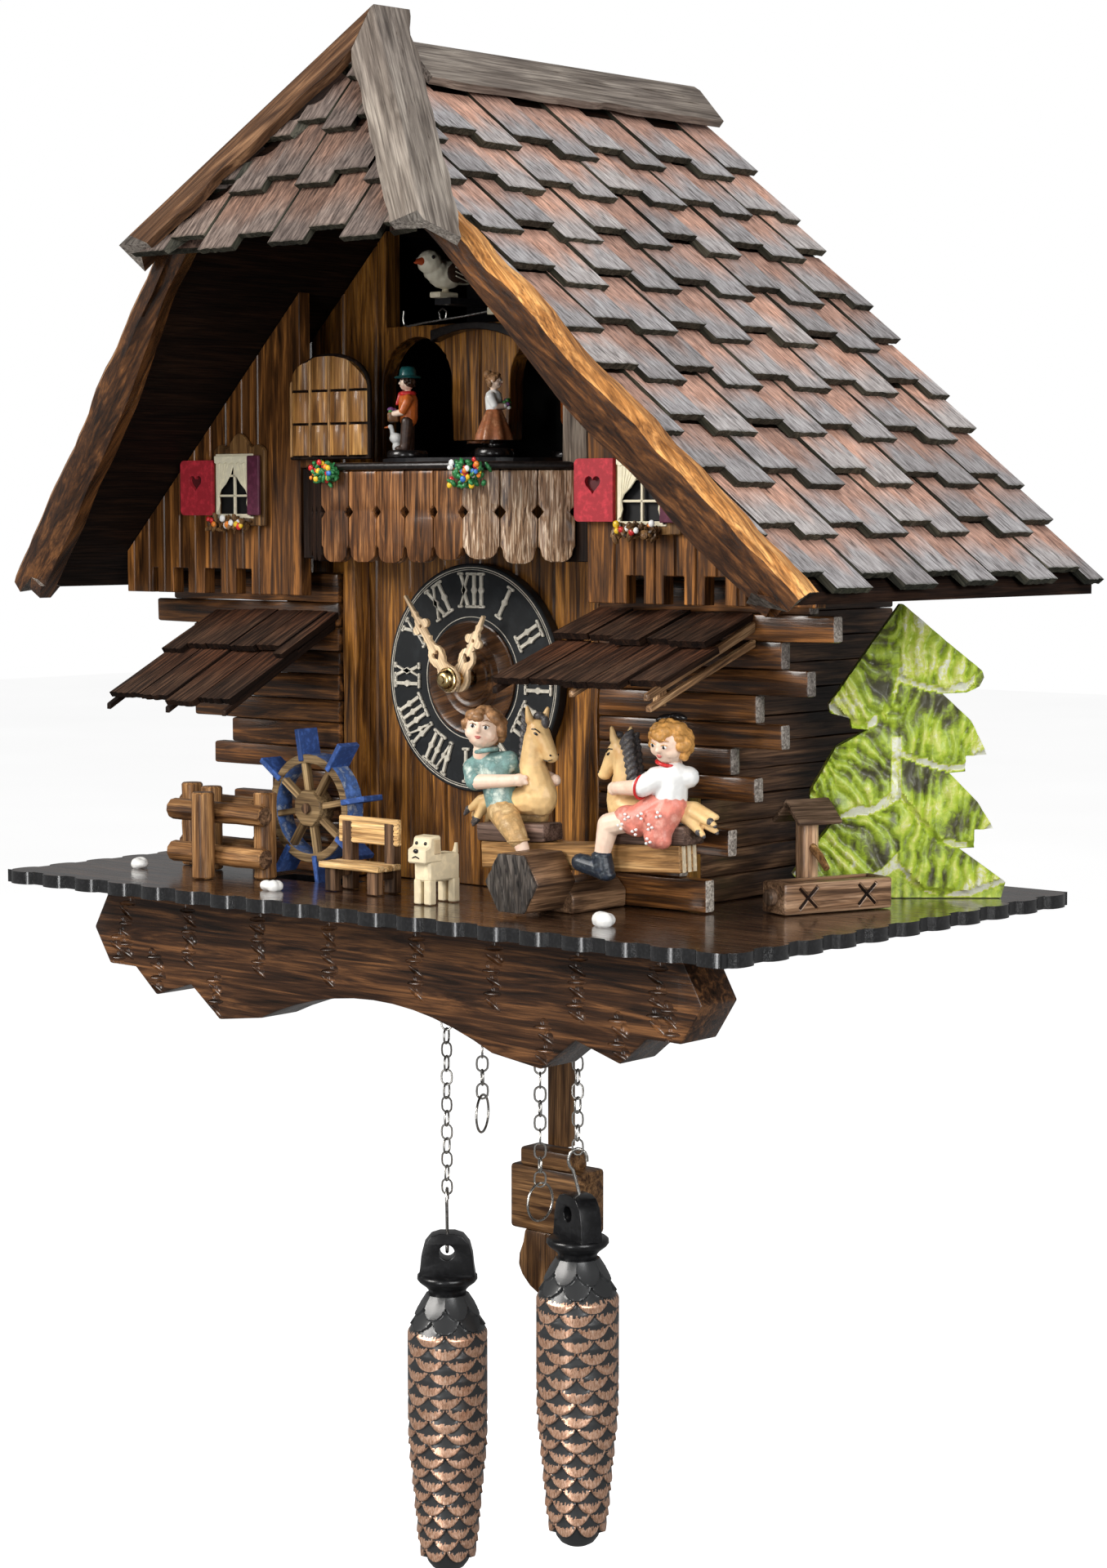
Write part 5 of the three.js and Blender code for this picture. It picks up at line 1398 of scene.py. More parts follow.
def balcony():
    batch = Batch(220)
    high, joint = 78, 63
    rng = random.Random(221)
    runs = (((-35.7, -181, 0), (35.7, -181, 0), 5), ((35.7, -181, 0), (67.7, -155.6, 0), 3),
            ((-67.7, -155.6, 0), (-35.7, -181, 0), 3))
    for run, (start, end, count) in enumerate(runs):
        matrix = side_matrix(start, end)
        width = (Vector(end) - Vector(start)).length / count
        for i in range(count):
            drop = rng.uniform(-1.6, 1.2)
            half = width / 2
            side = [(half - 0.15, high), (half - 0.15, joint + 2.4), (half - 2.2, joint),
                    (half - 0.15, joint - 2.4),
                    (half - 0.15, 50.5), (half - 0.9, 49.6), (half - 1.3, 47.5 + drop), (half - 2.6,
                                                                                         46 + drop),
                    (half - 4.6, 45.2 + drop)]
            left = [(-x, z) for x, z in reversed(side)]
            centre = width * (i + 0.5)
            board = prism([(x + centre, z) for x, z in side + left], "Y", 0, 3.6, bevel=0.45, segments=2)
            board = sliced(board, "Z", 4)
            for vert in board.verts:
                if vert.co.y < 1:
                    vert.co.y += noise.noise(Vector((vert.co.x * 0.5, vert.co.z * 0.05, i))) * 0.3
            # The left run (run 2) takes near-black wood: painted shade on the side turned from the light.
            batch.take(moved(board, matrix), mat=run, tint=rng.uniform(0.3, 0.85))
    batch.make("balcony_planks", ["balcony", "balcony_streaked", "painted_shade"], "clock",
               replaces=("balcony_boards",))

    rail = Batch(222)
    outer = [(-68.4, -155.9), (-36.6, -182.6), (36.6, -182.6), (68.4, -155.9)]
    inner = [(63.4, -155.9), (34.9, -178.8), (-34.9, -178.8), (-63.4, -155.9)]
    rail.take(prism(outer + inner, "Z", 78.3, 81.2, bevel=1.25, segments=3), along=(1, 0, 0))
    for corner in (-36.4, 36.4):
        rail.take(ball((corner, -181, 79.8), (2.3, 2.3, 1.9)))
    rail.make("balcony_handrail", ["black_rail"], "clock", replaces=("balcony_rail",))


FLOWER_SKINS = ["leaf", "yellow", "red", "white", "blue", "orange"]


def posy(batch, centre, spread, blooms, seed, colours=(1, 2, 3, 4), bloom=1.35, leaves=26, hang=0.0):
    """A small bunch of daubed flowers over leaves."""
    rng = random.Random(seed)
    centre = Vector(centre)
    for i in range(leaves):
        place = centre + Vector((rng.uniform(-1, 1) * spread[0], rng.uniform(-1, 1) * spread[1],
                                 rng.uniform(-1, 0.7) * spread[2]))
        place.z -= hang * (rng.random() ** 2)
        batch.take(ball(place, (rng.uniform(1.2, 2.6), 0.9, rng.uniform(0.7, 1.2)),
                        (rng.uniform(-1, 1), rng.uniform(-1.4, 1.4), rng.uniform(-1, 1)), 1),
                   mat=0)
    for i in range(blooms):
        place = centre + Vector((rng.uniform(-1, 1) * spread[0], -spread[1] * rng.uniform(0.4, 1.25),
                                 rng.uniform(-0.8, 1.0) * spread[2]))
        place.z -= hang * rng.random() ** 2
        size = bloom * rng.uniform(0.7, 1.15)
        batch.take(ball(place, (size, size * 0.6, size), divisions=2), mat=colours[i % len(colours)])


def flowers():
    for side, name in reversed(SIDES):
        batch = Batch(230 + side)
        centre, spread = ((40, -182, 78.4), (7, 3, 4.4)) if side > 0 else ((-31.5, -183.4, 79),
                                                                           (6, 2.4, 3.2))
        posy(batch, centre, spread, 34 if side > 0 else 22, 231 + side, (1, 2, 3, 4, 1, 2, 5), 1.15, 60, 3)
        batch.make(f"rail_flowers_{name}", FLOWER_SKINS, "clock", smooth=60)


def drape(x0, x1, low, high, flip):
    """One curtain, tied back to its side; x0 is the window's edge."""
    width = x1 - x0
    falls = ((1.0, 0), (0.96, 0.14), (0.8, 0.32), (0.52, 0.48), (0.26, 0.58), (0.14, 0.68), (0.2, 0.82),
             (0.12, 0.94))
    inner = [(x0 + width * out, high - (high - low) * down) for out, down in falls]
    points = [(x0, low), (x0, high)] + inner
    return points if not flip else [(x0 + x1 - a, b) for a, b in points]


def window(side, name):
    left, right, low, high = (87.4, 117, 58, 83.4) if side > 0 else (-118.5, -90, 60.5, 86)
    shutter = (69.8, 87.8, 59.5, 82) if side > 0 else (-136.4, -118.2, 61.6, 83.4)
    top = high + 1
    wall = GABLE_FRONT
    batch = Batch(240 + side)
    crest = [(left, low - 3), (right, low - 3), (right, top)]
    for lobe, (a, b) in enumerate(((right, right - 8), (right - 8, left + 8), (left + 8, left))):
        rise = 5.6 if lobe == 1 else 2.6
        crest += [(a + (b - a) * t, top + rise * math.sin(math.pi * t) + (1.4 if lobe == 1 else 0)) for t in
                  (0.1, 0.3, 0.5, 0.7, 0.9)]
    crest += [(left, top)]
    pane = [(left + 2.6, low + 1), (right - 7, low + 1), (right - 7, high - 1.4), (left + 2.6, high - 1.4)]
    batch.take(prism(crest, "Y", wall - 2, wall, holes=(pane,), bevel=0.4), tint=0.5)
    # A near-black plate behind the pane: painted shade for the dark room inside.
    batch.take(block(pane[0][0] - 1, pane[1][0] + 1, wall - 0.4, wall + 0.1, low, high, 0), mat=1)
    x0, x1, z0, z1 = pane[0][0], pane[1][0], pane[0][1], pane[2][1]
    centre = (x0 + x1) / 2
    frame_bars = [
        (x0 - 1.1, x0 + 0.5, z0 - 0.6, z1 + 0.6), (x1 - 0.5, x1 + 1.1, z0 - 0.6, z1 + 0.6),
        (x0 - 1.1, x1 + 1.1, z0 - 1.1, z0 + 0.7), (x0 - 1.1, x1 + 1.1, z1 - 0.5, z1 + 1.2),
        (centre - 0.55, centre + 0.55, z0, z1), (x0, x1, z0 + (z1 - z0) * 0.32,
                                                 z0 + (z1 - z0) * 0.32 + 0.9),
        (x0, x1, z0 + (z1 - z0) * 0.66, z0 + (z1 - z0) * 0.66 + 0.9),
    ]
    for a, b, c, d in frame_bars:
        batch.take(block(a, b, wall - 2.5, wall - 1.4, c, d, 0.2), mat=2)
    for flip, (a, b) in ((False, (x0, centre + 0.6)), (True, (centre - 0.6, x1))):
        cloth = prism(drape(a, b, z0 + 1, z1, flip), "Y", wall - 3.3, wall - 2.6, bevel=0.2)
        cloth_front = wall - 3.3
        cuts = []
        for i in range(4):
            x = a + (b - a) * (0.22 + 0.2 * i)
            foot = a + (b - a) * (0.12 if not flip else 0.88)
            cuts.append(tube([(x, cloth_front, z1 + 0.5), ((x + foot) / 2, cloth_front, (z0 + z1) / 2 + 3),
                              (foot, cloth_front, z0 + 4)],
                             0.22, 5))
        batch.take(carve(cloth, joined(cuts), overlapping=True), mat=3)
    pelmet = [(x0 - 0.8, z1 + 0.4), (x1 + 0.8, z1 + 0.4)]
    pelmet += [(x1 + 0.8 - (x1 - x0 + 1.6) * i / 12, z1 - 2.2 - (0.8 if i % 2 else 0)) for i in range(13)]
    batch.take(prism(pelmet, "Y", wall - 3.6, wall - 2.8, bevel=0.15), mat=3)
    s0, s1, sz0, sz1 = shutter
    plate = circle(s0 + 2, sz0 + 2, 2, 4, math.pi, 1.5 * math.pi) + [(s1, sz0), (s1, sz1)]
    plate += circle(s0 + 2, sz1 - 2, 2, 4, 0.5 * math.pi, math.pi)
    hole = heart((s0 + s1) / 2 - 0.4, sz0 + (sz1 - sz0) * 0.6, 7.2)
    batch.take(prism(plate, "Y", wall - 3.6, wall - 1.8, holes=(hole,), bevel=0.3), mat=4, tint=0.5)
    batch.take(block(s0 + 1, s1 - 1, wall - 1.9, wall - 1.4, sz0 + 1, sz1 - 1, 0), mat=5)
    half_open = prism([(0, low + 1.2), (7.4, low + 1.2), (7.4, high - 1), (0, high - 1)], "Y", 0, 1.3,
                      bevel=0.3)
    swing = Matrix.Translation((right - 8.2, wall - 3.7, 0)) @ Matrix.Rotation(math.radians(-6), 4, "Z")
    batch.take(moved(half_open, swing), mat=6, tint=0.4)
    posy(batch, (left + 11, wall - 4.8, low - 0.6), (10, 1.6, 2.2), 12, 250 + side, (9, 8, 9, 10, 8, 11),
         1.4, 70, 2.5)
    skins = ["crest", "painted_shade_black", "cream", "curtain", "shutter_red", "heart_dark", "shutter_purple",
             "leaf", "white",
             "red", "orange", "yellow"]
    batch.make(f"window_set_{name}", skins, "clock", replaces=(f"window_{name}",))


def arch_shutter():
    x0, x1, z0, spring, rise = -75, -32, 83, 109, 14.5
    centre, half = (x0 + x1) / 2, (x1 - x0) / 2

    def arch(inset):
        outline = [(x0 + inset, z0 + inset), (x1 - inset, z0 + inset)]
        steps = 14
        for i in range(steps + 1):
            a = math.pi * i / steps
            outline.append((centre + (half - inset) * math.cos(a),
                            spring + (rise - inset) * math.sin(a) ** 0.9))
        return outline

    batch = Batch(260)
    # The arched frame behind the sticks is in near-black wood: painted shade round the shutter's border.
    batch.take(prism(arch(0), "Y", -158.2, -156.4, bevel=0.4), mat=1, tint=0.3)
    rng = random.Random(261)
    inset = 1.1
    column = (x1 - x0 - 2 * inset) / 4
    rows = [z0 + inset, 96.6, 109.2, spring + rise + 1]

    def trimmed(solid):
        return carve(solid, prism(arch(inset), "Y", -163, -150, bevel=0), "INTERSECT")

    for i in range(4):
        left = x0 + inset + column * i
        for low, high in zip(rows, rows[1:]):
            face = [(left + 0.15, -158.0)]
            face += [(left + 0.15 + (column - 0.3) * t,
                      -158.2 - 2.2 * math.sin(math.pi * t) ** 0.8) for t in
                     (0, 0.12, 0.3, 0.5, 0.7, 0.88, 1)]
            face += [(left + column - 0.15, -158.0)]
            stick = prism(face, "Z", low + 0.5, high - 0.5, bevel=0.7, segments=2)
            batch.take(trimmed(stick), tint=rng.uniform(0.2, 0.9))
    # Each column joint gets a rib of lighter golden wood: a real rib, with its lighter colour a painted
    # highlight along the joints.
    for i in range(4):
        x = x0 + inset + column * i
        rib = block(x - 0.1, x + 0.9, -159.3, -157, z0 + inset, spring + rise, 0.3)
        batch.take(trimmed(rib), mat=2, tint=0.7)
    batch.make("arch_shutter_wood", ["golden", "painted_shade", "plank_golden"], "clock",
               replaces=("arch_shutter",))


# ---- figures -------------------------------------------------------------------------------------
def limb(a, b, ra, rb):
    """A tapered rod with round ends."""
    return joined([tube([a, b], ra, 12, [ra, rb]), ball(a, (ra,) * 3), ball(b, (rb,) * 3)])


def facing(place, direction, tilt=0.0):
    """A frame whose -Y axis looks along the direction."""
    ahead = Vector(direction).normalized()
    back = -ahead
    side = back.cross(Vector((0, 0, 1))).normalized()
    up = side.cross(back).normalized()
    matrix = Matrix((side, back, up)).transposed().to_4x4() @ Matrix.Rotation(tilt, 4, "Y")
    matrix.translation = Vector(place)
    return matrix


def head(batch, matrix, r, skins, curls, seed, hat=False):
    """A calm, plain doll's face with curls; skins are material indices."""
    skin, hair, dark, lips, white = skins
    parts = [
        ball((0, 0, 0), (r * 0.86, r * 0.9, r * 0.98), divisions=3),
        ball((0, -r * 0.28, -r * 0.42), (r * 0.58, r * 0.56, r * 0.5)),
        ball((-r * 0.4, -r * 0.42, -r * 0.24), (r * 0.4, r * 0.36, r * 0.36)),
        ball((r * 0.4, -r * 0.42, -r * 0.24), (r * 0.4, r * 0.36, r * 0.36)),
        ball((0, -r * 0.93, -r * 0.08), (r * 0.13, r * 0.14, r * 0.13)),
        ball((0, -r * 0.88, 0.04 * r), (r * 0.1, r * 0.1, r * 0.24)),
        ball((-r * 0.86, 0.06 * r, -r * 0.06), (r * 0.14, r * 0.2, r * 0.24)),
        ball((r * 0.86, 0.06 * r, -r * 0.06), (r * 0.14, r * 0.2, r * 0.24)),
        limb((0, 0.08 * r, -r * 0.7), (0, 0.12 * r, -r * 1.25), r * 0.4, r * 0.42),
    ]
    batch.take(moved(organic(parts, r * 0.05, 3), matrix), mat=skin, tint=0.5)
    for side in (-1, 1):
        batch.take(moved(ball((side * r * 0.33, -r * 0.815, r * 0.12), (r * 0.15, r * 0.07, r * 0.11)),
                         matrix), mat=white)
        batch.take(moved(ball((side * r * 0.33, -r * 0.865, r * 0.11), (r * 0.075, r * 0.045, r * 0.095)),
                         matrix), mat=dark)
        lid = [(side * r * 0.17, -r * 0.86, r * 0.17), (side * r * 0.33, -r * 0.875, r * 0.245),
               (side * r * 0.5, -r * 0.78, r * 0.18)]
        batch.take(moved(tube(lid, r * 0.025, 6), matrix), mat=hair)
        brow = [(side * r * 0.16, -r * 0.86, r * 0.4), (side * r * 0.36, -r * 0.84, r * 0.47),
                (side * r * 0.56, -r * 0.7, r * 0.38)]
        batch.take(moved(tube(brow, r * 0.03, 6, [r * 0.02, r * 0.035, r * 0.015]), matrix), mat=hair)
    batch.take(moved(ball((0, -r * 0.865, -r * 0.37), (r * 0.17, r * 0.05, r * 0.045)), matrix), mat=lips)
    batch.take(moved(ball((0, -r * 0.85, -r * 0.43), (r * 0.12, r * 0.05, r * 0.05)), matrix), mat=lips)
    rng = random.Random(seed)
    locks = []
    hairline = -0.45 if hat else -0.62
    while len(locks) < curls:
        direction = Vector((rng.gauss(0, 1), rng.gauss(0, 1), rng.gauss(0, 1))).normalized()
        face = direction.y < -0.35 and direction.z < 0.52
        if face or direction.z < hairline or (direction.y < -0.1 and direction.z < -0.2):
            continue
        size = r * rng.uniform(0.2, 0.3)
        locks.append(ball(direction * r * 0.93, (size, size * 0.8, size),
                          (rng.random(), rng.random(), rng.random()), 2))
    cover = ball((0, 0.12 * r, 0.1 * r), (r * 0.93, r * 0.88, r * 0.95), divisions=3)
    batch.take(moved(organic(locks + [cover], r * 0.055, 2), matrix), mat=hair, tint=0.6)


FIGURE_SKINS = [
    "skin", "hair_brown", "eye_dark", "lips", "white", "teal", "shorts", "hair_orange", "coral", "boot",
    "red", "hair_dark", "black_base", "orange_cloth", "hat_teal", "basket", "purple", "skirt_brown", "green",
]
(SKIN, HAIR, EYE, LIPS, WHITE, TEAL, SHORTS, ORANGE_HAIR, CORAL, BOOT,
 RED, DARK_HAIR, BASE, JACKET, HAT, BASKET, PURPLE, SKIRT, GREEN) = range(len(FIGURE_SKINS))


def boy():
    batch = Batch(300)
    head(batch, facing((37.6, -171.6, -15.6), (0.42, -0.9, 0.05), 0.12), 7.6,
         (SKIN, HAIR, EYE, LIPS, WHITE), 95, 301)
    shirt = [limb((44, -168.5, -43), (40.5, -169, -30), 6.2, 6.0),
             limb((34.8, -171, -29), (46, -167, -27.5), 4.4, 4.2),
             limb((33.6, -173, -30), (36.6, -175.6, -34.6), 3.9, 3.5), limb((46, -165, -28),
                                                                            (52, -160, -31), 3.6, 3.2),
             ball((45, -169, -44), (6.6, 6, 4))]
    batch.take(organic(shirt, 0.45, 4), mat=TEAL, tint=0.5)
    arms = [limb((37.2, -175.8, -34.8), (52.6, -172.2, -33.6), 2.9, 2.3),
            ball((54.4, -171.6, -33.4), (2.9, 2.2, 2.5)),
            ball((56.6, -170.9, -32.4), (1.5, 1.1, 1.1)), ball((56.8, -170.9, -34.2), (1.6, 1.1, 1.1)),
            limb((52, -159.6, -31.4), (60, -160.2, -33.4), 2.7, 2.3), ball((62, -160.6, -33.8),
                                                                           (2.7, 2.2, 2.4))]
    batch.take(organic(arms, 0.4, 3), mat=SKIN, tint=0.5)
    collar = hoop((38.4, -171, -23.6), (4.1, 0, 0.8), (0, 3.6, 0), 24)
    batch.take(closed_tube(collar, 0.9, 8), mat=TEAL, tint=0.9)
    shorts = [limb((44.6, -169.5, -45), (53.6, -174.5, -50.4), 5.8, 4.6),
              limb((53.6, -174.5, -50.4), (56.8, -175, -54), 4.6, 3.9),
              limb((45, -164, -45), (54, -159.5, -47.4), 4.6, 3.6), ball((43.5, -167.5, -45.4),
                                                                         (6, 6, 3.2))]
    batch.take(organic(shorts, 0.45, 3), mat=SHORTS, tint=0.5)
    hem = hoop((57.1, -175, -54.9), (3.9, 0, 0.5), (0, 3.4, 0), 20)
    batch.take(closed_tube(hem, 0.5, 6), mat=SHORTS, tint=0.1)
    batch.take(organic([limb((57.4, -174.9, -54.6), (58.9, -174.4, -58.4), 2.9, 2.5)], 0.4, 2), mat=SKIN)
    batch.make("boy_figure", FIGURE_SKINS, "seesaw", replaces=("rider_boy",), smooth=70)


def girl():
    batch = Batch(310)
    head(batch, facing((123.6, -171.4, -16.4), (-0.05, -1, -0.3), 0.12), 7.4,
         (SKIN, ORANGE_HAIR, EYE, LIPS, WHITE), 95, 311)
    blouse = [limb((121.5, -168.5, -36), (123, -169, -28), 6.2, 5.6),
              limb((118.6, -172.6, -29), (127.5, -166, -28.6), 4.2, 4),
              limb((119, -173.4, -29.4), (114.6, -175.4, -32), 4.0, 3.9), limb((122, -164.4, -29),
                      (114, -161.4, -32), 3.6, 3.2)]
    batch.take(organic(blouse, 0.45, 4), mat=WHITE, tint=0.5)
    arms = [limb((113.6, -175.6, -32.4), (101.4, -173, -33.4), 3.0, 2.4),
            ball((99.4, -172.4, -33.8), (2.6, 2.1, 2.6)),
            limb((113.4, -161.2, -32.4), (102.6, -160.4, -34), 2.7, 2.3), ball((100.6, -160.8, -34.4),
                                                                               (2.5, 2.1, 2.4))]
    batch.take(organic(arms, 0.4, 3), mat=SKIN, tint=0.5)
    for place, spread in (((114.2, -175.5, -32.2), 4.05), ((113.6, -161.3, -32.2), 3.35)):
        cuff = hoop(place, (0, spread * 0.94, 0), (0.5, 0, spread), 24)
        batch.take(closed_tube(cuff, 0.5, 8), mat=RED)
    collar = hoop((121.6, -170.4, -23.9), (3.6, 0, -0.9), (0, 3.4, 0), 24)
    batch.take(closed_tube(collar, 0.75, 8), mat=RED)
    skirt = [limb((121, -168.5, -38), (111, -173, -44.5), 6.4, 5.8),
             limb((122, -169, -38.5), (119.4, -173.4, -49), 6.2, 4.8),
             limb((119, -172, -44), (122.4, -173.6, -50.4), 6, 3.2), limb((120.4, -165, -38.5),
                                                                          (111, -161, -43), 5.2, 4.6),
             limb((111, -173, -44.5), (106.4, -174, -43.8), 5.8, 4.9)]
    batch.take(organic(skirt, 0.45, 3), mat=CORAL, tint=0.5)
    for i, (x, y, z) in enumerate(((110, -178.6, -42.6), (116, -178.3, -42), (120, -178, -45.6),
                                   (114, -178.9, -47.6),
                                   (119.4, -178.3, -50.6), (107.4, -178.6, -46), (122.6, -176.6, -41.4))):
        for k in range(3):
            spot = Vector((x + 1.0 * math.cos(k * 2.1 + i), y, z + 1.0 * math.sin(k * 2.1 + i)))
            batch.take(ball(spot, (0.55, 0.7, 0.55)), mat=WHITE)
    leg = [limb((106.6, -174.6, -44.6), (99.6, -175.4, -46.2), 4.3, 4.1),
           limb((99.6, -175.4, -46.2), (96.8, -175.6, -56.6), 4.1, 2.9)]
    batch.take(organic(leg, 0.4, 3), mat=SKIN, tint=0.5)
    boot = [limb((96.8, -175.6, -57.8), (97.6, -175.6, -62.2), 3.5, 3.9),
            limb((97.6, -175.6, -62.4), (87.2, -176.2, -60.4), 3.7, 3.3),
            ball((98.4, -175.6, -64), (4, 3.4, 2.4)), ball((96.6, -175.6, -57.2), (4, 3.8, 1.5))]
    batch.take(organic(boot, 0.4, 3), mat=BOOT, tint=0.5)
    bow = [ball((120.6, -170.6, -8.2), (3.6, 1.8, 1.5), (0, -0.25, 0.4)),
           ball((125.6, -169.2, -7.6), (3.4, 1.8, 1.4), (0, 0.2, 0.4))]
    batch.take(organic(bow, 0.35, 1), mat=EYE)
    batch.make("girl_figure", FIGURE_SKINS, "seesaw", replaces=("rider_girl",), smooth=70)


def strands(root, ends, thick, thin):
    """A carved tail or forelock: bent strands that grow out of one root."""
    root = Vector(root)
    parts = []
    for end in ends:
        end = Vector(end)
        bend = (root + end) / 2 + Vector((0, 0, 1.6))
        parts += [limb(root, bend, thick, thick * 0.9), limb(bend, end, thick * 0.9, thin)]
    return parts


def horses():
    skins = ["horse_tan", "mane_grey", "eye_dark"]
    left = Batch(320)
    y = -165
    body = [
        limb((42, y, -43), (58, y, -40.4), 4.4, 6.0), ball((59.8, y, -39.4), (6.0, 5.6, 7.6)),
        limb((58.6, y, -37), (55.2, y, -29), 5.9, 4.9), limb((55.2, y, -29), (56.4, y, -18), 4.9, 4.0),
        ball((57.6, y, -15.6), (4.5, 3.9, 4.5)),
        limb((58.8, y, -16.8), (63.4, y, -23.6), 3.9, 2.8), ball((64.2, y, -25), (2.8, 2.6, 2.2)),
        limb((57.2, y, -19.6), (61, y, -24.6), 2.8, 1.9),
        limb((56.0, y - 2.4, -12), (55.4, y - 3.1, -7.4), 1.7, 0.8), limb((59.0, y + 2, -12),
                                                                          (60.2, y + 2.7, -7.8), 1.7, 0.8),
    ]
    left.take(organic(body, 0.45, 2), mat=0, tint=0.5)
    mane = [ball((58.4, y, -10.4), (2.4, 1.8, 1.6)), ball((61.4, y, -12.6), (1.6, 1.7, 2.6))]
    for i in range(17):
        t = i / 16
        mane.append(ball((53.4 - 1.4 * t, y + (1.3 if i % 2 else -1.3), -10.6 - 19 * t), (2.9, 1.9, 1.15),
                         (0, 0.75, 0)))
    left.take(organic(mane, 0.33, 1), mat=1)
    tail_ends = [(24.6, y - 1.6, -47), (26.4, y + 0.4, -50.2), (29.4, y - 2.4, -50.6),
                 (31.8, y + 1.6, -50.8), (24.8, y + 2, -48.6)]
    left.take(organic(strands((37, y, -41.2), tail_ends, 2.2, 1.0), 0.38, 1), mat=0, tint=0.4)
    for end in tail_ends[:3]:
        left.take(limb(Vector(end) + Vector((0.9, 0, 0.9)), Vector(end) - Vector((0.9, 0, 1.1)), 1.35, 0.6),
                  mat=1)
    for side in (-1, 1):
        left.take(ball((59.8, y + side * 3.5, -16.6), (1.1, 0.5, 0.5), (0, 0.5, 0)), mat=2)
        left.take(tube([(58, y + side * 3.7, -15), (59.8, y + side * 3.8, -14.8),
                        (61.6, y + side * 3.2, -16.2)], 0.24, 6), mat=2)
        left.take(ball((65.6, y + side * 2.1, -24.2), (0.5, 0.35, 0.4)), mat=2)
    left.take(tube([(62.4, y - 2.3, -26), (64.4, y - 2.5, -26.3), (66.2, y - 1.7, -25.8)], 0.16, 6), mat=2)
    left.make("horse_figure_left", skins, "seesaw", replaces=("horse_left",), smooth=70)

    right = Batch(330)
    body = [
        limb((118, y, -43), (99, y, -41), 4.6, 6), ball((97.4, y, -38.6), (6.4, 5.4, 8.6)),
        limb((98.2, y, -36), (99, y, -30), 5.6, 4.7), limb((99, y, -30), (98.4, y, -22), 4.7, 4.1),
        ball((96.4, y, -20.6), (4.4, 3.8, 4.4)),
        limb((95, y, -21.6), (90.2, y, -28.4), 3.9, 2.6), ball((89.2, y, -29.8), (2.7, 2.5, 2.1)),
        limb((95.2, y - 2.2, -17.2), (94.6, y - 2.8, -12.8), 1.6, 0.7), limb((98, y + 2, -17.2),
                (98.8, y + 2.8, -13), 1.6, 0.7),
    ]
    right.take(organic(body, 0.45, 2), mat=0, tint=0.6)
    mane = [ball((95.6, y, -15.4), (2, 1.8, 1.4))]
    for i in range(15):
        t = i / 14
        mane.append(ball((100.4 + 2.6 * t, y + (1.6 if i % 2 else -1.6), -16.2 - 16 * t), (4.3, 2.3, 1.3),
                         (0, -0.85, 0)))
    right.take(organic(mane, 0.36, 1), mat=1)
    tail_ends = [(139, y - 1.4, -44.4), (137.6, y + 1.6, -47), (134.6, y - 2, -48.2), (138.6, y + 0.6, -42),
                 (131.4, y + 1, -48.4)]
    right.take(organic(strands((120, y, -40.4), tail_ends, 3.0, 1.1), 0.4, 1), mat=0, tint=0.5)
    for end in tail_ends[:3]:
        right.take(limb(Vector(end) - Vector((1.6, 0, -0.9)), Vector(end) + Vector((0.6, 0, -0.6)), 1.45,
                        0.7), mat=1)
    for side in (-1, 1):
        right.take(ball((93.8, y + side * 3.4, -22), (1.1, 0.5, 0.5), (0, -0.6, 0)), mat=2)
        right.take(tube([(95.6, y + side * 3.6, -20.4), (93.8, y + side * 3.7, -20.2),
                         (92.2, y + side * 3.1, -21.6)], 0.24, 6), mat=2)
        right.take(ball((87.8, y + side * 1.9, -29), (0.5, 0.35, 0.4)), mat=2)
    right.make("horse_figure_right", skins, "seesaw", replaces=("horse_right",), smooth=70)


TABLE_Y = -126
DANCER_R = 31.1


def on_turntable(angle, heading):
    """A dancer's frame, with both angles in degrees."""
    angle, heading = math.radians(angle), math.radians(heading)
    foot = Vector((DANCER_R * math.cos(angle), TABLE_Y + DANCER_R * math.sin(angle), 83.3))
    return facing(foot, (math.cos(heading), math.sin(heading), 0))


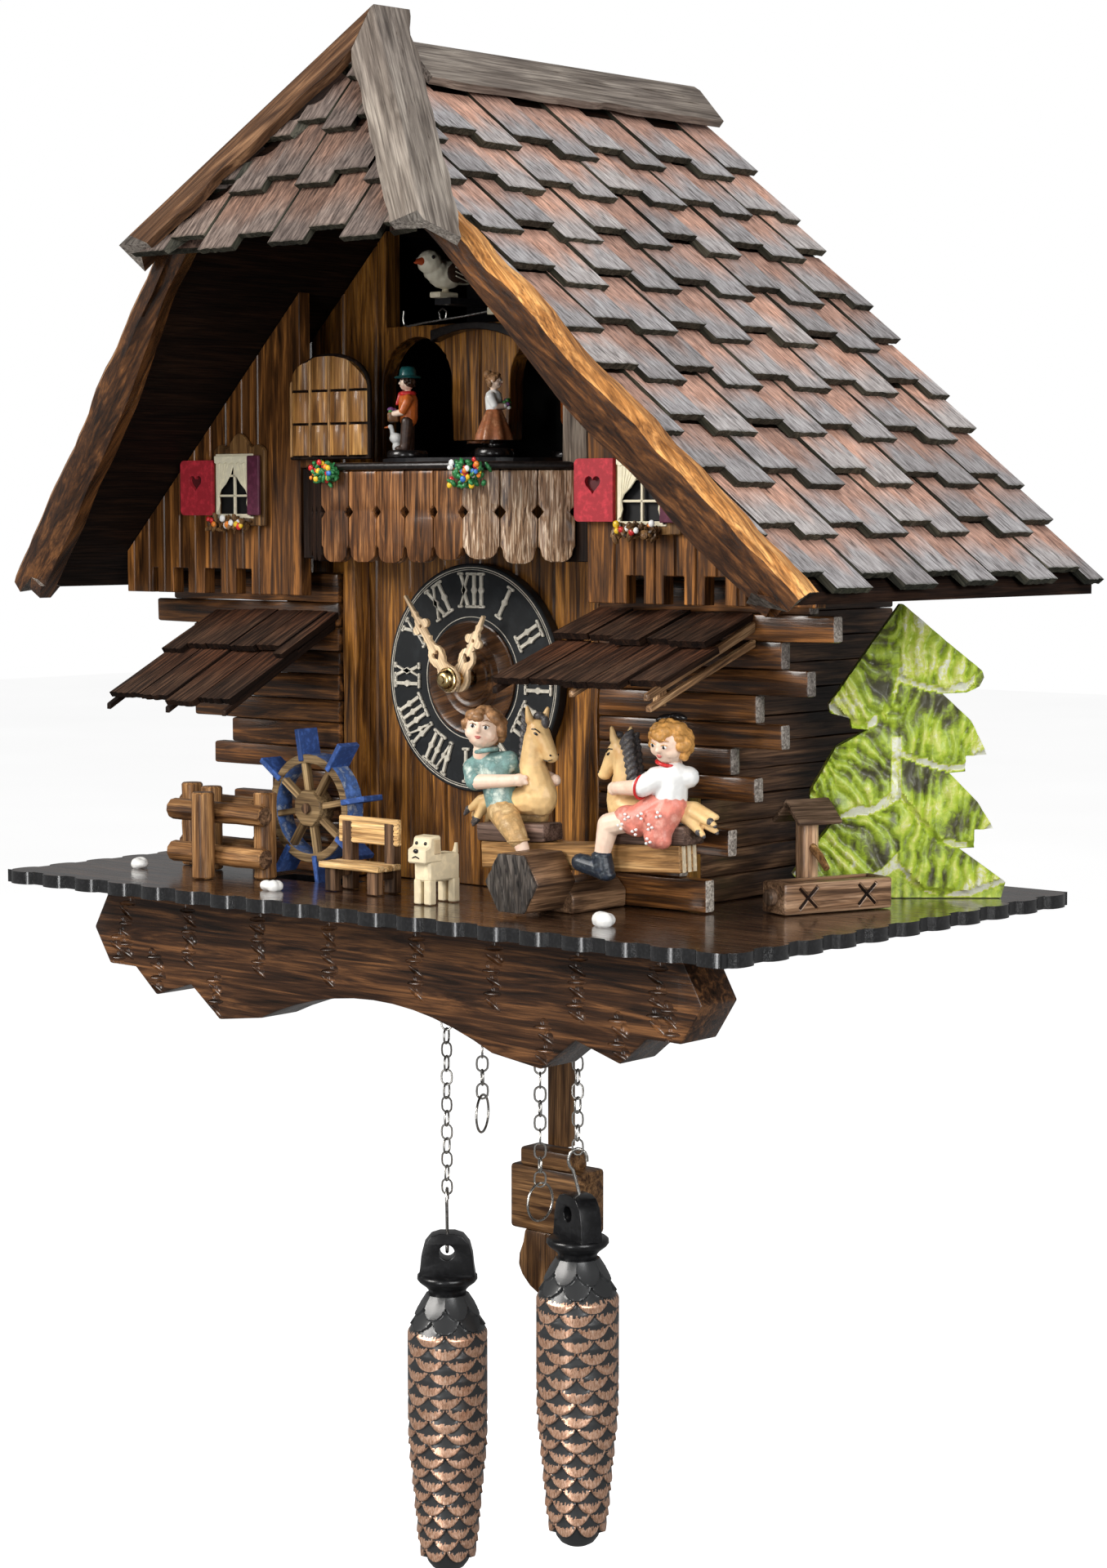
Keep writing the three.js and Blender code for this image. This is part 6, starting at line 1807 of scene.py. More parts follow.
def dancer_man(name, node, matrix):
    batch = Batch(340)
    batch.take(moved(lathe([(0.2, 0), (7.6, 0), (7.9, 0.6), (7.7, 2.4), (7, 3), (0.2, 3)]), matrix),
               mat=BASE)
    legs = [limb((-1.9, 0.6, 3.8), (-1.7, 0.4, 14), 2.0, 2.4),
            limb((1.9, -0.8, 3.8), (1.7, 0, 14), 2.0, 2.4),
            ball((-1.9, -0.6, 3.6), (1.9, 2.9, 1.3)), ball((1.9, -2, 3.6),
                    (1.9, 2.9, 1.3)), ball((0, 0.3, 14.4), (3.9, 3, 2.6))]
    batch.take(moved(organic(legs, 0.32, 2), matrix), mat=DARK_HAIR, tint=0.6)
    coat = [limb((0, 0.4, 15), (0, 0.3, 21.6), 3.6, 3.8), limb((-3.6, 0.4, 22), (3.6, 0.4, 22), 2.1, 2.1),
            limb((-4.4, 0.2, 21.4), (-4.6, -1.6, 17.6), 1.8, 1.6), limb((4.4, 0.2, 21.4), (4.6, -1.6, 17.6),
                                                                        1.8, 1.6)]
    batch.take(moved(organic(coat, 0.32, 2), matrix), mat=JACKET, tint=0.5)
    hands = [limb((-4.6, -1.8, 17.2), (-3, -5, 16.6), 1.3, 1.1),
             limb((4.6, -1.8, 17.2), (3, -5, 16.6), 1.3, 1.1)]
    for part in hands:
        batch.take(moved(part, matrix), mat=SKIN)
    batch.take(moved(prism([(-3.4, 13.6), (3.4, 13.6), (3.8, 17.2), (-3.8, 17.2)], "Y", -7.4, -3.2,
                           bevel=0.6, segments=2), matrix),
               mat=BASKET, along=(1, 0, 0))
    rng = random.Random(341)
    for i in range(9):
        spot = (rng.uniform(-2.8, 2.8), rng.uniform(-6.8, -3.8), 17.4 + rng.random())
        batch.take(moved(ball(spot, (1, 1, 0.9)), matrix), mat=PURPLE if i % 3 else GREEN)
    scarf = hoop((0, 0.1, 24.3), (2.5, 0, 0), (0, 2.4, 0), 20)
    batch.take(moved(closed_tube(scarf, 0.95, 8), matrix), mat=RED)
    batch.take(moved(organic([limb((0, -2.4, 24), (0.6, -3.9, 20.4), 1.2, 0.6),
                              limb((0, -2.4, 24), (-1, -3.8, 21), 1.1, 0.6)], 0.3, 1),
                     matrix), mat=RED)
    head(batch, matrix @ Matrix.Translation((0, -0.1, 28.4)), 3.1, (SKIN, DARK_HAIR, EYE, LIPS, WHITE), 40,
         342, hat=True)
    brim = [(0.2, 30.3), (4.9, 30.0), (5.2, 30.5), (4.6, 30.9), (3.3, 31.1), (3.1, 33.2), (2.4, 34.4),
            (0.2, 34.6)]
    batch.take(moved(lathe(brim, (0, 0.2, 0), sides=28), matrix), mat=HAT)
    goose = [ball((-3.6, -4.6, 7.6), (2.1, 2.6, 2.2)), limb((-3.6, -5.8, 8.4), (-3.2, -6.2, 11.6), 1.0,
                                                            0.8),
             ball((-3.1, -6.6, 12), (1.0, 1.2, 0.95)), ball((-3.6, -4.2, 4.4), (1.6, 1.9, 2.4))]
    batch.take(moved(organic(goose, 0.3, 1), matrix), mat=WHITE)
    batch.take(moved(limb((-3.1, -7.4, 11.9), (-3.0, -8.8, 11.6), 0.5, 0.2), matrix), mat=JACKET)
    batch.make(name, FIGURE_SKINS, "carousel", replaces=(node,), smooth=70)


def dancer_woman(name, node, matrix):
    batch = Batch(350)
    batch.take(moved(lathe([(0.2, 0), (7.2, 0), (7.5, 0.6), (7.3, 2.6), (6.6, 3.2), (0.2, 3.2)]), matrix),
               mat=BASE)
    shoes = [ball((-1.9, -0.8, 4.4), (1.7, 2.7, 1.3)), ball((1.9, 0.4, 4.4), (1.7, 2.7, 1.3)),
             limb((-1.8, 0, 5), (-1.6, 0, 8), 1.4, 1.4),
             limb((1.8, 0.6, 5), (1.6, 0.4, 8), 1.4, 1.4)]
    batch.take(moved(organic(shoes, 0.32, 1), matrix), mat=BASE)
    bm = bmesh.new()
    rings = []
    for z, r, fold in ((6.2, 7.2, 0.7), (8, 7.0, 0.6), (11, 5.8, 0.45), (14, 4.5, 0.3), (16.6, 3.4, 0.1),
                       (17.4, 3.1, 0)):
        ring = []
        for a in turns(40):
            radius = r + fold * math.sin(a * 7)
            ring.append(bm.verts.new((radius * math.cos(a), radius * math.sin(a) * 0.92, z)))
        rings.append(ring)
    batch.take(moved(closed_solid(bm, rings), matrix), mat=SKIRT, tint=0.5)
    blouse = [limb((0, 0.2, 17.6), (0, 0.2, 21.8), 3.0, 3.3),
              limb((-3.1, 0.3, 22), (3.1, 0.3, 22), 1.9, 1.9),
              limb((-3.9, 0.2, 21.6), (-4.2, -1.4, 18.8), 1.8, 1.5), limb((3.9, 0.2, 21.6),
                                                                          (4.2, -1.4, 18.8), 1.8, 1.5)]
    batch.take(moved(organic(blouse, 0.32, 2), matrix), mat=WHITE, tint=0.5)
    for side in (-1, 1):
        batch.take(moved(limb((side * 4.2, -1.8, 18.4), (side * 1.2, -4.2, 18.8), 1.15, 1.0), matrix),
                   mat=SKIN)
    rng = random.Random(351)
    for i in range(16):
        spot = (rng.uniform(-1.8, 1.8), -4.6 + rng.uniform(-1.2, 1.0), 19.6 + rng.uniform(-1.6, 1.4))
        batch.take(moved(ball(spot, (0.85, 0.85, 0.8)), matrix), mat=(PURPLE, GREEN, WHITE, GREEN)[i % 4])
    head(batch, matrix @ Matrix.Translation((0, -0.1, 27.8)), 3.1, (SKIN, HAIR, EYE, LIPS, WHITE), 42, 352)
    batch.take(moved(ball((0, 2.4, 30.4), (1.9, 1.7, 1.6)), matrix), mat=HAIR)
    batch.make(name, FIGURE_SKINS, "carousel", replaces=(node,), smooth=70)


def dancers():
    dancer_man("man_figure_1", "dancer_man_1", on_turntable(-135, -140))
    dancer_man("man_figure_2", "dancer_man_2", on_turntable(45, 40))
    dancer_woman("woman_figure_1", "dancer_woman_1", on_turntable(-45, 25))
    dancer_woman("woman_figure_2", "dancer_woman_2", on_turntable(135, 205))


def bird():
    batch = Batch(360)
    body = [ball((0, -150.6, 151), (5.6, 8.6, 5.7)), ball((0, -159.2, 155), (4.7, 4.9, 4.7)),
            ball((0, -156, 152.4), (4.7, 5, 4.8)),
            limb((0, -146, 150.6), (0, -138.4, 149.4), 3.4, 1.7)]
    batch.take(organic(body, 0.4, 4), mat=0)
    for side in (-1, 1):
        wing = [ball((side * 4.9, -149.4, 151.6), (1.4, 5.6, 4.0), (0.15, 0, 0)),
                ball((side * 4.3, -144.4, 150.2), (1.1, 4.6, 2.4), (0.2, 0, 0))]
        batch.take(organic(wing, 0.35, 2), mat=1)
        for i in range(3):
            batch.take(tube([(side * 6.3, -151.6, 153.4 - 1.6 * i), (side * 6.2, -148.4, 152.4 - 1.5 * i),
                             (side * 5.2, -144, 151.2 - 1.3 * i)],
                            0.26, 6), mat=0)
        batch.take(ball((side * 4.0, -161.4, 156.6), (0.6, 0.75, 0.75)), mat=2)
    batch.take(tube([(0, -163.2, 155.1), (0, -165.6, 154.9), (0, -167.3, 154.3)], 1.2, 10, [1.6, 1.0, 0.3]),
               mat=3)
    batch.make("bird_figure", ["bird_cream", "wing_brown", "eye_dark", "beak_red"], "cuckoo",
               replaces=("bird",), smooth=70)
    perch = Batch(361)
    perch.take(block(-2.6, 2.6, -156.6, -146, 142.3, 144.4, 0.4))
    perch.take(lathe([(0.2, 144.2), (1.4, 144.2), (1.2, 146.2), (0.2, 146.2)], (0, -150.5, 0), sides=16))
    perch.make("perch_block", ["cream"], "bird_slider")
    wire = Batch(362)
    path = [(-31, -140, 139.4), (-31.4, -140, 136.4), (-31, -140, 134.2), (-29, -140, 133.6),
            (-20, -140, 134.6), (0, -140, 136.2),
            (13, -140, 137.6)]
    wire.take(tube(path, 0.45, 8))
    wire.take(tube([(-12, -140, 135.2), (-13, -140, 138.4), (-11, -140, 139.6), (-9, -140, 138.2),
                    (-9.4, -140, 136)], 0.4, 8))
    wire.take(block(12.5, 17.5, -141.5, -138.5, 136.2, 139, 0.3), mat=1)
    wire.take(block(19, 23, -141.5, -138.5, 136.6, 138.6, 0.3), mat=1)
    wire.make("bird_linkage", ["steel", "cream"], "clock")


# ---- yard ----------------------------------------------------------------------------------------
def log_piece(a, b, radius, seed, sides=12):
    """A slightly uneven round stick with flat, chamfered ends."""
    a, b = Vector(a), Vector(b)
    steps = max(3, int((b - a).length / 5))
    rng = random.Random(seed)
    points = [a + (b - a) * (i / steps) for i in range(steps + 1)]
    radii = [radius * rng.uniform(0.95, 1.02) for _ in points]
    chamfer = (b - a).normalized() * 0.7
    points = [a, a + chamfer] + points[1:-1] + [b - chamfer, b]
    radii = [radius * 0.87, radius] + radii[1:-1] + [radius, radius * 0.87]
    bm = tube(points, radius, sides, radii)
    axis = (b - a).normalized()
    for face in bm.faces:
        if abs(face.normal.dot(axis)) > 0.9:
            face.material_index = 1
    return bm


def fence():
    batch = Batch(400)
    skins = ["rustic_orange", "rustic_dark"]
    posts = [(-98.5, -184), (-79.8, -168.6)]
    for i, (x, y) in enumerate(posts):
        batch.take(log_piece((x, y, FOOT), (x, y, -46), 4.5, 401 + i), tint=0.6)
    for i, z in enumerate((-54.5, -71.3)):
        batch.take(log_piece((-124, -176.4, z), (-71.5, -176.4, z), 4.2, 405 + i, 10), along=(1, 0, 0),
                   tint=0.45 + 0.2 * i)
    batch.make("fence_front", skins, "clock", replaces=("fence",))
    back = Batch(410)
    back.take(log_piece((-119, -160, FOOT), (-119, -160, -46.5), 4.3, 411), tint=0.5)
    back.take(log_piece((-138, -153, FOOT), (-138, -153, -46.5), 4.3, 412), tint=0.5)
    for i, z in enumerate((-54.5, -71.3)):
        back.take(log_piece((-144, -151.5, z), (-101, -151.5, z), 4.0, 413 + i, 10), along=(1, 0, 0))
    back.make("fence_rear", skins, "clock")


def bench():
    batch = Batch(420)
    for x in (-32.5, -10.5):
        batch.take(block(x - 2.6, x + 2.6, -181, -177, FOOT, -70.9, 0.4), mat=1)
        batch.take(block(x - 2.6, x + 2.6, -171.5, -167.2, FOOT, -53.5, 0.4), mat=1)
        batch.take(block(x - 2.4, x + 2.4, -180, -168, -74.4, -71.6, 0.4), mat=1)
    for i in range(3):
        y = -182.5 + i * 4.5
        batch.take(block(-37, -6, y, y + 4.1, -71, -68.7, 0.35), along=(1, 0, 0))
    grooves = [tube([(-40, -171.7, z), (-3, -171.7, z)], 0.55, 6) for z in (-60.2, -58.3, -56.4, -54.5)]
    back = carve(block(-37, -6, -171.4, -168.9, -62, -52, 0.5), joined(grooves))
    batch.take(back, along=(1, 0, 0), tint=0.7)
    batch.make("bench_wood", ["bench_wood", "rustic_dark"], "clock", replaces=("bench",))


def dog():
    batch = Batch(430)
    batch.take(block(17.6, 25.6, -188, -171.4, -71.6, -61.6, 0.8), tint=0.6)
    for x in (17.5, 22.5):
        batch.take(block(x, x + 3.2, -188, -184.4, FOOT, -70.8, 0.4), tint=0.5)
        batch.take(block(x, x + 3.2, -175, -171.6, FOOT, -70.8, 0.4), tint=0.5)
    batch.take(prism([(-191, -64.6), (-191, -59.4), (-188.4, -58.4), (-187.6, -55), (-182, -54.6),
                      (-181.6, -64.4)], "X", 17.2, 26, bevel=0.6),
               tint=0.7)
    for x in (16.9, 25.1):
        batch.take(block(x, x + 1.3, -186, -182.6, -61.4, -56, 0.3), mat=1)
    for x in (19.4, 23.8):
        batch.take(ball((x, -188.2, -57.4), (0.75, 0.5, 0.75)), mat=2)
    batch.take(ball((21.6, -191, -60), (1.3, 0.6, 0.9)), mat=2)
    batch.take(tube([(19.9, -191.1, -62.6), (21.6, -191.2, -61.9), (23.3, -191.1, -62.6)], 0.25, 6), mat=2)
    batch.take(tube([(21.6, -171.6, -64), (21.6, -169.4, -61.6), (21.6, -169.2, -58.6)], 1.1, 8,
                    [1.3, 1.1, 0.6]))
    batch.make("dog_figure", ["dog_cream", "dog_ear", "eye_dark"], "clock", replaces=("dog",))


def mill_wheel():
    hx, hy, hz = -64, -156, -52
    batch = Batch(440)
    batch.take(prism(circle(hx, hz, 21.2, 32), "Y", hy - 4.6, hy + 4.6, holes=(circle(hx, hz, 17.8, 32),),
                     bevel=0.3, side_mat=1),
               along=(1, 0, 0))
    batch.take(prism(circle(hx, hz, 7.6, 8, 0.39, 0.39 + math.tau), "Y", hy - 5.2, hy + 3, bevel=0.5),
               along=(1, 0, 0), tint=0.3)
    batch.take(lathe([(0.2, hy - 6.4), (1.9, hy - 6.4), (2.1, hy - 6), (2.1, -140.2), (0.2, -140.2)],
                     (hx, 0, hz), "Y", 16), mat=2)
    for i in range(8):
        angle = math.tau * i / 8 + 0.18
        turn = Matrix.Translation((hx, 0, hz)) @ Matrix.Rotation(-angle, 4, "Y")
        direction = (math.cos(angle), 0, math.sin(angle))
        batch.take(moved(block(6.5, 18.2, hy - 4, hy - 0.8, -1.25, 1.25, 0.25), turn), along=direction,
                   tint=0.6)
        batch.take(moved(block(18.6, 31.2, hy - 5.4, hy + 5.4, -1.1, 1.1, 0.25), turn), along=direction,
                   mat=3)
    batch.make("mill_wheel_wood", ["mill_tan", "mill_patched", "rustic_dark", "mill_blue"], "mill",
               replaces=("mill_wheel",))


SEESAW_PIVOT = Vector((69, -165, -60))
SEESAW_TILT = math.radians(3)


def tilted(bm):
    turn = Matrix.Translation(SEESAW_PIVOT) @ Matrix.Rotation(-SEESAW_TILT, 4,
                                                              "Y") @ Matrix.Translation(-SEESAW_PIVOT)
    return moved(bm, turn)


def seesaw():
    trestle = Batch(450)
    hexagon = [(x, max(z, FOOT)) for x, z in circle(69, -68, 12, 6)]
    trestle.take(prism(hexagon, "Y", -191.6, -171, bevel=0.5), along=(0, 1, 0), tint=0.5)
    end = prism(hexagon, "Y", -193.2, -191.7, bevel=0.6, segments=2)
    cuts = []
    for i in range(5):
        centre = 69 - 8.6 + i * 4.3
        cuts.append(tube([(centre - 3.6, -193.7, -55), (centre + 0.4, -193.4, -68),
                          (centre + 3.6, -193.7, -81)], 1.25, 8))
    trestle.take(carve(end, joined(cuts)), mat=1, tint=0.5)
    low = prism([(58, FOOT), (80, FOOT), (80.4, -73.6), (76.4, -69.4), (61.6, -69.4), (57.6, -73.6)], "Y",
                -172, -141.6, bevel=0.6)
    trestle.take(roughen(sliced(low, "Y", 5), 0.3, 0.1, 3), along=(0, 1, 0), tint=0.3)
    trestle.take(lathe([(0.2, -172), (1.6, -172), (1.6, -157), (0.2, -157)], (69, 0, -60), "Y", 14), mat=1)
    trestle.make("seesaw_trestle", ["rustic_dark", "log_end"], "clock", replaces=("seesaw_log",))

    plank = Batch(460)
    core = block(34.6, 127, -170, -159.8, -65, -55.4, 0.4)
    slot = lathe([(0.1, -176), (2.2, -176), (2.2, -150), (0.1, -150)], (69, 0, -60), "Y", 20)
    plank.take(carve(tilted(core), slot), along=(1, 0, 0.05), tint=0.6)
    for i in range(3):
        y = -168.6 + i * 3
        plank.take(tilted(block(127, 127.5, y, y + 1.5, -64.8, -55.6, 0)), mat=2)
    for x0, x1 in ((33, 65.6), (91, 130)):
        seat = block(x0, x1, -170.6, -159.4, -55.3, -48.6, 0.9, 2)
        plank.take(tilted(roughen(sliced(seat, "X", 5), 0.25, 0.12, x0)), along=(1, 0, 0), mat=1, tint=0.5)
    plank.make("seesaw_board", ["plank_golden", "saddle_brown", "ply_cream"], "seesaw",
               replaces=("seesaw_plank",))


def well():
    batch = Batch(470)
    matrix = Matrix.Translation((142.5, -103.5, FOOT)) @ Matrix.Rotation(math.radians(70), 4, "Z")
    trough = block(-23.5, 23.5, -7.3, 7.3, 0, 11.4, 1.1, 2)
    hollow = block(-20, 20, -4.4, 4.4, 5.4, 14, 0.5)
    trough = carve(trough, hollow)
    strokes = [(x, lean) for x in (-13, 12.5) for lean in (-1, 1)]
    cuts = [tube([(x - 4 * lean, -7.7, 1.8), (x, -7.4, 5.8), (x + 4 * lean, -7.7, 9.8)], 1.1, 6) for x,
            lean in strokes]
    batch.take(moved(carve(trough, joined(cuts), overlapping=True), matrix), along=(0.34, 0.94, 0),
               tint=0.5)
    batch.take(moved(lathe([(0.2, -26.4), (2.2, -26.4), (3.0, -25.6), (3.0, -23.4), (0.2, -23.4)],
                           (0, 0, 6), "X", 18), matrix), mat=1, tint=0.3)
    batch.take(moved(log_piece((-1, 11.8, 0), (-1, 11.8, 34.4), 4.3, 471), matrix), mat=0, tint=0.8)
    for side in (-1, 1):
        roof = prism([(11.8, 39.6), (11.8 + side * 9.2, 31.6), (11.8 + side * 8, 30.2), (11.8, 37.2)], "X",
                     -10.5, 8.5, bevel=0.4)
        batch.take(moved(roof, matrix), mat=1, along=(0.34, 0.94, 0), tint=0.7)
    batch.take(moved(tube([(-1, 9.4, 22.6), (-1, 3.4, 19), (-1, -1, 15)], 1.5, 8, [1.7, 1.5, 1.2]), matrix),
               mat=2, along=(0, 0, 1))
    # Thin rods of near-black wood lie in the carved X grooves: painted shade in the grooves.
    for x, lean in strokes:
        line = tube([(x - 3.6 * lean, -6.95, 2.2), (x, -6.7, 5.8), (x + 3.6 * lean, -6.95, 9.4)], 0.5, 6)
        batch.take(moved(line, matrix), mat=3)
    batch.make("well_wood", ["well_wood", "well_dark", "rustic_orange", "painted_shade"], "clock",
               replaces=("well",))


# the tree's tiers, each with its own lower edge as (distance from the trunk, height)
TREE_RIGHT = (((0.5, 80), (8, 77.5), (16, 76), (24, 77), (30, 84)),
              ((0, 52.5), (9, 49), (18, 46.8), (24, 47.9), (32, 53.4)),
              ((0, 37), (8, 27), (14, 20.5), (21, 18.7), (27.5, 19), (34.7, 26)), ((0, 11), (5, 4.5),
                      (12, 1), (26, 0.4), (39.6, 5.6)))
TREE_LEFT = (((0.5, 80), (3, 71), (7, 65.5), (12, 62.6), (18.3, 64), (26, 70)),
             ((0, 37), (5, 33.5), (12, 31), (24, 29), (34, 40)), ((0, 11), (8, 6), (20, 3), (30, 4),
                                                                  (39.6, 8.8)))
# the tree's outline as (height, distance from the trunk)
TREE_OUT_RIGHT = ((0, 38), (5.6, 39.6), (6, 39.4), (18.6, 22), (18.8, 27.6), (25.6, 27.6), (26, 34.7),
                  (36, 28.6), (46.6, 18.2),
                  (47.2, 24), (53, 24), (53.4, 32), (66, 26), (76, 15.4), (76.4, 24),
                  (78.6, 29), (82, 30.8), (84.4, 30), (95, 17), (109, 0.6))
TREE_OUT_LEFT = ((0, 22), (3, 34), (8.8, 39.6), (29, 24.2), (29.4, 30), (38, 33.4), (41, 32.6), (56, 24),
                 (62.6, 12), (63.2, 18),
                 (66.8, 18.6), (68.8, 26), (72, 26.6), (109, 0.6))


def along_curve(points, x):
    """Linear reading of a curve at x."""
    for (x0, z0), (x1, z1) in zip(points, points[1:]):
        if x <= x1:
            return z0 + (z1 - z0) * max(0, x - x0) / (x1 - x0)
    return points[-1][1]


def tree_relief(x, level):
    """How far the carving stands out and how light it is painted, at x from the trunk and a height."""
    for tier, curve in enumerate(TREE_RIGHT if x >= 0 else TREE_LEFT):
        edge = along_curve(curve, abs(x))
        if level >= edge:
            break
    above = level - edge
    patch = noise.noise(Vector((x * 0.075, level * 0.075, 3)))
    fine = noise.noise(Vector((x * 0.55, level * 0.16, 9)))
    if above < 0:
        return 0.2 + fine * 0.3, 0.5 + fine * 0.3
    curl = noise.noise(Vector((x * 0.12, level * 0.1, 5))) * 3.2
    arc = math.hypot(abs(x) - 38, (above + 6) * (1.0 if x < 0 else 0.45)) + curl
    gouge = abs(math.sin(arc * 0.62 + tier * 1.7))
    bevel_width = 2.6 + 1.5 * noise.noise(Vector((x * 0.16, tier * 5.0,
                                                  2))) + (4.2 * math.exp(x / 7) if x < 0 else 0)
    swell = 1.5 * max(0, 1 - above / 30)
    height = swell + gouge * 1.7 + patch * 0.6 + fine * 0.35
    # Painted light and shade: each tier is lighter towards its lower edge and darker up under the tier
    # above.
    painted_tier_light = 0.2 * math.exp(-above / 9)
    tone = min(0.78, 0.25 + gouge * 0.25 + patch * 0.6 + fine * 0.3 + painted_tier_light)
    bare = noise.noise(Vector((x * 0.1, level * 0.03 + tier * 3.0, 6))) > -0.12
    seam = -3.6 < x < 0.4 and 37 < level < 60
    if above < bevel_width and not seam:
        height = swell * above / bevel_width + 0.2
    if (above < bevel_width and bare) or seam:
        tone = 0.92 + fine * 0.12
        height -= 0.5 if seam else 0
    return height, min(1, max(0, tone))


def tree():
    """A flat carved fir: each tier swells towards its lower edge, with gouged branches."""
    top = TREE_OUT_RIGHT[-1][0]
    reach, columns, rows = 42, 112, 138
    places = [reach * (2 * i / columns - 1) for i in range(columns + 1)]
    sections = []
    for j in range(rows + 1):
        level = (top + 1) * j / rows
        front = [Vector((x, -2.2 - tree_relief(x, level)[0], level)) for x in places]
        back = [Vector((x, 3.4, level)) for x in (reach, -reach)]
        sections.append(front + back)
    outline = [(x, level) for level, x in TREE_OUT_RIGHT] + [(-x, level) for level,
                                                             x in TREE_OUT_LEFT[::-1]]
    carved = carve(loft(sections), prism(outline, "Y", -9, 9, bevel=0), "INTERSECT")
    matrix = Matrix.Translation((141, -56, FOOT)) @ Matrix.Rotation(math.atan2(0.65, 0.76), 4, "Z")
    inverse = matrix.inverted()

    def paint(co):
        local = inverse @ co
        return tree_relief(local.x, local.z)[1]

    batch = Batch(480)
    batch.take(moved(carved, matrix), tint=0.5, height_of=paint)
    batch.make("tree_carving", ["tree_green"], "clock", replaces=("tree",), smooth=60)


def stones():
    for name, x, y, size in (("stone_left", -145, -176, 4.6), ("stone_middle", -52, -192, 4.4),
                             ("stone_right", 107, -188, 5.4)):
        rng = random.Random(int(size * 10))
        parts = [ball((x + rng.uniform(-2, 2), y + rng.uniform(-1.5, 1.5), FOOT + size * 0.35),
                      (size * rng.uniform(0.5, 0.8), size * rng.uniform(0.4, 0.7),
                       size * rng.uniform(0.35, 0.6))) for _ in range(6)]
        batch = Batch(490)
        batch.take(organic(parts, 0.4, 2))
        batch.make(name, ["white"], "clock", smooth=60)


# ---- works: pendulum, chains, weights ------------------------------------------------------------
def pendulum():
    rod_box = extent("pendulum_rod")
    rod = Batch(500)
    rod.take(block(rod_box.x0, rod_box.x1, rod_box.y0, rod_box.y1, rod_box.z0, rod_box.z1, 0.5, 2),
             tint=0.6)
    rod.make("pendulum_stick", ["pendulum_wood"], "pendulum", replaces=("pendulum_rod",))
    bob = Batch(510)
    bob.take(block(-13, 13, -94, -82.6, -196.6, -189, 1.4, 2), along=(1, 0, 0), tint=0.7)
    bob.take(block(-18, 18, -94.3, -78, -222.5, -196.3, 1.6, 2), along=(1, 0, 0), tint=0.5)
    leaf = [(0, -250), (4, -248.4), (9, -245.6), (13, -241.6), (15, -237.6), (14.6, -233), (12.6, -228),
            (11.5, -222.4)]
    leaf += [(-x, z) for x, z in reversed(leaf[1:])]
    body = prism(leaf, "Y", -93, -85, bevel=1.2, segments=2)
    vein = tube([(0, -93.1, -223), (0, -93.1, -236), (0, -93.1, -249)], 0.5, 6, [0.6, 0.6, 0.2])
    bob.take(carve(body, vein), tint=0.3)
    bob.make("pendulum_leaf", ["pendulum_wood"], "pendulum", replaces=("pendulum_bob",))


LINK_PITCH = 5.4
CHAIN_Y = -114


def link(centre, turn, half_height=3.05, half_width=2.2, wire=0.42):
    points = []
    for a in turns(16):
        u = half_width * math.cos(a)
        straight = (half_height - half_width) * (1 if math.sin(a) > 0 else -1) * (abs(math.sin(a)) > 0.05)
        w = straight + half_width * math.sin(a)
        points.append(Vector(centre) + Vector((u * math.cos(turn), u * math.sin(turn), w)))
    return closed_tube(points, wire, 6)


def chain(batch, x, top, bottom, start_turn):
    count = int((top - bottom) / LINK_PITCH)
    pitch = (top - bottom) / count
    for i in range(count):
        turn = start_turn + (math.pi / 2 if i % 2 else 0) + 0.12 * math.sin(i * 1.7)
        batch.take(link((x, CHAIN_Y, bottom + pitch * (i + 0.5)), turn), mat=0)


# a cone weight's outline as (height above its foot, radius)
CONE = ((0, 4.6), (1.2, 6.9), (3.6, 8.8), (8, 10), (12.9, 10.8), (32, 12.6), (51, 14.7), (79.7, 16),
        (89, 16), (96.8, 15.4), (105.4, 11.5), (114, 7.9))
SCALE_ROWS = 20
SCALE_PITCH = 4.95
SCALES_AROUND = 7
SCALE_TOP = 104.3           # the highest scale tip above the cone's foot
SCALE_DEPTH = 4.4           # how far a scale's sides rise above its tip
CONE_RADIUS = 16.0
CONE_X, PULL_X = 34, 15     # how far the weights and the pull rings hang from the middle
CHAIN_TOP = -20


def cone_surface(angle, level):
    """Radius and copper amount of a fir cone with overlapping round scales; the amount falls to nothing at
    each scale's edge, as painted shade along the groove.
    """
    base = along_curve(CONE, level)
    for row in range(SCALE_ROWS + 1):
        share = abs((angle / math.tau * SCALES_AROUND + (0.5 if row % 2 else 0)) % 1 * 2 - 1)
        rise = level - (SCALE_TOP - row * SCALE_PITCH + SCALE_DEPTH * share ** 2.3)
        if rise >= 0:
            break
    else:
        return base * 0.94, 0.0
    grow = max(0, 1 - rise / 9.5)
    lip = min(1, rise / 0.5)
    relief = (0.35 + 1.7 * grow) * (0.3 + 0.7 * lip) + 0.6 * (1 - share * share) * grow
    radius = base * 0.925 + relief * min(1, base / 9)
    if row == 0:
        radius = base + (radius - base) * grow
    teeth = noise.noise(Vector((angle * 30, level * 0.25, row))) + 0.7 * noise.noise(Vector((angle * 11, 3,
                                                                                             row)))
    above_tip = rise + SCALE_DEPTH * share ** 2.3
    copper_height = 3.9 + 1.4 * teeth + 0.9 * share * share
    # The copper amount is cut back to nothing right at each scale's lower edge, which leaves a black line of
    # painted shade along the groove.
    copper_and_edge_shade = lip if above_tip < copper_height and row >= 2 else 0.0
    return min(radius, CONE_RADIUS), copper_and_edge_shade


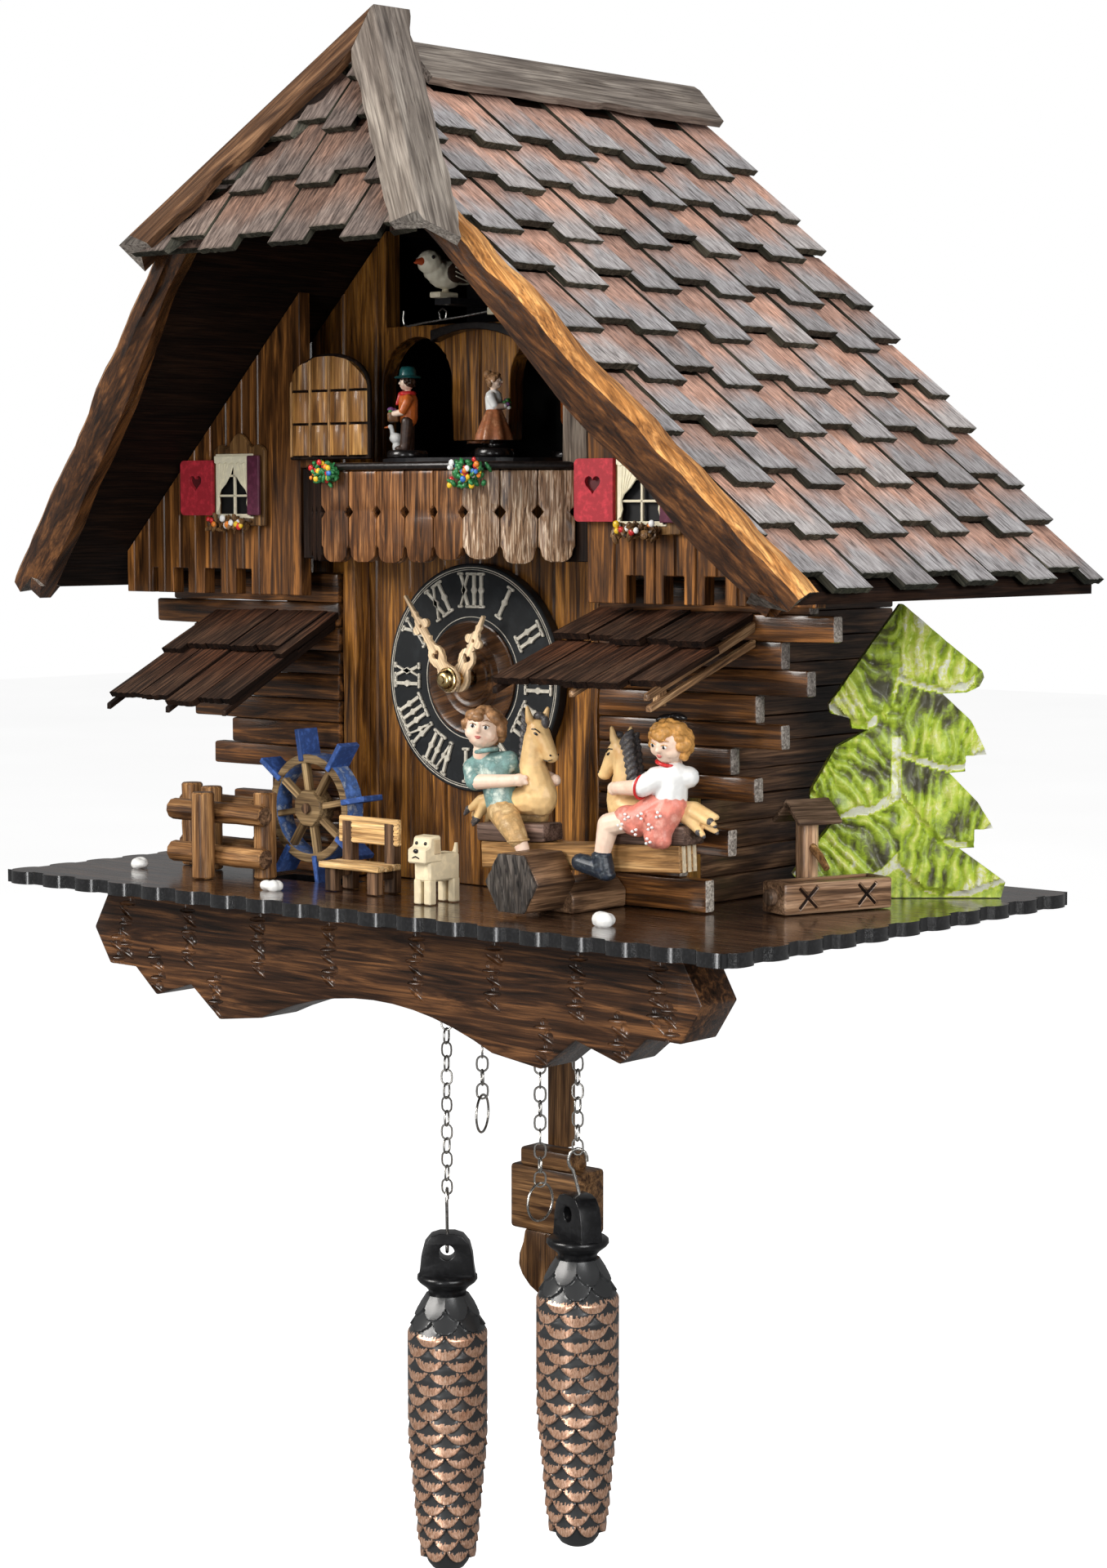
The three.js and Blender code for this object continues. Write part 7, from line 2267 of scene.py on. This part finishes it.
def weight(side, name):
    x, low = side * CONE_X, extent(f"weight_{name}").z0
    around, step = 168, 0.42
    levels = [i * step for i in range(int(113.6 / step))]
    bm = bmesh.new()
    rings, copper_and_edge_shade = [], []
    for level in levels:
        ring = []
        for angle in turns(around):
            radius, amount = cone_surface(angle, level)
            ring.append(bm.verts.new((x + radius * math.cos(angle), CHAIN_Y + radius * math.sin(angle),
                                      low + level)))
            copper_and_edge_shade.append(amount)
        rings.append(ring)
    bridge(bm, rings)
    bm.faces.new(list(reversed(rings[0])))
    bm.faces.new(rings[-1])
    order = iter(copper_and_edge_shade)
    batch = Batch(520 + side)
    batch.take(bm, height_of=lambda co: next(order))
    collar = [(0.3, 112), (7.4, 112), (7.6, 114.6), (8.8, 116), (11.2, 117.8), (12.1, 119), (12.0, 120.4),
              (11, 121.2), (0.3, 121.2)]
    batch.take(lathe(collar, (x, CHAIN_Y, low), sides=48), mat=1)
    turn = math.radians(40) if side < 0 else math.radians(-20)
    half_tab = [(11.3, 120.4), (10.7, 124), (10.2, 129), (9, 133.6), (6.4, 136.8), (3, 137.9)]
    tab = prism(half_tab + [(-a, b) for a, b in reversed(half_tab)], "Y", -4.6, 4.6,
                holes=(circle(0, 130.4, 3.1, 20),),
                bevel=1.2, segments=3)
    batch.take(moved(tab, Matrix.Translation((x, CHAIN_Y, low)) @ Matrix.Rotation(turn, 4, "Z")), mat=1)
    batch.make(f"cone_{name}", ["cone_scales", "cone_black"], f"weight_{name}_body",
               replaces=(f"weight_{name}",),
               smooth=50)

    strand = Batch(530 + side)
    hook_turn = math.radians(130) if side < 0 else math.radians(50)
    across = Vector((math.cos(hook_turn), math.sin(hook_turn), 0))
    base = Vector((x, CHAIN_Y, low + 130.6))
    hook = [base + across * (2.2 * math.cos(a)) + Vector((0, 0, 2.2 * math.sin(a) + 1.4)) for a in
            (math.radians(v) for v in range(-200, 30, 23))]
    upper = base + Vector((0, 0, 20.5))
    hook += [upper + across * (-3.7 * math.cos(a)) + Vector((0, 0, 4.4 * math.sin(a))) for a in
             (math.radians(v) for v in range(-60, 215, 25))]
    strand.take(tube(hook, 0.65, 8), mat=0)
    chain(strand, x, CHAIN_TOP, upper.z + 2.4, 0.3)
    strand.make(f"weight_chain_{name}", ["steel"], f"weight_{name}_body",
                replaces=(f"chain_weight_{name}",), smooth=60)

    pull = Batch(540 + side)
    ring_box = extent(f"chain_ring_{name}")
    ring_turn = math.radians(113) if side < 0 else math.radians(90)
    centre = Vector((side * PULL_X, CHAIN_Y, ring_box.z0 + 7.9))
    half_axis = (7.4 * math.cos(ring_turn), 7.4 * math.sin(ring_turn), 0)
    pull.take(closed_tube(hoop(centre, half_axis, (0, 0, 7.4), 36), 0.5, 8), mat=0)
    chain(pull, side * PULL_X, CHAIN_TOP, centre.z + 6.2, 0.8)
    pull.make(f"pull_chain_{name}", ["steel"], f"ring_{name}_body", replaces=(f"chain_ring_{name}",),
              smooth=60)


MAT = {}


def main():
    make_camera()
    make_studio()
    MAT.update(make_materials())
    for side, name in SIDES:
        slope_shingles(side, name)
        barge_board(side, name)
        hip_beam(side, name)
    ridge_cap()
    hip_roof()
    platform()
    fascia()
    case_front()
    pilasters()
    log_faces()
    side_walls()
    gable_panels()
    awnings()
    dial()
    hand("minute_hand_wood", "minute_hand", length=38.5, heart_z=11.0, clover_z=24.2, minutes=54,
         y0=-149.6, y1=-148)
    hand("hour_hand_wood", "hour_hand", length=27, heart_z=8.8, clover_z=16.2, minutes=64.5, y0=-144,
         y1=-142.3)
    balcony()
    flowers()
    for side, name in SIDES:
        window(side, name)
    arch_shutter()
    dancers()
    bird()
    fence()
    bench()
    dog()
    mill_wheel()
    seesaw()
    boy()
    girl()
    horses()
    well()
    tree()
    stones()
    pendulum()
    for side, name in SIDES:
        weight(side, name)
    carried = {"back_panel": "back_boards", "back_door": "back_boards", "stage_floor": "case_inside",
               "turntable": "case_plastic", "movement": "case_plastic", "bird_arm": "case_plastic"}
    for node, key in carried.items():
        piece = bpy.data.objects[node]
        piece.data.materials.clear()
        piece.data.materials.append(MAT[key])


main()
